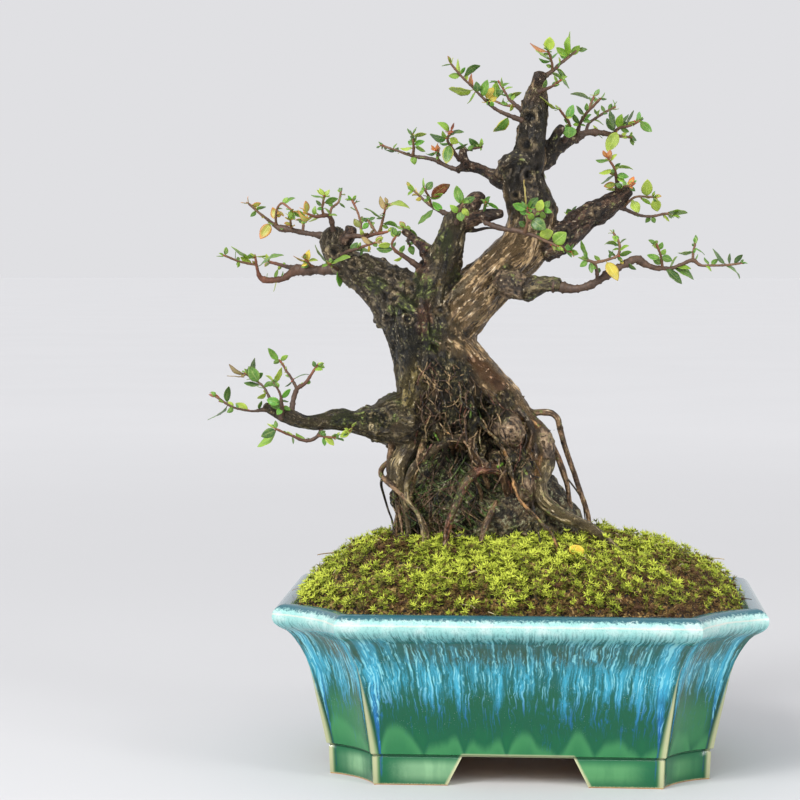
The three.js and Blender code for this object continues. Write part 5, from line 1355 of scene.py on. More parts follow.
# Thin strands that lie on the wood in front, as (x, z, radius)
sinews = {
    "wetWood": [
        [(-47, 222, 1.5), (-38, 216, 2), (-29, 208, 2.2), (-20, 199, 2.2), (-12, 190, 1.8), (-6, 181, 1.4)],
        [(-43, 226, 1.3), (-34, 219, 1.9), (-26, 211, 2), (-17, 202, 2), (-8, 192, 1.7), (-1, 182, 1.3)],
        [(-38, 229, 1.2), (-30, 222, 1.6), (-22, 213.5, 1.7), (-13, 204.5, 1.6), (-4, 196, 1.4),
         (2, 188, 1.1)],
        [(-44, 236, 1.8), (-34, 249, 2.6), (-22, 262, 2.6), (-9, 274, 2.2), (-4, 289, 1.6)],
        [(-31, 228, 1.8), (-18, 242, 2.8), (-6, 255, 2.5), (4, 267, 2.1), (8, 281, 1.5)],
        [(-38, 232, 1.5), (-27, 246, 2.2), (-15, 259, 2), (-3, 271, 1.7), (2, 284, 1.3)],
        [(-28, 202, 1.3), (-20, 196, 1.9), (-12, 188, 1.9), (-6, 179, 1.4)],
    ],
    "oldWood": [
        [(-66, 243, 1.6), (-62, 228, 2.3), (-58, 212, 2.5), (-60, 197, 2.1), (-63, 183, 1.6)],
        [(-53, 245, 1.6), (-51, 229, 2.4), (-50, 213, 2.5), (-53, 198, 2.1), (-57, 184, 1.6)],
        [(-48, 216, 1.4), (-41, 207, 2), (-34, 198, 2), (-29, 189, 1.6)],
        [(-45, 208, 1.4), (-43, 197, 1.9), (-45, 186, 1.9), (-49, 174, 1.6)],
        [(-2, 287, 1.5), (-4, 300, 2.1), (-2, 312, 2), (2, 324, 1.6), (1, 337, 1.2)],
        [(9, 281, 1.4), (10, 296, 1.9), (8, 310, 2), (9, 326, 1.5), (11, 341, 1.2)],
        [(-50, 233, 1.8), (-62, 241, 2.4), (-73, 250, 2.3), (-85, 257, 1.6)],
        [(-44, 240, 1.5), (-42, 255, 2), (-39, 270, 1.8), (-36, 282, 1.4)],
        [(-66, 187, 1.4), (-78, 184, 1.6), (-92, 182, 1.4), (-106, 180, 1)],
    ],
    "rootSkin": [
        [(-44, 196, 1.5), (-46, 184, 2), (-50, 172, 2), (-54, 160, 1.7), (-57, 146, 1.3), (-59, 130, 1.1)],
        [(-36, 190, 1.5), (-38, 177, 1.9), (-42, 165, 1.8), (-46, 151, 1.6), (-48, 135, 1.3), (-47, 112, 1)],
        [(-14, 187, 1.5), (-18, 173, 1.9), (-21, 159, 1.7), (-17, 143, 1.5), (-14, 127, 1.3), (-12, 108, 1)],
        [(-33, 182, 1.1), (-31, 168, 1.4), (-34, 153, 1.3), (-30, 138, 1.1), (-32, 122, 1), (-30, 106, 0.9)],
        [(-26, 152, 0.9), (-21, 140, 1.2), (-23, 127, 1.1), (-20, 106, 0.9)],
        [(-6, 160, 1.2), (-9, 147, 1.5), (-6, 134, 1.4), (-7, 120, 1.2), (-3, 104, 1)],
        [(6, 172, 1.1), (3, 160, 1.4), (5, 146, 1.3), (3, 132, 1.1), (7, 118, 1), (8, 104, 0.9)],
        [(-66, 178, 1.3), (-69, 165, 1.5), (-70, 151, 1.3), (-66, 137, 1.1), (-66, 108, 0.9)],
        [(-52, 166, 1), (-47, 156, 1.2), (-49, 143, 1.1), (-44, 131, 1), (-45, 106, 0.9)],
    ],
    "pinkBurl": [
        [(-14, 178, 4), (-9, 175, 8.4), (-4, 171, 6.5), (-1, 167, 3)],
        [(-19, 166, 2.5), (-16, 163, 5), (-13, 159, 3)],
        [(2, 157, 3), (1.5, 150, 5.4), (2, 143, 5), (3, 137, 3)],
        [(-12, 254, 5), (-5, 251, 7.5), (2, 249, 6)],
        [(-11, 309, 3.4), (-6, 315, 5), (0, 317, 4.4), (7, 313, 3)],
        [(9, 176, 3), (12, 171, 4.6), (14, 165, 4.2), (14, 159, 3)],
    ],
}
# Sinews that wind round a whole limb: strand, how many, twist and radius
windings = [
    ("trunk", 11, 1.5, 2.5), ("rightTrunk", 9, 1.3, 2.1), ("leftLimb", 8, 1.1, 1.9),
    ("middleLimb", 6, 0.9, 1.6), ("rightLimb", 5, 1.0, 1.2), ("lowestLeft", 6, 1.2, 1.5),
    ("ridge", 6, 0.9, 1.7), ("leftColumn", 4, 0.8, 1.4), ("thickRoot", 4, 1.0, 1.1),
]
# What each kind of wood looks like: colour, wetness, depth of its grooves and of its lumps
woodKinds = {
    "wetWood": (shade(176, 146, 104), 0.85, 0.75, 0.4),
    "oldWood": (shade(98, 86, 58), 0.45, 0.8, 0.85),
    "darkLimb": (shade(86, 62, 46), 0.35, 0.4, 1.1),
    "mossyLimb": (shade(112, 100, 78), 0.45, 0.6, 1.0),
    "rootSkin": (shade(140, 110, 80), 0.65, 0.35, 0.4),
    "redRoot": (shade(120, 74, 52), 0.85, 0.3, 0.35),
    "darkRoot": (shade(72, 58, 48), 0.75, 0.3, 0.35),
    "orangeRoot": (shade(186, 138, 84), 0.65, 0.2, 0.25),
    "greenRoot": (shade(152, 134, 94), 0.75, 0.4, 0.35),
    "pinkBurl": (shade(142, 118, 92), 0.5, 0.3, 1.0),
}
woodOf = {
    "oldWood": ("trunk", "middleLimb", "lowestLeft", "burlBranch"),
    "wetWood": ("rightTrunk", "ridge"),
    "darkLimb": (
        "rightLimb", "upperRight", "upperRightFork", "leftUpper", "leftUpperStub", "brokenHook",
        "middleStub", "centreTwig", "leftStub", "leftKnob",
    ),
    "mossyLimb": ("leftLimb",),
    "redRoot": ("frontArch",),
    "darkRoot": ("darkRoot",),
    "orangeRoot": ("orangeRoot", "slantingRoot"),
    "greenRoot": ("thickRoot", "leftColumn", "bigArch"),
    "pinkBurl": ("knottedLobes",),
}
kindOf = {strand: kind for kind, group in woodOf.items() for strand in group}
# Patches seen from the front: x, z, half width, half height, lean, colour, strength
woodPatches = [
    (3, 320, 20, 42, 0, shade(48, 40, 27), 0.95),
    (-60, 220, 13, 20, 0.2, shade(24, 24, 12), 1.0),
    (-46, 226, 9, 9, 0, shade(40, 36, 22), 0.75),
    (-38, 250, 9, 11, 0, shade(46, 44, 26), 0.7),
    (-29, 183, 22, 12, 0, shade(40, 34, 27), 0.75),
    (-36, 203, 11, 14, 0.7, shade(48, 42, 32), 0.7),
    (-57, 196, 8, 14, 0, shade(112, 98, 50), 0.9),
    (-48, 184, 5, 5, 0, shade(124, 78, 62), 0.7),
    (-51, 233, 4.5, 10, 0, shade(104, 60, 42), 0.75),
    (-18, 205, 4, 15, 0.8, shade(116, 70, 42), 0.75),
    (-9, 194, 4, 6, 0.8, shade(142, 104, 80), 0.6),
    (-39, 206, 2.6, 12, 0.9, shade(20, 16, 13), 0.9),
    (-52.7, 262.4, 4.6, 9, 0, shade(112, 52, 42), 0.95),
    # the next two, black in the knot hollows, are painted shade
    (3, 325, 3.2, 7.5, 0, shade(16, 12, 9), 1.0),
    (4, 338.5, 3.4, 3.2, 0, shade(16, 12, 9), 0.9),
    (-4, 316, 6, 5, 0, shade(34, 29, 20), 0.7),
    (9, 360, 5, 6, 0, shade(78, 50, 38), 0.8),
    (-6, 252, 9, 8, 0, shade(70, 56, 40), 0.75),
    (-4, 156, 7, 8, 0, shade(98, 84, 62), 0.6),
    (5, 350, 5, 6, 0, shade(104, 82, 68), 0.5),
    # black in a hollow: painted shade
    (-42.5, 238, 2.2, 2.2, 0, shade(16, 12, 10), 0.95),
    (-19, 245, 2.2, 15, -0.75, shade(190, 168, 130), 0.5),
    (-37, 258, 2.4, 16, -0.75, shade(104, 84, 34), 0.7),
    (-28, 268, 2.2, 10, -0.75, shade(104, 84, 34), 0.6),
    (-30, 252, 1.2, 12, -0.75, shade(206, 190, 156), 0.55),
    (-61, 162, 3, 12, 0.4, shade(130, 118, 100), 0.5),
    (21.5, 160, 2, 3, 0, shade(164, 92, 44), 0.5),
]
# Where the wood breaks up into rootlets and earth: x, z, half width, half height, lean
brokenWood = [
    (-30, 184, 23, 13, 0), (-37, 204, 12, 15, 0.7), (-47, 172, 10, 8, 0), (-10, 190, 8, 8, 0),
    (-2, 156, 8, 8, 0), (-16, 166, 9, 9, 0), (-78, 180, 9, 6, 0), (6, 120, 12, 12, 0),
]
mossyPatches = [
    (-36, 255, 5, 10), (-64, 240, 9, 7), (-78, 251, 8, 6), (-46, 222, 7, 9),
    (-50, 250, 8, 8), (-32, 140, 12, 14), (-92, 180, 12, 4), (-70, 180, 8, 5), (-50, 150, 10, 10),
    (8, 243, 8, 3), (-15, 312, 8, 4), (-40, 275, 5, 8),
]
# Knots seen from the front: x, z, radius and height of the ring; the middle is hollow
knots = [
    (-69, 256, 3.4, 1.2), (-67, 244, 3.8, 1.4), (-60, 233, 3.8, 1.4), (-71, 234, 2.8, 1.1),
    (-42.5, 238, 3.6, 1.2), (4, 338.5, 5.2, 1.6), (2.6, 324, 5.4, 1.2), (-52.7, 262.4, 5, 1),
    (3, 308, 4.6, 1.3), (22, 278, 3.6, 1.1), (-99, 268, 4.4, 1.4), (-88, 262, 3.6, 1.2),
    (-30, 264, 3.4, 0.9), (38, 289, 3.4, 1), (-72, 181, 4, 1.1), (-58, 250, 3.4, 1.2), (8, 291, 4, 1.2),
    (-3, 298, 3.2, 1),
]


def frontDepth(x, z, routes):
    # depth of the front of the wood behind a seen point
    depth = 0.0
    for _ in range(3):
        px, _, pz = place((x, z, depth))[0]
        gap = (routes[:, 0] - px) ** 2 + (routes[:, 2] - pz) ** 2
        inside = gap < routes[:, 3] ** 2
        if inside.any():
            reach = np.sqrt(routes[inside, 3] ** 2 - gap[inside])
            depth = (routes[inside, 1] - reach).min()
        else:
            depth = routes[(gap - routes[:, 3] ** 2).argmin(), 1]
    return depth


def laidOn(points, routes, sink=0.45):
    # strands that follow the front of the wood, sunk in by a share of their radius
    laid = np.array([(x, z, frontDepth(x, z, routes) + sink * radius, radius) for x, z, radius in points])
    # no sudden steps back from one limb to the next
    for i in range(1, len(laid)):
        laid[i, 2] = min(laid[i, 2], laid[i - 1, 2] + 9)
    return laid


def winding(route, start, twist, radius):
    # a sinew that winds along a limb just under its surface and fades at both ends
    _, side, across = framesAlong(route[:, :3])
    steps = np.linspace(0, 1, len(route))
    angle = start + twist * steps + 0.25 * np.sin(steps * 9 + start * 3)
    out = np.cos(angle)[:, None] * side + np.sin(angle)[:, None] * across
    thick = np.minimum(radius, 0.3 * route[:, 3]) * (0.35 + 0.65 * np.sin(math.pi * steps) ** 0.5)
    centres = route[:, :3] + out * (route[:, 3] - 0.45 * thick)[:, None]
    return np.column_stack((centres, thick))


def tangle(solid):
    # thin twisted roots where the trunk breaks up into roots
    rng = random.Random(12)
    strands = []
    for number in range(tree["tangle"]):
        x, z = rng.uniform(-52, 2), rng.uniform(166, 208)
        if z > 186 and x > -10:
            continue
        heading = rng.choice((-2.2, -1.9, -1.6, -1.2, -0.9)) + rng.uniform(-0.3, 0.3)
        radius = rng.uniform(0.45, 1.25)
        points = []
        for step in range(rng.randint(4, 7)):
            points.append((x, z, radius * (1 - 0.09 * step)))
            x += 5 * math.cos(heading)
            z += 5 * math.sin(heading)
            heading += rng.uniform(-0.55, 0.55)
            if z < 150:
                break
        if len(points) > 2:
            kind = ("darkRoot", "darkRoot", "rootSkin", "orangeRoot", "mossyLimb")[number % 5]
            strands.append((kind, woodRoute(laidOn(points, solid, 0.2), 1.2)))
    return strands


def woodRoutes():
    # every strand as (kind, route), the thick ones first
    routes = {"trunk": woodRoute(trunk, 1.2)}
    for name, points in limbs.items():
        routes[name] = woodRoute(points, 1.2, tree["limbSpread"])
    for name, points in roots.items():
        routes[name] = woodRoute(points, 1.2)
    strands = [(kindOf.get(name, "rootSkin"), route) for name, route in routes.items()]
    solid = np.vstack(list(routes.values()))
    strands += tangle(solid)
    for kind, lists in sinews.items():
        for points in lists:
            strands.append((kind, woodRoute(laidOn(points, solid), 1.2)))
    for name, count, twist, radius in windings:
        for i in range(count):
            start = 2 * math.pi * (i + 0.2 * math.sin(7 * i)) / count
            size = radius * (0.75 + 0.5 * ((i * 0.618) % 1))
            strands.append((kindOf.get(name, "rootSkin"), winding(routes[name], start, twist, size)))
    return strands


def awayFrom(x, z, px, pz, halfWidth, halfHeight, lean=0):
    # 1 on the edge of an oval seen from the front, less inside it
    c, s = math.cos(lean), math.sin(lean)
    dx, dz = x - px, z - pz
    return np.hypot((dx * c + dz * s) / halfWidth, (dz * c - dx * s) / halfHeight)


def makeWood():
    strands = woodRoutes()
    shape = Shape()
    rings = []  # every ring's middle, directions, place along its strand, radius and kind
    kinds = list(woodKinds)
    anchors, ringOf = [], []
    for number, (kind, route) in enumerate(strands):
        sides = int(np.clip(round(route[:, 3].max() * 2.6), 8, 56))
        ahead, side, across = framesAlong(route[:, :3])
        steps = np.linalg.norm(np.diff(route[:, :3], axis=0), axis=1)
        along = np.concatenate(([0], np.cumsum(steps))) + 40 * number
        rock = roughen(np.column_stack((np.arange(len(route)) * 1.2, np.full(len(route), 50.0 * number),
                                        np.zeros(len(route)))), 9, 5, 2)
        angle = 2 * math.pi * np.arange(sides) / sides
        at = np.stack(np.broadcast_arrays(2.2 * np.cos(angle)[None], 2.2 * np.sin(angle)[None],
                                          (along / np.maximum(route[:, 3], 3))[:, None] * 0.8), axis=2)
        wave = 1 + 0.07 * drift(at.reshape(-1, 3), 1, number % 17).reshape(len(route), sides)
        wave = wave * (1 + 0.06 * rock[:, None])
        points, faces = sweep(route, sides, wave)
        shape.add(points, faces)
        anchors.append(points[:-2])
        ringOf.append(np.repeat(np.arange(len(route)) + len(rings), sides))
        rings += list(np.column_stack((route, ahead, side, across, along,
                                       np.full(len(route), kinds.index(kind)))))
    wood = shape.build("treeWood")
    remesh(wood, tree["voxel"], tree["smooth"])
    rings = np.array(rings)
    anchors = np.vstack(anchors)
    ringOf = np.concatenate(ringOf)
    finder = KDTree(len(anchors))
    for index, point in enumerate(anchors):
        finder.insert(point, index)
    finder.balance()
    points, normals = readPoints(wood.data)
    nearest = np.array([ringOf[finder.find(point)[1]] for point in points])
    ring = rings[nearest]
    offset = points - ring[:, :3]
    grain = np.column_stack([
        (offset * ring[:, 7:10]).sum(axis=1), (offset * ring[:, 10:13]).sum(axis=1),
        ring[:, 13] + (offset * ring[:, 4:7]).sum(axis=1),
    ])
    kind = ring[:, 14].astype(int)
    table = np.array([[*woodKinds[name][0][:3], *woodKinds[name][1:]] for name in kinds])
    looks = spread(wood.data, table[kind], 3)
    tone, wet, groove, lump = looks[:, :3], looks[:, 3], looks[:, 4], looks[:, 5]
    aged = ease(points[:, 2], 282, 296)
    wet = wet * (1 - 0.5 * aged)
    groove = groove * (1 - 0.65 * aged)
    lump = lump + aged * (1.15 - lump)
    size = np.clip(ring[:, 3] / 7, 0.16, 1)

    # grooves run with the grain, lumps lie across it
    flow = grain / np.array([3.4, 3.4, 26]) + 9
    fine = grain / np.array([1.3, 1.3, 11]) + 4
    ribs = 1 - 2.2 * np.abs(drift(flow, 1, 3)) + 0.6 * drift(flow, 1, 4)
    fineRibs = 1 - 2 * np.abs(drift(fine, 1, 8))
    lumps = roughen(points, 6.5, 12, 3)
    warts = np.maximum(drift(points, 2.6, 31) - 0.25, 0)
    rise = (groove * (0.75 * ribs + 0.32 * fineRibs) + lump * (1.3 * lumps + 2.1 * warts)) * size
    x, z = seen(points)
    front = (normals[:, 1] < -0.15) & (points[:, 1] < ring[:, 1] + 2)
    # painted shade in the grooves and between the lumps
    crevice = np.clip(0.5 - 0.45 * (0.75 * ribs + 0.4 * fineRibs) * groove - 0.25 * lumps * lump, 0, 1)
    uneven = 0.3 * drift(points, 4, 44)
    for *oval, colour, strength in woodPatches:
        share = (strength * ease(awayFrom(x, z, *oval) + uneven, 1.25, 0.6) * front)[:, None]
        tone = tone * (1 - share) + np.array(colour[:3]) * share
    rubble = 0.3 * roughen(points, 9, 97, 2)
    uneven = 0.35 * drift(points, 6, 46)
    for oval in brokenWood:
        rubble = np.maximum(rubble, ease(awayFrom(x, z, *oval) + uneven, 1.25, 0.5) * front)
    film = 0.32 * roughen(points, 18, 90, 2) + 0.22 * ease(normals[:, 2], 0.1, 0.9)
    for oval in mossyPatches:
        film = film + 0.6 * ease(awayFrom(x, z, *oval), 1.3, 0.4) * front
    uneven = 0.12 * drift(points, 2.5, 47)
    for kx, kz, radius, height in knots:
        # a pale raised ring round a hollow with painted shade in it, dark outside too
        away = np.hypot(x - kx, z - kz) / radius + uneven
        ringShape = np.exp(-((away - 0.72) / 0.26) ** 2) - 0.9 * np.exp(-((away / 0.42) ** 2))
        rise = rise + np.where(front, height * ringShape, 0)
        crevice = crevice + np.where(front, 0.8 * np.exp(-((away / 0.36) ** 2)), 0)
        for at, width, colour, strength in tree["knotRings"]:
            share = (strength * np.exp(-(((away - at) / width) ** 2)) * front)[:, None]
            tone = tone * (1 - share) + np.array(colour[:3]) * share
        film = film - 0.5 * ease(away, 1.2, 0.7) * front
    film = film * ease(points[:, 2], 330, 270)
    rise = rise + 1.1 * rubble * roughen(points, 3.2, 61, 2)
    points = points + normals * spread(wood.data, rise, 1)
    writePoints(wood.data, points)
    tone = np.column_stack((tone, np.ones(len(tone))))
    crevice = spread(wood.data, crevice, 1)[:, 0]
    for name, values in (("grain", grain), ("tone", tone), ("wet", wet), ("crevice", crevice),
                         ("film", film), ("rubble", rubble)):
        markPoints(wood.data, name, values)
    thinOut(wood, tree["triangles"])
    return wood, strands


def barkFinish():
    f = Finish("bark")
    where = f.place()
    grain = f.mark("grain", "Vector")
    tone = f.mark("tone", "Color")
    wet = f.mark("wet")
    crevice = f.mark("crevice")
    film = f.mark("film")
    rubble = f.mark("rubble").between(0.25, 0.75)
    fibres = f.noise(f.stretch(grain, 1, 1, 0.2), 1.15, 3.0, 0.6)
    streaks = f.noise(f.stretch(grain, 1, 1, 0.34), 4.0, 4.0, 0.62)
    patches = f.noise(where, 6.5, 4.0, 0.6)
    speckle = f.noise(f.stretch(grain, 1, 1, 0.6), 1.7, 3.0, 0.65)
    clusters = f.noise(where, 4.4, 3.0, 0.6).between(0.44, 0.58)
    dots = f.cells(where, 2.0)
    dark = f.mix(0.85, tone, shade(92, 78, 66), "MULTIPLY")
    # paler tone, paler still where the wood is wet: pale bark and painted sheen; the glint is a painted
    # highlight on wet wood
    light = f.mix(0.1 + wet * 0.3, f.mix(0.6, tone, tone, "ADD"), shade(200, 178, 138))
    glint = f.mix(0.8, tone, shade(234, 222, 198))
    # streaky where the wood is wet and smooth, speckled where it is old and rough
    fine = f.mix(wet.between(0.45, 0.8), speckle, fibres)
    fine = f.node("RGBToBW", sockets={0: fine})
    # broken wood with earth and rootlets in it
    broken = f.ramp(f.noise(f.stretch(where, 1, 1, 0.7), 2.0, 3.0, 0.65), (0.4, shade(8, 7, 5)),
                    (0.48, shade(32, 30, 17)), (0.56, shade(70, 66, 38)), (0.62, shade(122, 106, 72)),
                    (0.69, shade(196, 178, 138)))
    lichen = dots.between(0.36, 0.2) * patches.between(0.52, 0.6) * (1 - wet.between(0.6, 0.8))
    green = (film + (speckle - 0.5) * 1.9 + (patches - 0.5) * 1.6).between(0.34, 0.64)
    mossTone = f.ramp(speckle, (0.38, shade(10, 12, 6)), (0.48, shade(30, 34, 14)), (0.57, shade(62, 70, 28)),
                      (0.68, shade(128, 140, 72)))
    colour = f.coats(
        f.mix(streaks.between(0.4, 0.6), dark, tone),
        (streaks.between(0.56, 0.68) * 0.5, light),
        (patches.between(0.48, 0.37) * 0.6, shade(34, 25, 17)),
        (patches.between(0.57, 0.66) * 0.3, shade(116, 102, 74)),
        (fine.between(0.51, 0.43) * 0.6, dark),
        (fine.between(0.45, 0.37) * 0.95, shade(12, 9, 6)),
        # pale specks and glints, stronger on wet wood: painted sheen and painted highlights
        (fine.between(0.53, 0.61) * (0.3 + clusters * 0.5) * (0.45 + wet * 0.6), light),
        (fine.between(0.6, 0.67) * clusters * (0.45 + wet * 0.5), glint),
        # painted shade in the grooves and knot hollows
        (crevice.between(0.4, 0.85) * 0.92, shade(13, 10, 8)),
        (rubble * 0.85, broken),
        (lichen * 0.6, shade(148, 142, 100)),
        (green * 0.85, mossTone))
    damp = wet * (0.4 + patches * 1.1) - green * 0.3
    rough = 0.72 - damp * 0.5 + (fine - 0.5) * 0.5
    relief = fibres * 0.9 + streaks * 0.6 + speckle * 1.3 - dots * 0.5
    return f.surface(BaseColor=colour, Roughness=rough, SpecularIORLevel=0.38, Normal=f.bump(relief, 1.1))


rootlets = {
    "onEarth": 190,
    "onWood": 210,
    "radius": (0.22, 0.62),
    "sides": 5,
    # colour and wetness
    "tones": {
        "brown": (shade(96, 72, 50), 0.6), "dark": (shade(40, 32, 26), 0.5),
        "pale": (shade(156, 130, 92), 0.5), "red": (shade(104, 62, 46), 0.8),
        "green": (shade(66, 92, 34), 0.2), "bright": (shade(112, 158, 44), 0.2),
    },
    # seen from the front: tone, radius, points and, behind gaps between the roots, depth
    "listed": [
        ("dark", 0.8, [(-73.7, 148), (-74, 145), (-72.4, 139), (-70.3, 132), (-67.8, 124), (-68, 110)]),
        ("brown", 0.5, [(-69.5, 140.6), (-58, 128), (-46, 115)]),
        ("brown", 0.6, [(-67.8, 121), (-62.8, 116), (-56, 107)]),
        ("dark", 1.2, [(-60.5, 140), (-60.5, 122), (-59, 104)]),
        ("brown", 0.6, [(-25.5, 165), (-22, 160), (-18.3, 155.5)]),
        ("brown", 0.6, [(-0.8, 137.5), (0.7, 132), (1.9, 126), (3, 114)]),
        ("dark", 0.5, [(24.6, 149), (29.6, 142.3), (32.2, 137.2), (34, 126)]),
        ("red", 0.7, [(-15.3, 120.4), (-16.6, 115.4), (-20.8, 110)]),
        ("dark", 0.7, [(-11, 130), (-8, 122), (-9, 112)]),
        ("pale", 0.5, [(-34, 124), (-31, 119), (-32, 110)]),
        ("pale", 0.5, [(-52, 118), (-49, 120.5), (-45, 119), (-43, 112)]),
        ("red", 0.9, [(0, 128), (2, 121), (5, 112)]), ("red", 0.9, [(7, 126), (9, 118), (9, 110)]),
        ("red", 0.7, [(12, 124), (14, 117), (17, 110)]), ("dark", 0.7, [(22, 130), (27, 122), (36, 112)]),
        ("green", 0.4, [(-54, 144), (-50, 147.5), (-46, 148), (-43, 146)]),
        ("green", 0.35, [(-52, 148), (-50, 142), (-52, 137), (-51, 131)]),
        ("green", 0.35, [(-48, 151), (-45, 146), (-42, 144)]),
        ("bright", 0.8, [(-27, 188), (-26.6, 185), (-26.8, 181)]),
        ("bright", 0.6, [(-46, 173), (-43.6, 169)]), ("bright", 0.9, [(-12.5, 155), (-9.8, 157)]),
        # the two thick dark strands set back behind the gaps are painted shade deep between the roots
        ("dark", 4.5, [(-2, 174), (2, 167), (5, 157)], 12), ("dark", 3.5, [(-64, 172), (-67, 160)], 12),
        ("green", 0.5, [(-28, 190), (-23, 185), (-21, 180)]),
        ("pale", 0.4, [(-46, 176), (-36, 173), (-29, 176)]),
        ("brown", 0.6, [(-30, 182), (-28.6, 168), (-26, 157)]),
        ("pale", 0.5, [(-20, 181), (-22, 172), (-21, 164)]),
        ("dark", 0.5, [(-40, 188), (-33, 179), (-30, 170)]),
        ("brown", 0.5, [(-48, 186), (-40, 180), (-36, 170)]),
    ],
}


def earthSkin(x, z, core):
    # depth of the front of the earth at a place seen from the front
    middleX, _, height, radius = core[np.abs(core[:, 2] - z).argmin()]
    across = (x - middleX) / radius
    bulge = radius * earthFlat(height) * math.sqrt(max(0.0, 1 - across * across))
    return mound["earthMiddle"] - bulge - 0.8


def makeRootlets():
    # fine roots on the broken wood and on the earth, and some that hang free
    rng = random.Random(31)
    core = woodRoute(earthCore, 1.1)
    wood = np.vstack([route for _, route in strands])
    shape = Shape()

    def add(points, tone, sides=rootlets["sides"]):
        route = smoothRoute(points, 1.2)
        skin, faces = sweep(route, sides)
        colour, wet = rootlets["tones"][tone]
        grain = np.column_stack((skin[:, :2], skin[:, 2] * 0.6))
        shape.add(skin, faces, grain=grain, tone=np.array(colour), wet=wet, crevice=0, film=0, rubble=0)

    for _ in range(rootlets["onWood"]):
        # where the trunk breaks up, in front; few near the smooth wood at the upper right
        x, z = rng.uniform(-56, 6), rng.uniform(152, 214)
        if x + 0.84 * z > 148 or x + z > 178 and rng.random() < 0.8:
            continue
        heading = rng.choice((-2.3, -1.9, -1.6, -1.2, -0.8)) + rng.uniform(-0.3, 0.3)
        radius = rng.uniform(*rootlets["radius"])
        points = []
        for step in range(rng.randint(3, 6)):
            depth = frontDepth(x, z, wood) - 0.3 - rng.uniform(0, 0.8)
            points.append((x, z, depth, radius * (1 - 0.1 * step)))
            x += 3.6 * math.cos(heading)
            z += 3.6 * math.sin(heading)
            heading += rng.uniform(-0.6, 0.6)
            if x < -57:
                break
        if len(points) < 3:
            continue
        points = np.array(points)
        if rng.random() < 0.3:
            points[:, 2] = np.minimum.accumulate(points[:, 2] - 0.5)
        if np.ptp(points[:, 2]) < 8:
            tone = rng.choice(("brown", "dark", "pale", "brown", "red", "pale"))
            add(np.column_stack((place(points), points[:, 3])), tone)
    for _ in range(rootlets["onEarth"]):
        z = rng.uniform(112, 176)
        angle = rng.gauss(-1.57, 1.2)
        radius = rng.uniform(*rootlets["radius"])
        slope = rng.uniform(-0.15, 0.15)
        points = []
        for step in range(rng.randint(3, 8)):
            index = np.abs(core[:, 2] - z).argmin()
            reach = core[index, 3] + 1.6 + rng.uniform(-0.9, 1.3)
            y = mound["earthMiddle"] + reach * earthFlat(z) * math.sin(angle)
            points.append((core[index, 0] + reach * math.cos(angle), y, z, radius * (1 - 0.08 * step)))
            z -= rng.uniform(3, 7.5)
            slope += rng.uniform(-0.13, 0.13)
            angle += slope
            if z < 104:
                break
        if len(points) > 2:
            add(points, rng.choice(("brown", "dark", "pale", "green", "brown", "green")))
    for tone, radius, listed, *behind in rootlets["listed"]:
        points = []
        for step, (x, z) in enumerate(listed):
            depth = min(earthSkin(x, z, core), frontDepth(x, z, wood) if z > 140 else 99)
            depth = behind[0] if behind else depth
            points.append((x, z, depth, radius * (1 - 0.5 * step / len(listed))))
        points = np.array(points)
        add(np.column_stack((place(points), points[:, 3])), tone, 8)
    return shape.build("rootlets")


woodPiece, strands = makeWood()
barkLook = barkFinish()
settle(woodPiece, "bark", barkLook, "tree")
settle(makeRootlets(), "bark", barkLook)
print("wood made")


# Leafy sprays, one piece for each, with twigs and leaves as seen from the front. Twigs are
# (x, z, depth, radius); a leaf runs from (x, z) to (x, z) with its seen width and, for some, how
# far it arches

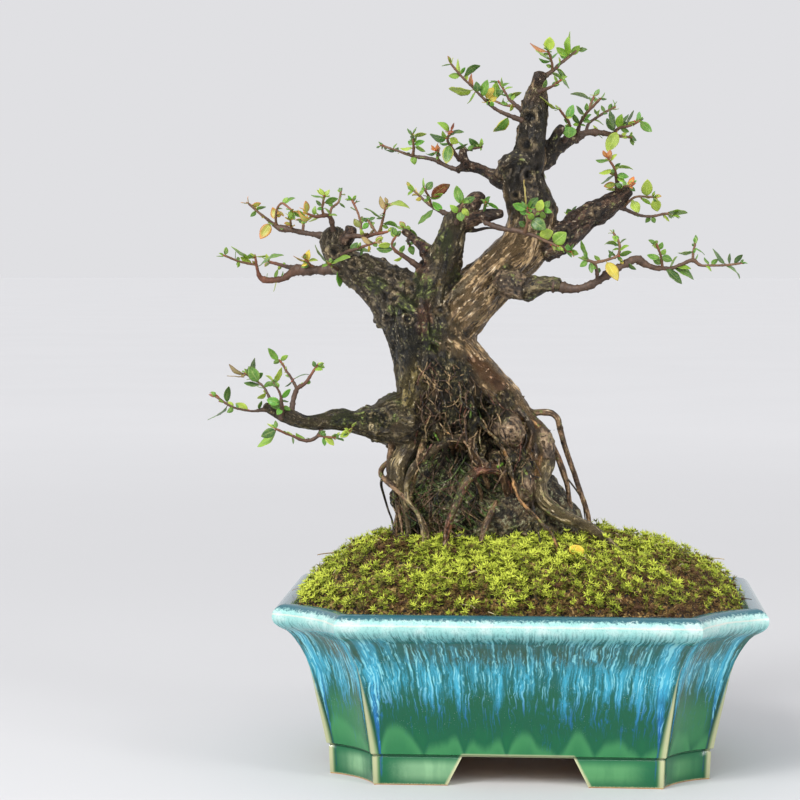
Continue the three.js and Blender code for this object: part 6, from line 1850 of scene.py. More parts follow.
sprays = {
    "low_left_tip": ([
        [(-134, 186, -14, 1.4), (-141, 185, -16, 0.6), (-147, 186, -18, 0.6), (-153, 187.5, -20, 0.6),
         (-160.5, 192.5, -22, 0.6)],
    ], [
        (-158.5, 191, -161.8, 194.5, 2), (-154.8, 189, -154, 198, 2.5), (-143, 186, -150.5, 189, 4),
        (-155, 187.8, -165, 180, 1.5, 1), (-138, 185.4, -136.8, 190.4, 1.6),
    ]),
    "low_left_fork": ([
        [(-121, 184, -13, 1.8), (-120, 191, -11, 1.4), (-118, 196.5, -8, 1.2), (-113.5, 200, -6, 0.9),
         (-107.5, 209, -2, 0.6)],
        [(-118, 196.5, -8, 1), (-121, 202, -4, 0.7), (-127, 211.5, 4, 0.6)],
    ], [
        (-127, 211.5, -133.5, 218, 3.2), (-127, 211.5, -122.8, 214.3, 2.6),
        (-119.8, 202, -111.5, 204, 0.9, 1), (-121, 200.5, -124.4, 198, 1),
    ]),
    "low_left_middle": ([
        [(-126, 181, -14, 1.8), (-126, 189, -18, 1), (-127.5, 195, -20, 0.6), (-130.5, 200.5, -22, 0.6)],
    ], [
        (-129, 199, -126, 208, 3), (-126, 191.5, -121.3, 196.5, 2.6), (-126, 189, -134, 191, 4.6),
        (-126.3, 187, -132, 187.8, 3), (-126, 186.5, -128.6, 183, 3.2), (-126, 187.6, -121.4, 185.5, 2.4),
        (-130.2, 199.5, -134.5, 198.6, 2),
    ]),
    "low_left_outer": ([
        [(-130.5, 185, -13, 1.6), (-133.5, 194, -10, 0.7), (-137, 199, -8, 0.6), (-145, 204.5, -5, 0.6)],
    ], [
        (-138, 199.6, -143.4, 208.5, 6), (-141, 202, -140.4, 213, 2.2), (-144, 204, -154, 209.5, 2.4),
        (-144.6, 204.3, -155, 203.6, 1.8), (-137, 199, -146, 199.6, 1.8), (-136, 198, -130, 199.4, 2.6),
        (-134, 195, -139, 191.5, 2), (-140.5, 202, -136, 205, 3.2),
    ]),
    "low_left_under": ([
        [(-105, 176.5, -12, 1.2), (-107, 172, -14, 1), (-113, 169.2, -15, 0.9), (-120, 171.5, -17, 0.7),
         (-129, 175.5, -20, 0.6)],
        [(-107, 172, -14, 0.8), (-103, 171.5, -17, 0.6), (-97, 171, -19, 0.6)],
    ], [
        (-128.5, 175.3, -137, 171.5, 5), (-129, 175.5, -138.6, 166, 5), (-113.5, 169.5, -118.6, 173.4, 1.8),
        (-107, 172, -103, 174.6, 2.8), (-103.5, 171.5, -98.6, 166.8, 3), (-104, 171.5, -103.4, 166.6, 2.4),
    ]),
    "low_left_inner": ([
        [(-88, 178, -12, 1), (-89.5, 175, -14.5, 0.6), (-91, 174, -16, 0.6)],
    ], [
        (-90, 175, -95.4, 171.2, 3.6),
    ]),
    "left_horizontal": ([
        [(-92, 261.5, 3, 3.6), (-100, 259.8, 3, 2.9), (-110, 259.2, 5, 2.5), (-117, 259.6, 7, 2.6),
         (-121, 257.6, 8, 2.1), (-125, 254.8, 9, 1.7), (-131, 253.8, 9, 1.5), (-137, 255, 8, 1.5),
         (-139, 260, 6, 0.9), (-140, 266, 4, 0.6)],
        [(-118.5, 259.8, 8, 1.8), (-124, 261.3, 12, 1.1), (-132.5, 263.5, 16, 0.8)],
        [(-139, 262, 6, 0.7), (-147, 263.2, 2, 0.6), (-156, 266.8, -3, 0.6)],
        [(-109, 260, 5, 0.8), (-113.6, 264.6, 1, 0.6)],
    ], [
        (-139.8, 265.6, -152.8, 271.6, 2.4), (-141, 262.6, -148, 266, 3), (-138.6, 261, -125, 267, 2.2),
        (-140, 266, -133.6, 266.6, 0.8), (-112.8, 263.8, -111.6, 270, 3.4),
        (-113.4, 264.4, -120, 266.6, 1.6), (-112.6, 263.8, -107, 264.4, 1.6),
        (-129.5, 254.8, -128, 259.6, 2.2), (-128.5, 253.4, -130.6, 248, 1),
    ]),
    "left_limb_front": ([
        [(-96, 259, -1, 1.2), (-99, 261, -6, 0.8), (-101.5, 262.5, -9, 0.6)],
    ], [
        (-101.5, 262.5, -108.2, 272.8, 1.8), (-101, 262.3, -89.6, 265.6, 2.6), (-97, 259.4, -95.6, 250.4, 3),
    ]),
    "knob_left": ([
        [(-99, 276.5, 8, 3.2), (-106, 277.6, 10, 2), (-114, 279, 12, 1.5), (-121, 280.3, 13, 1.2),
         (-127, 281.5, 14, 1.9), (-131, 284, 14, 1), (-137, 288.5, 13, 0.7), (-143.5, 294.2, 12, 0.6)],
        [(-129, 283, 14, 0.8), (-129, 290, 10, 0.6), (-126, 294.5, 6, 0.6), (-120.5, 290.4, 3, 0.6)],
        [(-115, 279.5, 12, 0.9), (-114.6, 285, 17, 0.6)],
        [(-121, 281, 13, 0.8), (-121.5, 286, 9, 0.6)],
    ], [
        (-131.6, 284.4, -137.4, 275.6, 6), (-129, 285.4, -131, 292.4, 4.4),
        (-129, 287.8, -126.4, 288.2, 2.2), (-140, 291, -134.4, 292.6, 1.4),
        (-139.5, 290.6, -142.6, 287.4, 2), (-142, 292.8, -137, 294.6, 2.2),
        (-126, 294.5, -122.6, 297.4, 2.2), (-125, 294, -119, 297.2, 1.8), (-120.6, 290.5, -113.4, 287, 3.8),
        (-121, 290.6, -119.4, 285.6, 2), (-121.4, 285.4, -122.6, 290, 1.6),
        (-114.8, 284, -117.6, 286.2, 1.4),
    ]),
    "knob_top": ([
        [(-98.5, 277, 4, 1.9), (-99.8, 285, 1, 1.4), (-102, 288.2, -1, 1.2), (-108, 287.4, -4, 0.8),
         (-112.6, 289, -6, 0.6)],
        [(-101, 287, -1, 0.9), (-99.6, 292, 3, 0.7), (-96, 295, 6, 0.6), (-95, 300, 8, 0.6)],
        [(-104, 288, -2, 0.8), (-104.6, 293, -6, 0.6), (-103.6, 298, -9, 0.6)],
    ], [
        (-109, 287.6, -117.6, 291, 3, 4), (-109, 287.6, -108.4, 293, 2.6), (-112.4, 289, -113.4, 295.8, 2.8),
        (-104.4, 294.4, -96.4, 296.8, 2.8), (-104.6, 293, -108, 296, 2), (-103.6, 297.6, -102.8, 300.6, 2.2),
        (-104, 297.6, -110.6, 298.8, 0.9), (-96, 295, -92.8, 292, 1.2), (-102, 288.2, -96.8, 287.6, 1.6),
        (-106, 287.6, -112, 284.8, 1.4, 0.8), (-104.5, 292, -107.5, 291.4, 2),
        (-99.4, 292.6, -101.6, 296, 2.4), (-110, 288.2, -112.6, 285.6, 1.4),
    ]),
    "knob_right": ([
        [(-92, 277, 2, 1.6), (-82, 277.2, -3, 1.1), (-76, 278.4, -6, 0.9), (-70.5, 279.4, -9, 0.7)],
        [(-75, 278.6, -6, 0.8), (-73.4, 284, -9, 0.7), (-71.6, 291, -12, 0.6), (-70.6, 294, -13, 0.6)],
        [(-76, 278.4, -6, 0.7), (-80.6, 285.4, -1, 0.6)],
        [(-84, 277.4, -2, 0.8), (-85, 287, 4, 0.6), (-89, 296, 9, 0.6)],
    ], [
        (-71.8, 290.4, -74, 298.4, 3.4), (-72, 289, -58.6, 291.4, 3.2, 4.6), (-73, 286, -83, 291.4, 2, -1.4),
        (-84.4, 281, -88, 286.4, 3.6), (-80, 284.4, -83.6, 281, 3), (-80.6, 285.4, -84, 286.4, 2),
        (-73.6, 283.6, -64.6, 281, 2, 2), (-73.4, 282.6, -69.8, 281.4, 2), (-89, 296, -91.2, 298.6, 1.6),
        (-89, 296, -86.8, 298.6, 1.8), (-88, 294, -84.8, 295.6, 0.9), (-83, 277.4, -84.6, 281, 2.2),
    ]),
    "knob_inner": ([
        [(-95, 267, -2, 1.2), (-90, 269.4, -6, 0.8), (-83, 271.6, -8, 0.7), (-77, 273.6, -10, 0.6)],
    ], [
        (-90, 269.4, -86, 273.8, 3.4), (-90, 269.4, -79, 269, 3.4), (-78, 273.2, -84.2, 276.6, 3),
        (-77.2, 273.6, -72.6, 276.6, 2.6), (-80, 272.4, -80.4, 268.8, 1.6), (-84, 271.2, -84.4, 266.8, 1.6),
    ]),
    "limb_fork": ([
        [(-53, 260.4, -8, 1.8), (-62, 266.6, -12, 1.1), (-66.4, 269.6, -14, 0.9), (-68, 273.4, -15, 0.7),
         (-66, 277, -16, 0.6)],
    ], [
        (-66.8, 270, -76.2, 270.6, 3.4), (-68, 273.4, -75.4, 272, 3), (-66, 276.6, -63.2, 280, 2.8),
        (-66.6, 276.4, -68.4, 280, 1.8), (-64, 268.2, -61.4, 272.4, 2.6), (-62, 266.6, -67, 264.2, 1.2),
    ]),
    "twig_stub": ([
        [(-58, 276.6, -2, 1.4), (-59.6, 274.6, 4, 0.8), (-58.4, 272.4, 8, 0.6)],
        [(-58, 276.6, -2, 1.2), (-60.6, 281.2, 2, 0.6)],
    ], [
        (-60.6, 281, -54.6, 276, 3, 1), (-58.4, 272.6, -56.8, 267.2, 3.8), (-60, 280, -66.6, 283, 2),
    ]),
    "middle_left": ([
        [(-37, 288, -8, 1.8), (-43, 290.6, -5, 1), (-47, 293, -3, 0.8), (-52, 297, 0, 0.7),
         (-57, 301.6, 3, 0.6)],
        [(-47, 293, -3, 0.7), (-48.4, 297, -7, 0.6), (-50.8, 302, -10, 0.6)],
    ], [
        (-46, 292.4, -54.2, 283.4, 3.2), (-55.4, 300.2, -59.8, 305.8, 2.6), (-50.4, 301, -46.6, 305.8, 3.8),
        (-50.8, 302, -51.2, 307.8, 1.2), (-48.4, 297, -37.4, 304.4, 4.8), (-48, 296, -41, 299.6, 2.6),
        (-52, 297, -55.6, 296.2, 2.2), (-41, 290, -46.6, 295.4, 3.6), (-53, 298, -51.4, 302, 2),
    ]),
    "middle_front": ([
        [(-34, 284, -17, 1.4), (-32.6, 289.6, -21, 0.8), (-30.4, 294.6, -23, 0.6)],
    ], [
        (-31.4, 293, -34, 303.8, 4.6), (-30.4, 294.6, -24.4, 297.6, 3.4), (-32.6, 290.4, -31.2, 285, 4.6),
        (-32.8, 289.4, -37.4, 293.6, 3.4), (-31.6, 292, -27.4, 288, 3.4),
    ]),
    "hook": ([
        [(-19.4, 290, -13, 1), (-18.6, 294.6, -16, 0.6)],
    ], [
        (-18.6, 294.6, -12, 291.4, 1.6, 1), (-18.8, 294, -20, 290, 1.4),
    ]),
    "centre": ([
        [(-19, 284.6, -14, 1.6), (-12, 281.6, -17, 1.3), (-3, 280, -20, 1.2), (5, 278.2, -22, 1.1),
         (13, 274.6, -24, 0.8), (19, 272, -25, 0.6)],
        [(2, 279, -22, 0.9), (3.6, 285, -25, 0.7), (3.4, 291.6, -27, 0.6)],
        [(3.6, 285, -25, 0.8), (8, 289, -24, 0.6), (12, 291.4, -22, 0.6)],
    ], [
        (3.4, 291, -4.4, 294, 4.2), (3.4, 291.6, 9, 297.4, 4), (3.6, 288.6, -0.8, 290.6, 2.6),
        (3.5, 290, 6.6, 285.8, 3.4), (8.6, 289.4, 11, 296.4, 4.6), (11.4, 291, 15.2, 295.6, 3.6),
        (5, 286.4, 13, 280.6, 7), (9, 276.6, 17, 279.6, 6), (16.6, 273, 23.8, 279, 7),
        (2.8, 282, -1, 284.8, 3.2), (8, 277.2, 14.4, 274.8, 3), (15.4, 273.4, 20.6, 269.4, 2.4),
        (11.6, 291.2, 16.4, 289.6, 2.6), (10, 290.2, 12.6, 286.6, 2.8), (3.5, 291, 2, 307, 1),
    ]),
    "right_limb_low": ([
        [(21, 271.5, -6, 1.2), (24, 269.6, -9, 0.7), (26, 269, -11, 0.6)],
    ], [
        (25, 269.4, 30.4, 267.6, 3.2), (23, 270.2, 26.6, 265.8, 1.4),
    ]),
    "right_limb_back": ([
        [(27, 283, 7, 1.2), (27, 286.6, 13, 0.7), (26.4, 287.6, 17, 0.6)],
    ], [
        (26.4, 287.4, 24.4, 291.6, 4), (27, 286.4, 29.4, 293, 1.6),
    ]),
    "left_upper": ([
        [(-32, 311.8, 11, 1.7), (-38, 313.6, 12, 1.4), (-44, 316.6, 13, 1.2), (-50, 318.2, 14, 1),
         (-58, 319.6, 15, 0.8), (-66, 322.4, 16, 0.6), (-73.5, 325, 17, 0.6)],
        [(-57, 319.6, 15, 0.9), (-56.6, 325, 12, 0.7), (-57, 330.4, 9, 0.6)],
        [(-43.4, 316.6, 13, 0.8), (-44.6, 322, 8, 0.6)],
    ], [
        (-56.6, 325, -50.8, 327.2, 3), (-56.8, 323.4, -63.6, 323.4, 2.6), (-56.6, 325.4, -59.6, 327.2, 2.8),
        (-56.6, 324, -50.4, 321.8, 2, 0.8), (-57, 319.6, -56, 314.8, 3.6), (-57, 330, -60, 333.8, 1.2),
        (-57, 330.2, -55, 334.6, 1), (-56.8, 329.6, -49.8, 331, 1.6), (-66, 322.4, -71.2, 322.4, 1.6),
        (-67, 322.8, -65.4, 326, 1), (-72, 324.4, -75, 327, 1), (-44.4, 321.6, -50.2, 320.6, 1.6, 0.8),
        (-44.6, 322, -47.4, 325, 1.4),
    ]),
    "left_upper_stub": ([
        [(-31, 320, 10, 1.3), (-28.6, 322.4, 13, 0.8), (-21, 324, 18, 0.6)],
    ], [
        (-22, 323.8, -27.4, 328.8, 3.4), (-27.6, 322.6, -33.4, 327, 1.6), (-22, 323.8, -20.6, 327, 1.8),
    ]),
    "left_upper_front": ([
        [(-32.4, 317, 5, 1.3), (-36, 323, 0, 0.8), (-38.6, 328, -4, 0.7), (-37, 332.4, -7, 0.6)],
    ], [
        (-38, 326, -39.4, 315.4, 6), (-37.2, 332, -44.2, 337, 3.6, -1), (-38.4, 329, -48.2, 330.6, 3.4),
        (-37, 332.4, -35.2, 336.8, 1.4), (-37.4, 331.4, -30, 332, 2), (-38.4, 329, -33, 326.2, 3.8),
        (-37.4, 325.6, -43, 326.4, 1.8), (-35.4, 322, -28, 325.8, 1.2), (-38.4, 327.4, -41.4, 332.6, 2),
    ]),
    "apex_left": ([
        [(1, 338, -5, 1.6), (-8, 341.5, -8, 1), (-15, 345.2, -10, 0.8), (-20, 350, -12, 0.7),
         (-26, 356, -14, 0.6), (-31.6, 361.6, -16, 0.6), (-36.8, 367.8, -18, 0.6)],
    ], [
        (-31.6, 361.6, -38.2, 361.6, 3.2), (-32, 362.4, -29.4, 366, 1.4), (-31, 361, -33.4, 370.6, 2.6),
        (-30.6, 360.8, -21.4, 367, 2.6, 1.4), (-24.6, 354.6, -38.2, 354.6, 3.4),
        (-23.6, 353.6, -28.4, 347, 1.6), (-22.6, 352.6, -23.6, 358.6, 4), (-25, 355, -26, 362.8, 2),
        (-20, 350, -17.6, 359.6, 4.4), (-18.6, 348.8, -14.4, 355.6, 4), (-17.4, 347.8, -12.6, 350.4, 3),
        (-6, 340.7, -14.6, 332, 5), (-19.6, 349.6, -14.8, 347.6, 1.6),
    ]),
    "apex_back": ([
        [(1, 343, 5, 1.6), (-6, 349, 10, 0.8), (-9.4, 354.6, 14, 0.6), (-11.6, 358.4, 16, 0.6)],
        [(-2, 345.6, 7, 0.9), (-9, 346.4, 11, 0.6), (-15, 349, 14, 0.6)],
    ], [
        (-7.4, 351.4, -2.4, 350.4, 3), (-6.6, 350, 0.2, 353, 2), (-9.4, 354.6, -10.2, 360.8, 1.6),
        (-10, 355.8, -6, 357.8, 1.8), (-9, 354, -4.4, 355.8, 1.2), (-13.6, 348.4, -13, 358.4, 5.4),
        (-14, 348.6, -17.6, 352.4, 3), (-8.4, 353, -13.6, 352.8, 3.4), (-4, 347.2, -6, 343, 1.8),
    ]),
    "apex_right": ([
        [(9.5, 359, 2, 1.6), (17, 364.5, 3, 1), (22, 369, 4, 0.8), (29.6, 375, 5, 0.6)],
        [(16.5, 364.4, 3, 0.8), (16, 369, 0, 0.6), (14.4, 374.6, -3, 0.6)],
    ], [
        (14.6, 374, 15.2, 382.2, 5.8), (14.6, 374, 4.6, 378.6, 2.4), (15.6, 370.4, 7.6, 375.4, 1.4),
        (16, 369, 9.4, 370.8, 1.4), (15.8, 369.8, 19.8, 373.8, 1.4), (16.2, 366, 13.2, 367.4, 2),
        (25, 371.4, 25.4, 382.4, 4), (25.4, 371.6, 18.6, 376.6, 3.6), (26, 372.2, 31, 377.6, 3.8),
        (24, 370.6, 20.4, 373.6, 2.8), (27, 373, 25.8, 385, 1.6), (18, 365.4, 25.6, 355, 2.4),
        (18, 365.4, 24.2, 361.2, 1.8), (15.4, 363.2, 22, 360.6, 1.6),
    ]),
    "apex_low_right": ([
        [(9, 353, -4, 1.3), (16, 355.8, -9, 0.7), (20.6, 359, -12, 0.6)],
    ], [
        (12, 354.2, 13.4, 359.6, 2.2), (19.6, 358.2, 17.4, 361.6, 1.6), (16, 355.8, 20.4, 357, 1.8),
    ]),
    "upper_right": ([
        [(28, 328, 11, 2.4), (35, 331.6, 13, 1.9), (45, 331, 15, 1.7), (51, 330, 16, 1),
         (57.5, 329.2, 17, 0.7)],
        [(34, 331.4, 12.5, 1.1), (36, 336.6, 15, 0.8), (42, 341, 18, 0.7), (49, 344.8, 21, 0.6)],
        [(48, 330.6, 15, 1), (52, 334, 11, 0.8), (58, 335.6, 8, 0.6), (62.4, 337.8, 6, 0.6)],
    ], [
        (44.4, 342.4, 42.2, 346, 2), (46, 343.2, 47.6, 347, 2), (41.4, 340.6, 38.6, 344.2, 1.4),
        (40, 339.6, 41.6, 343.8, 1.6), (38, 338.2, 43.6, 335.8, 1), (50, 332.4, 47, 343.6, 3.2),
        (51, 333.2, 53.4, 341.6, 4.4), (49.4, 332, 45.2, 339.4, 4), (53.6, 334.4, 56.6, 341.4, 2.2),
        (56, 335.2, 60.4, 338, 2.4), (60, 336.6, 63.2, 341, 1.6), (55.4, 335, 59.4, 343.4, 1.2),
        (62.2, 337.6, 69, 332.2, 4.4), (55.4, 330.6, 61, 327.6, 2.8), (51.2, 333.2, 45.4, 321.6, 6.8),
        (52, 334, 57, 332, 2.4), (41.6, 331.2, 38, 335.6, 2),
    ]),
    "upper_right_top": ([
        [(29, 329, 11, 1.4), (31, 336, 6, 0.9), (34, 341.5, 3, 0.8), (41.6, 349.4, -2, 0.7)],
        [(35, 342.6, 3, 0.7), (38.4, 350.6, 6, 0.6)],
    ], [
        (31, 336.6, 27, 341.8, 2.6), (33.6, 340.8, 29, 345.8, 2.6), (32.6, 339, 37.2, 341.2, 2.2),
        (31, 336.6, 27.4, 335.8, 2), (32, 338, 36.8, 337.4, 2.2), (37.6, 349, 26, 352.2, 1.8, -1),
    ]),
    "upper_right_inner": ([
        [(21, 324.4, 7, 1.5), (24.6, 331, 5, 1.1), (25.4, 336, 2, 0.8), (20, 344.4, -5, 0.6)],
    ], [
        (20.2, 344, 10, 350.8, 1.8), (25.6, 335.6, 25, 329, 8), (24, 338, 27.6, 346.4, 4.4),
    ]),
    "right_limb_top": ([
        [(51, 299, 4, 1.6), (50.4, 307, 0, 1), (49, 313, -3, 0.7), (46, 318, -5, 0.6)],
        [(51.6, 301, 4, 1), (54.6, 303, -2, 0.7), (58, 303.6, -5, 0.6)],
    ], [
        (46, 318, 43.2, 322.4, 2), (46.8, 316.8, 39.4, 317.2, 1.8), (47, 316.4, 50.6, 320.4, 1.8),
        (49, 313, 52.4, 315.6, 1.6), (49.4, 312.2, 59, 312, 1.6, 2.4), (49.4, 312, 41, 310.4, 2.6),
        (50, 310, 42, 305, 1.6), (50.2, 309, 56.8, 308.4, 3), (50.4, 308, 55, 305.6, 2.6),
        (57, 303.4, 59.6, 308.4, 2.4), (50.6, 305, 43.6, 303.4, 3.4), (54, 302.8, 49.6, 304.8, 2.8),
        (54.6, 303, 54.4, 306.4, 2.2), (50.9, 302, 45, 301.8, 1.8), (57, 303.4, 60.2, 300.8, 2.2),
    ]),
    "right_limb_right": ([
        [(51, 293.4, 4, 1.8), (57, 290.4, 7, 1.2), (63, 288, 9, 0.8), (69, 287.6, 11, 0.7),
         (76, 289, 12, 0.7), (79.4, 288, 13, 0.6)],
        [(54, 292.4, 5, 0.8), (60, 297.6, 2, 0.6), (70, 297.8, -1, 0.6)],
    ], [
        (58.4, 296.2, 62, 289.4, 5.2), (63, 297.6, 68.4, 293.6, 1.8), (70, 297.8, 72, 290.2, 5.4),
        (66, 297.7, 66.6, 307.2, 6), (76.4, 289, 87.8, 289.4, 2.2, 1.2), (68.4, 287.8, 65.6, 284.2, 2.6),
        (68.8, 287.6, 70.6, 284.2, 2.6), (69, 297.8, 70.6, 301, 1.2),
    ]),
    "lower_right": ([
        [(17, 251.4, -16, 3.6), (25, 249.6, -17, 2.4), (30, 249.5, -18, 2), (36, 251.2, -18, 2.1),
         (41, 254, -18, 2.3), (50, 259.6, -17, 2), (56, 263.2, -16, 2), (60.5, 265, -15, 2.2),
         (65.5, 262.3, -14, 1.6), (71, 260.4, -13, 1.3), (79, 260.2, -11, 1.1), (85, 262.3, -10, 0.9),
         (90.5, 264.2, -9, 1.1), (95, 261.8, -8, 0.7), (106, 261.7, -6, 0.6), (115.6, 262.8, -4, 0.6)],
        [(74.5, 260.4, -12, 0.8), (73.6, 267, -16, 0.6), (71.4, 273, -19, 0.6)],
        [(90.5, 264.2, -9, 0.8), (90.8, 269, -5, 0.6), (91.8, 273.4, -2, 0.6)],
        [(40, 252.8, -18, 1.4), (40, 259, -21, 0.9), (38.6, 263, -23, 0.8), (34.6, 264.6, -24, 0.7)],
        [(38.6, 263, -23, 0.8), (45, 264.6, -20, 0.7), (51, 267, -18, 0.7), (51.8, 273, -15, 0.7),
         (49, 278.4, -12, 0.6)],
    ], [
        (44.6, 264.4, 51, 253.5, 6), (55, 262.6, 60.6, 259.4, 2), (73.8, 265.8, 66.4, 267, 2.8),
        (74.4, 262, 69.4, 266, 3.6), (73.6, 266.6, 79.8, 264.2, 3.8), (72.6, 269.6, 74.6, 274, 2.8),
        (78, 260.2, 82.4, 266.4, 1.6), (80, 260.6, 91, 254.2, 3.6), (81, 260.8, 89.6, 259.6, 1.8),
        (75, 260.3, 84.6, 251.8, 3.8), (90.8, 269, 82.6, 268.6, 1.8), (91.2, 271, 96.6, 267, 0.9),
        (99, 261.8, 96.6, 266, 2), (100, 261.8, 103.6, 265, 2.6), (97, 261.8, 100.4, 258.6, 1.4),
        (108.6, 262, 100.8, 270.4, 3), (112, 262.4, 116.8, 267.4, 2.6), (110, 262.2, 110, 268, 1.8),
        (107.6, 261.8, 115.4, 254.8, 1.8), (36, 264, 32, 275, 1.6), (35.4, 264.4, 31, 261, 3),
        (36.4, 264, 37.4, 257.6, 2.6), (42, 264, 38.6, 267, 2), (40, 257, 41.4, 260.4, 2.4),
        (51.6, 272, 44, 272.4, 2, -2), (51.8, 273, 55.4, 275.8, 1.2), (51, 267, 58.4, 268.6, 2.4),
        (51.4, 269, 57, 272, 1.4), (50, 266.6, 46, 269.6, 1.8), (50.6, 266.8, 53.6, 263.4, 2),
        (46.4, 265, 48.6, 269, 1.6),
    ]),
    "back_upper": ([
        [(3, 300, 10, 2), (2, 306, 18, 1.2), (5, 311, 26, 0.8), (3, 318, 33, 0.6)],
        [(3.4, 308.5, 22, 0.9), (8, 314, 27, 0.6)],
    ], [
        (3, 318, -3, 325.4, 3.6), (3.6, 316, 10.4, 322, 2), (8, 314, 13.4, 307.6, 1.2),
        (8, 314, 14.2, 319.6, 3.2), (2.6, 308, -5.6, 312, 2), (4.6, 311, -3.6, 316, 1.2),
        (3, 307.6, 7.6, 300.4, 3.2), (2.2, 306.6, -5.6, 302.4, 2),
    ]),
    "back_left": ([
        [(-66, 244, 12, 2.2), (-67, 246, 22, 1.3), (-71, 249, 31, 0.9), (-72, 255, 40, 0.6)],
        [(-69, 247.5, 26.5, 0.9), (-62, 248, 33, 0.6)],
    ], [
        (-72, 255, -79, 261, 3.4), (-72, 254.6, -65, 259.6, 2), (-71, 249.6, -79, 246.4, 1.2),
        (-70.6, 248.8, -67, 241, 3.2), (-62, 248, -55, 243.6, 2), (-62, 248, -58.6, 256, 1.2),
        (-66.6, 247.8, -62.6, 240.6, 3.2), (-67, 246, -75, 241.8, 2),
    ]),
    "back_right": ([
        [(-6, 264, 10, 2), (-4, 266, 20, 1.2), (1, 270, 29, 0.8), (2, 276, 37, 0.6)],
    ], [
        (2, 276, -4.6, 282, 3.4), (2, 275.4, 8.6, 281, 2), (1.2, 271, -7, 273, 1.2), (1, 270, 8.4, 266, 3.4),
        (-2, 267.6, -9.4, 271.6, 2), (-3.6, 266.4, -0.4, 258.6, 1.2), (-4.4, 265.6, -12.4, 263.4, 3.2),
    ]),
}

spray = {
    "twigSides": 9,
    "spread": 1.6,
    "leafLean": 1.2,
    "narrowest": 0.5,
    "blade": 0.32,
    "largeSteps": (15, 6),
    "smallSteps": (10, 4),
    "serration": 0.03,
    "petiole": 0.12,
    "smallLeaf": (2.6, 5.4),
    "tintReach": 2.2,
    "smallTintReach": 5,
}
# Leaf colours: blade, rim and how far the rim's colour reaches in
leafTones = {
    "fresh": (shade(120, 164, 40), shade(142, 178, 56), 0.4),
    "mid": (shade(84, 136, 34), shade(106, 152, 48), 0.4),
    "deep": (shade(50, 100, 30), shade(72, 120, 42), 0.4),
    "lime": (shade(164, 190, 58), shade(184, 200, 80), 0.4),
    "bright": (shade(84, 158, 36), shade(120, 182, 66), 0.5),
    "yellow": (shade(214, 192, 62), shade(206, 168, 56), 0.6),
    "olive": (shade(128, 132, 44), shade(112, 100, 40), 0.5),
    "tan": (shade(176, 148, 98), shade(128, 94, 58), 0.6),
    "russet": (shade(134, 66, 44), shade(98, 44, 32), 0.6),
    "orange": (shade(214, 128, 58), shade(196, 84, 44), 0.8),
    "red": (shade(170, 62, 42), shade(132, 40, 34), 0.8),
    "redRim": (shade(146, 170, 52), shade(188, 82, 44), 0.85),
    "orangeRim": (shade(176, 172, 62), shade(214, 124, 46), 0.95),
    "yellowTip": (shade(78, 130, 36), shade(214, 200, 70), 0.5),
}
# Tones of single leaves, by the middle of the leaf as seen
leafTints = {
    "yellow": [(47.8, 259), (-16.5, 350.7), (-54.3, 297.3), (-112.5, 267.2), (-79.3, 271), (4, 298)],
    "lime": [
        (48.2, 327.5), (60, 294.2), (71, 294.7), (66.5, 303.3), (14.8, 378), (-31.5, 354), (-65, 290.2),
        (-144, 264), (-127.5, 203), (-92.3, 173.8), (-103, 298.7),
    ],
    "olive": [(-87.5, 283)],
    "tan": [(-73.3, 294.2), (-149.5, 208.7), (-150, 204), (-80, 273)],
    "russet": [(-42, 301.8)],
    "orange": [(58.3, 306.5), (44.7, 320), (8.3, 377.8), (-24, 360.5), (-46, 323.8)],
    "redRim": [(47, 304.7)],
    "red": [(-36, 333.5), (-160.2, 192), (-141.3, 210.5)],
    "orangeRim": [
        (-134.5, 280), (-129.5, 288.5), (-139.5, 293.2), (-113.3, 291), (-121.5, 285), (-113, 288.7),
        (-117, 266),
    ],
    "yellowTip": [(-10.3, 335.8), (-39, 320.3)],
    "bright": [(25, 332.8), (3, 290), (9, 288), (-4, 286)],
}
tintedPlaces = [(x, z, tone) for tone, places in leafTints.items() for x, z in places]
commonTones = ("fresh", "mid", "mid", "fresh", "lime", "mid", "deep", "bright", "fresh", "deep")
twigTones = {
    "old": shade(72, 54, 42),
    "young": shade(120, 88, 62),
    "shoot": shade(138, 80, 54),
    "bud": shade(172, 58, 44),
}


def nearestOn(twigs, x, z):
    best = None
    for points in twigs:
        for a, b in zip(points, points[1:]):
            dx, dz = b[0] - a[0], b[1] - a[1]
            t = ((x - a[0]) * dx + (z - a[1]) * dz) / (dx * dx + dz * dz)
            t = min(1, max(0, t))
            px, pz = a[0] + t * dx, a[1] + t * dz
            gap = math.hypot(x - px, z - pz)
            if best is None or gap < best[3]:
                best = (px, pz, a[2] + t * (b[2] - a[2]), gap)
    return best


def straighten(points):
    # the lists are read on an even grid of the photo; this turns them into places at the depth
    # of the trunk
    points = np.atleast_2d(np.array(points, float))
    focal = view["lens"] / view["sensor"] * view["picture"]
    right, below = view["zeroAt"]
    across = (points[:, 0] / view["pixel"] + right) / focal
    up = (points[:, 1] / view["pixel"] - below) / focal
    tilted = math.cos(view["pitch"]) + up * math.sin(view["pitch"])
    rise = up * math.cos(view["pitch"]) - math.sin(view["pitch"])
    turnX = across * math.cos(view["yaw"]) - tilted * math.sin(view["yaw"])
    turnY = tilted * math.cos(view["yaw"]) + across * math.sin(view["yaw"])
    points[:, 0] = eye[0] - eye[1] * turnX / turnY
    points[:, 1] = eye[2] - eye[1] * rise / turnY
    return points


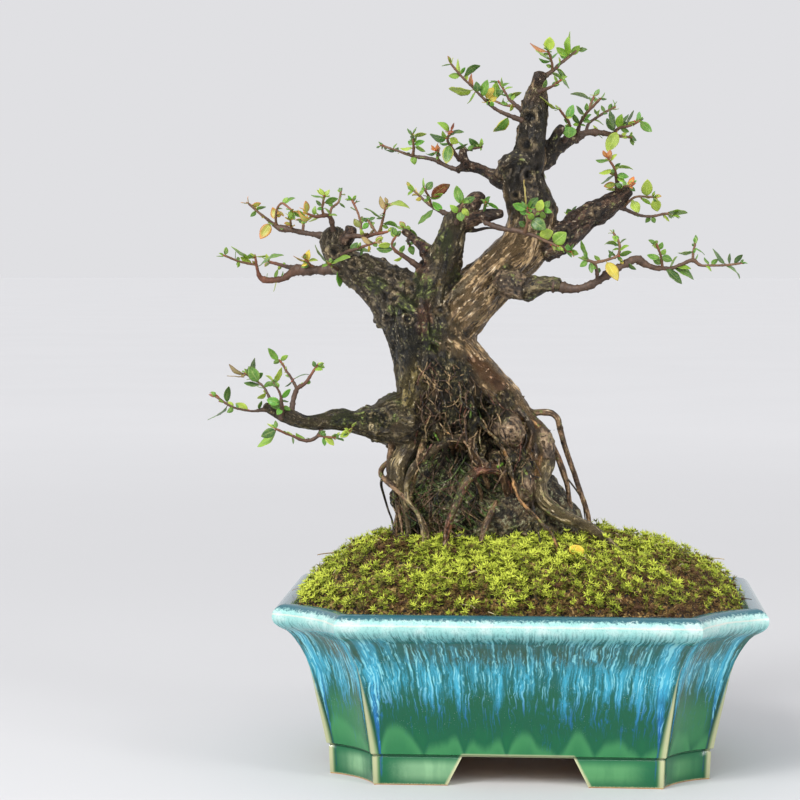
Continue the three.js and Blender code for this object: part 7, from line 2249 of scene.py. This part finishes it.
def spreadTwigs(twigs):
    # a spray starts as far from the middle of its limb as listed and reaches out from there
    baseX, baseZ, baseDepth = twigs[0][0][:3]
    limbDepth = nearestOn([trunk, *limbs.values()], baseX, baseZ)[2]
    start = baseDepth + limbDepth * (tree["limbSpread"] - 1)
    return [[(x, z, start + (depth - baseDepth) * spray["spread"], r) for x, z, depth, r in points]
            for points in twigs]


def seeded(state):
    # even draws from 0 to 1 for the lean of the listed leaves
    while True:
        state = (state * 1664525 + 1013904223) & 0xFFFFFFFF
        yield state / 2**32


def tintOf(x, z, rng, within):
    near = min(tintedPlaces, key=lambda tint: math.hypot(tint[0] - x, tint[1] - z))
    if math.hypot(near[0] - x, near[1] - z) < within:
        return leafTones[near[2]]
    return leafTones[rng.choice(commonTones)]


def addTwig(shape, route, tone, tipTone):
    # a twig with small nodes where leaves come off
    sides = spray["twigSides"]
    steps = np.linspace(0, 1, len(route))
    wave = 1 + 0.22 * np.maximum(np.sin(np.arange(len(route)) * 1.35), 0) ** 4
    wave = wave + 0.3 * drift(route[:, :3], 3.2, 83) * ease(route[:, 3], 0.5, 1.4)
    wave = np.repeat(wave[:, None], sides, axis=1)
    points, faces = sweep(route, sides, wave)
    share = np.concatenate((np.repeat(steps, sides), (0, 1)))[:, None] ** 2.5
    colour = np.array(tone) * (1 - share) + np.array(tipTone) * share
    along = np.concatenate((np.repeat(steps * len(route), sides), (0, len(route))))
    shape.add(points, faces, tint=colour, blade=0, along=along, across=0)


def addLeaf(shape, start, end, side, normal, width, rise, tone, rng, steps="largeSteps"):
    # both faces of an arched, folded and finely toothed blade, closed all round, on a petiole
    axis = unit(end - start)
    length = np.linalg.norm(end - start)
    stations, cells = spray[steps]
    t = np.linspace(0, 1, stations)
    u = spray["petiole"] + (1 - spray["petiole"]) * t
    half = 0.5 * width * np.sin(math.pi * np.clip(t, 0.004, 0.997) ** 0.82) ** 0.72
    half = half * (1 + spray["serration"] * np.where(np.arange(stations) % 2, 1, -1))
    v = np.linspace(-1, 1, cells + 1)
    fold, twist, ripple = rng.uniform(0.08, 0.22), rng.uniform(-0.3, 0.3), rng.uniform(0.001, 0.006)
    lift = rise * 4 * u * (1 - u) + 0.03 * length * np.sin(u * 5 + rng.uniform(0, 6))
    spine = start + axis * (u * length)[:, None] + normal * lift[:, None]
    turn = (twist * t)[:, None]
    out = v[None] * half[:, None]
    up = (np.abs(v)[None] * fold + ripple * length * np.sin(t * 14)[:, None] * v[None] ** 2) * half[:, None]
    sideways = out * np.cos(turn) - up * np.sin(turn)
    upward = out * np.sin(turn) + up * np.cos(turn)
    middleSheet = spine[:, None] + side * sideways[..., None] + normal * upward[..., None]
    thick = 0.5 * spray["blade"] * (1 - 0.75 * v[None] ** 4) * np.ones((stations, 1))
    top = (middleSheet + normal * thick[..., None]).reshape(-1, 3)
    under = (middleSheet - normal * thick[..., None]).reshape(-1, 3)
    row = cells + 1
    i, j = np.divmod(np.arange((stations - 1) * cells), cells)
    a = i * row + j
    upper = np.column_stack((a, a + 1, a + row + 1, a + row))
    lower = upper[:, ::-1] + len(top)
    loop = np.concatenate((np.arange(row), np.arange(1, stations) * row + cells,
                           (stations - 1) * row + np.arange(cells - 1, -1, -1),
                           np.arange(stations - 2, 0, -1) * row))
    after = np.roll(loop, -1)
    edge = np.column_stack((loop, loop + len(top), after + len(top), after))
    across = np.tile(v, stations)
    along = np.repeat(t, row)
    blade, rim, reach = tone
    bright = rng.uniform(0.72, 1.06)
    blade, rim = [tuple(bright * value for value in part[:3]) + (1,) for part in (blade, rim)]
    share = np.clip(ease(np.abs(across), 1 - 0.6 * reach, 1.0) + ease(along, 1 - 0.35 * reach, 1.0), 0, 1)
    colour = np.array(blade) * (1 - share[:, None]) + np.array(rim) * share[:, None]
    pale = colour * np.array([0.95, 0.95, 1.1, 1]) + np.array([0.05, 0.06, 0.05, 0])
    shape.add(np.vstack((top, under)), [upper, lower, edge], tint=np.vstack((colour, pale)), blade=1,
              along=np.tile(along, 2), across=np.tile(across, 2))
    stalk = np.vstack((start, 0.5 * (start + spine[0]) + normal * 0.1, spine[0], spine[1]))
    route = np.column_stack((stalk, (0.3, 0.26, 0.24, 0.12)))
    points, faces = sweep(route, 5)
    stalkTone = 0.6 * np.array(blade) + 0.4 * np.array(twigTones["shoot"])
    shape.add(points, faces, tint=stalkTone, blade=0, along=0, across=0)


def smallLeaf(shape, at, heading, length, tone, rng):
    # a small leaf in any direction
    up = unit(np.array([rng.uniform(-0.5, 0.5), rng.uniform(-1, 0.6), rng.uniform(0.2, 1)]))
    side = unit(np.cross(heading, up))
    normal = np.cross(side, heading)
    addLeaf(shape, at, at + heading * length, side, normal, length * rng.uniform(0.42, 0.62),
            rng.uniform(-0.06, 0.12) * length, tone, rng, "smallSteps")


def bud(shape, at, heading, size, tone):
    turn = np.linspace(-1.3, 1.3, 5)
    route = np.column_stack((at + heading * (size * 1.4 * np.sin(turn))[:, None], size * np.cos(turn) * 0.75))
    points, faces = sweep(route, 6)
    shape.add(points, faces, tint=np.array(tone), blade=0, along=0, across=0)


def makeSpray(name, index):
    twigs, leaves = sprays[name]
    draw = seeded(300 + index)
    rng = random.Random(700 + index)
    twigs = spreadTwigs(twigs)
    shape = Shape()
    routes = []
    for points in twigs:
        route = smoothRoute(np.column_stack((place(straighten(points)), np.array(points)[:, 3])), 0.9)
        bend = 0.35 * np.column_stack([drift(route[:, :3], 5, 80 + axis) for axis in range(3)])
        route[:, :3] += bend * np.sin(math.pi * np.linspace(0, 1, len(route)))[:, None]
        routes.append(route)
        first = twigTones["old"] if route[0, 3] > 0.9 else twigTones["young"]
        addTwig(shape, route, first, rng.choice((twigTones["young"], twigTones["shoot"])))
    for x, z, tipX, tipZ, seenWidth, *arch in leaves:
        baseX, baseZ, depth = nearestOn(twigs, x, z)[:3]
        seenLength = math.hypot(tipX - baseX, tipZ - baseZ)
        lean = spray["leafLean"] * (next(draw) - 0.5)
        turned = -1 if next(draw) < 0.5 else 1
        start, end = place(straighten([(baseX, baseZ, depth), (tipX, tipZ, depth + lean * seenLength)]))
        axis = unit(end - start)
        length = np.linalg.norm(end - start)
        width = max(seenWidth, spray["narrowest"] * length)
        roll = turned * math.acos(min(1, seenWidth / width))
        flat = unit(np.array([-axis[2], 0, axis[0]]))
        deep = np.cross(axis, flat)
        side = flat * math.cos(roll) + deep * math.sin(roll)
        normal = np.cross(axis, side)
        rise = (-1 if normal.dot(flat) < 0 else 1) * (arch[0] if arch else 0.07 * length)
        tone = tintOf(0.5 * (x + tipX), 0.5 * (z + tipZ), rng, spray["tintReach"])
        addLeaf(shape, start, end, side, normal, width, rise, tone, rng)
        if rng.random() < 0.3:
            heading = unit(axis + 0.8 * np.array([rng.uniform(-1, 1) for _ in range(3)]))
            bud(shape, start + heading * 0.9, heading, rng.uniform(0.35, 0.6), twigTones["bud"])
    # young leaves and buds at the ends and along the twigs
    for route in routes:
        ahead = unit(route[-1, :3] - route[-3, :3])
        places = [(-1, ahead)] * 3 + [(rng.randrange(len(route) // 3, len(route)), ahead) for _ in range(5)]
        for level, direction in places:
            heading = unit(direction + 1.1 * np.array([rng.uniform(-1, 1) for _ in range(3)]))
            length = rng.uniform(*spray["smallLeaf"])
            x, z = (value[0] for value in seen(route[level:][:1, :3]))
            tone = tintOf(x, z, rng, spray["smallTintReach"])
            if rng.random() < 0.3:
                tone = leafTones[rng.choice(("lime", "fresh", "bright", "redRim", "mid", "deep", "mid"))]
            smallLeaf(shape, route[level, :3], heading, length, tone, rng)
        bud(shape, route[-1, :3] + ahead * 0.6, ahead, rng.uniform(0.4, 0.6), twigTones["bud"])
    return shape.build("leaves_" + name)


def foliageFinish():
    f = Finish("foliage")
    where = f.place()
    tint = f.mark("tint", "Color")
    blade = f.mark("blade")
    along = f.mark("along")
    across = abs(f.mark("across"))
    mottle = f.noise(where, 1.6, 4.0, 0.6)
    fine = f.noise(where, 0.45, 3.0, 0.6)
    broad = f.noise(where, 5, 2.0)
    pale = f.mix(0.5, tint, f.mix(blade, shade(158, 120, 92), shade(200, 214, 96)))
    dark = f.mix(0.7, tint, f.mix(blade, shade(110, 90, 80), shade(92, 132, 70)), "MULTIPLY")
    # midrib and side veins that run out to the edge
    midrib = across.between(0.13, 0.03)
    slant = (along - across * 0.16) * 6.5
    veins = f.node("Math", {"operation": "PINGPONG"}, {0: slant, 1: 0.5})
    veins = veins.between(0.1, 0.02) * across.between(0.96, 0.7)
    lines = midrib.most(veins * 0.6) * blade
    spots = f.noise(where, 0.9, 3.0, 0.7).between(0.68, 0.74)
    ringed = f.noise(where, 0.5).between(0.45, 0.3) * (1 - blade)
    colour = f.coats(
        tint,
        (mottle.between(0.4, 0.66) * 0.3, pale),
        (broad.between(0.58, 0.4) * 0.4, dark),
        (lines * 0.38, f.mix(0.5, tint, shade(220, 226, 140))),
        (across.between(0.9, 1.0) * blade * 0.25, shade(150, 96, 44)),
        (spots * 0.5 * blade, shade(128, 92, 40)),
        (ringed * 0.5, shade(44, 32, 26)))
    rough = 0.5 - blade * 0.14 + mottle * 0.14
    relief = fine * 0.3 + mottle * 0.3 - lines * 0.6
    return f.surface(BaseColor=colour, Roughness=rough, CoatWeight=blade * 0.22, CoatRoughness=0.25,
                     Normal=f.bump(relief, 0.16))


foliageLook = foliageFinish()
for index, name in enumerate(sprays):
    settle(makeSpray(name, index), "foliage", foliageLook, "spray_" + name)
print("sprays made")


# Floor, light and sky

studio = {
    "sky": shade(226, 226, 229),
    "skyStrength": 0.98,
    "floor": shade(204, 204, 205),
    "farFloorPaintedLight": shade(226, 226, 227),
    "sun": 1.2,
    "sunSize": 24,
    "sunFrom": (-0.55, -0.85, 1.15),
    "floorReach": 30000,
    "aim": (0, 0, 190),
}
# Soft boxes that mostly make highlights: place, size and power
lights = {
    "left": ((-800, -900, 820), (170, 900), 9),
    "right": ((900, -760, 640), (200, 800), 5),
    "front": ((120, -1300, 950), (800, 120), 2.2),
}


def makeFloor():
    shape = Shape()
    far = studio["floorReach"]
    shape.add([(-far, -far, 0), (far, -far, 0), (far, far, 0), (-far, far, 0)], np.array([[0, 1, 2, 3]]))
    floor = shape.build("floor")
    f = Finish("paleFloor")
    where = f.place()
    away = f.node("VectorMath", {"operation": "LENGTH"}, {0: where}, "Value")
    # darker near the pot and paler far off: painted shade and light that even out the lamps' falloff, so that
    # the far floor meets the sky
    colour = f.mix(away.between(200, 2600), studio["floor"], studio["farFloorPaintedLight"])
    colour = f.mix(f.noise(where, 400, 3.0).between(0.7, 0.3) * 0.05, colour, shade(190, 190, 192))
    floor.data.materials.append(f.surface(BaseColor=colour, Roughness=0.7, SpecularIORLevel=0.2))


def addLamp(name, kind, spot, power):
    data = bpy.data.lights.new(name, kind)
    data.energy = power
    lamp = bpy.data.objects.new(name, data)
    lamp.location = Vector(spot) * mm
    aim = Vector(studio["aim"]) * mm - lamp.location
    lamp.rotation_euler = aim.to_track_quat("-Z", "Y").to_euler()
    bpy.context.scene.collection.objects.link(lamp)
    return data


def makeLights():
    for name, (spot, size, power) in lights.items():
        data = addLamp(name, "AREA", spot, power)
        data.shape = "RECTANGLE"
        data.size, data.size_y = size[0] * mm, size[1] * mm
    sun = addLamp("sun", "SUN", Vector(studio["sunFrom"]) * 1000, studio["sun"])
    sun.angle = math.radians(studio["sunSize"])
    world = bpy.data.worlds.new("paleRoom")
    world.use_nodes = True
    background = world.node_tree.nodes["Background"]
    background.inputs[0].default_value = studio["sky"]
    background.inputs[1].default_value = studio["skyStrength"]
    bpy.context.scene.world = world


makeFloor()
makeLights()
bpy.context.scene.view_settings.view_transform = "Standard"
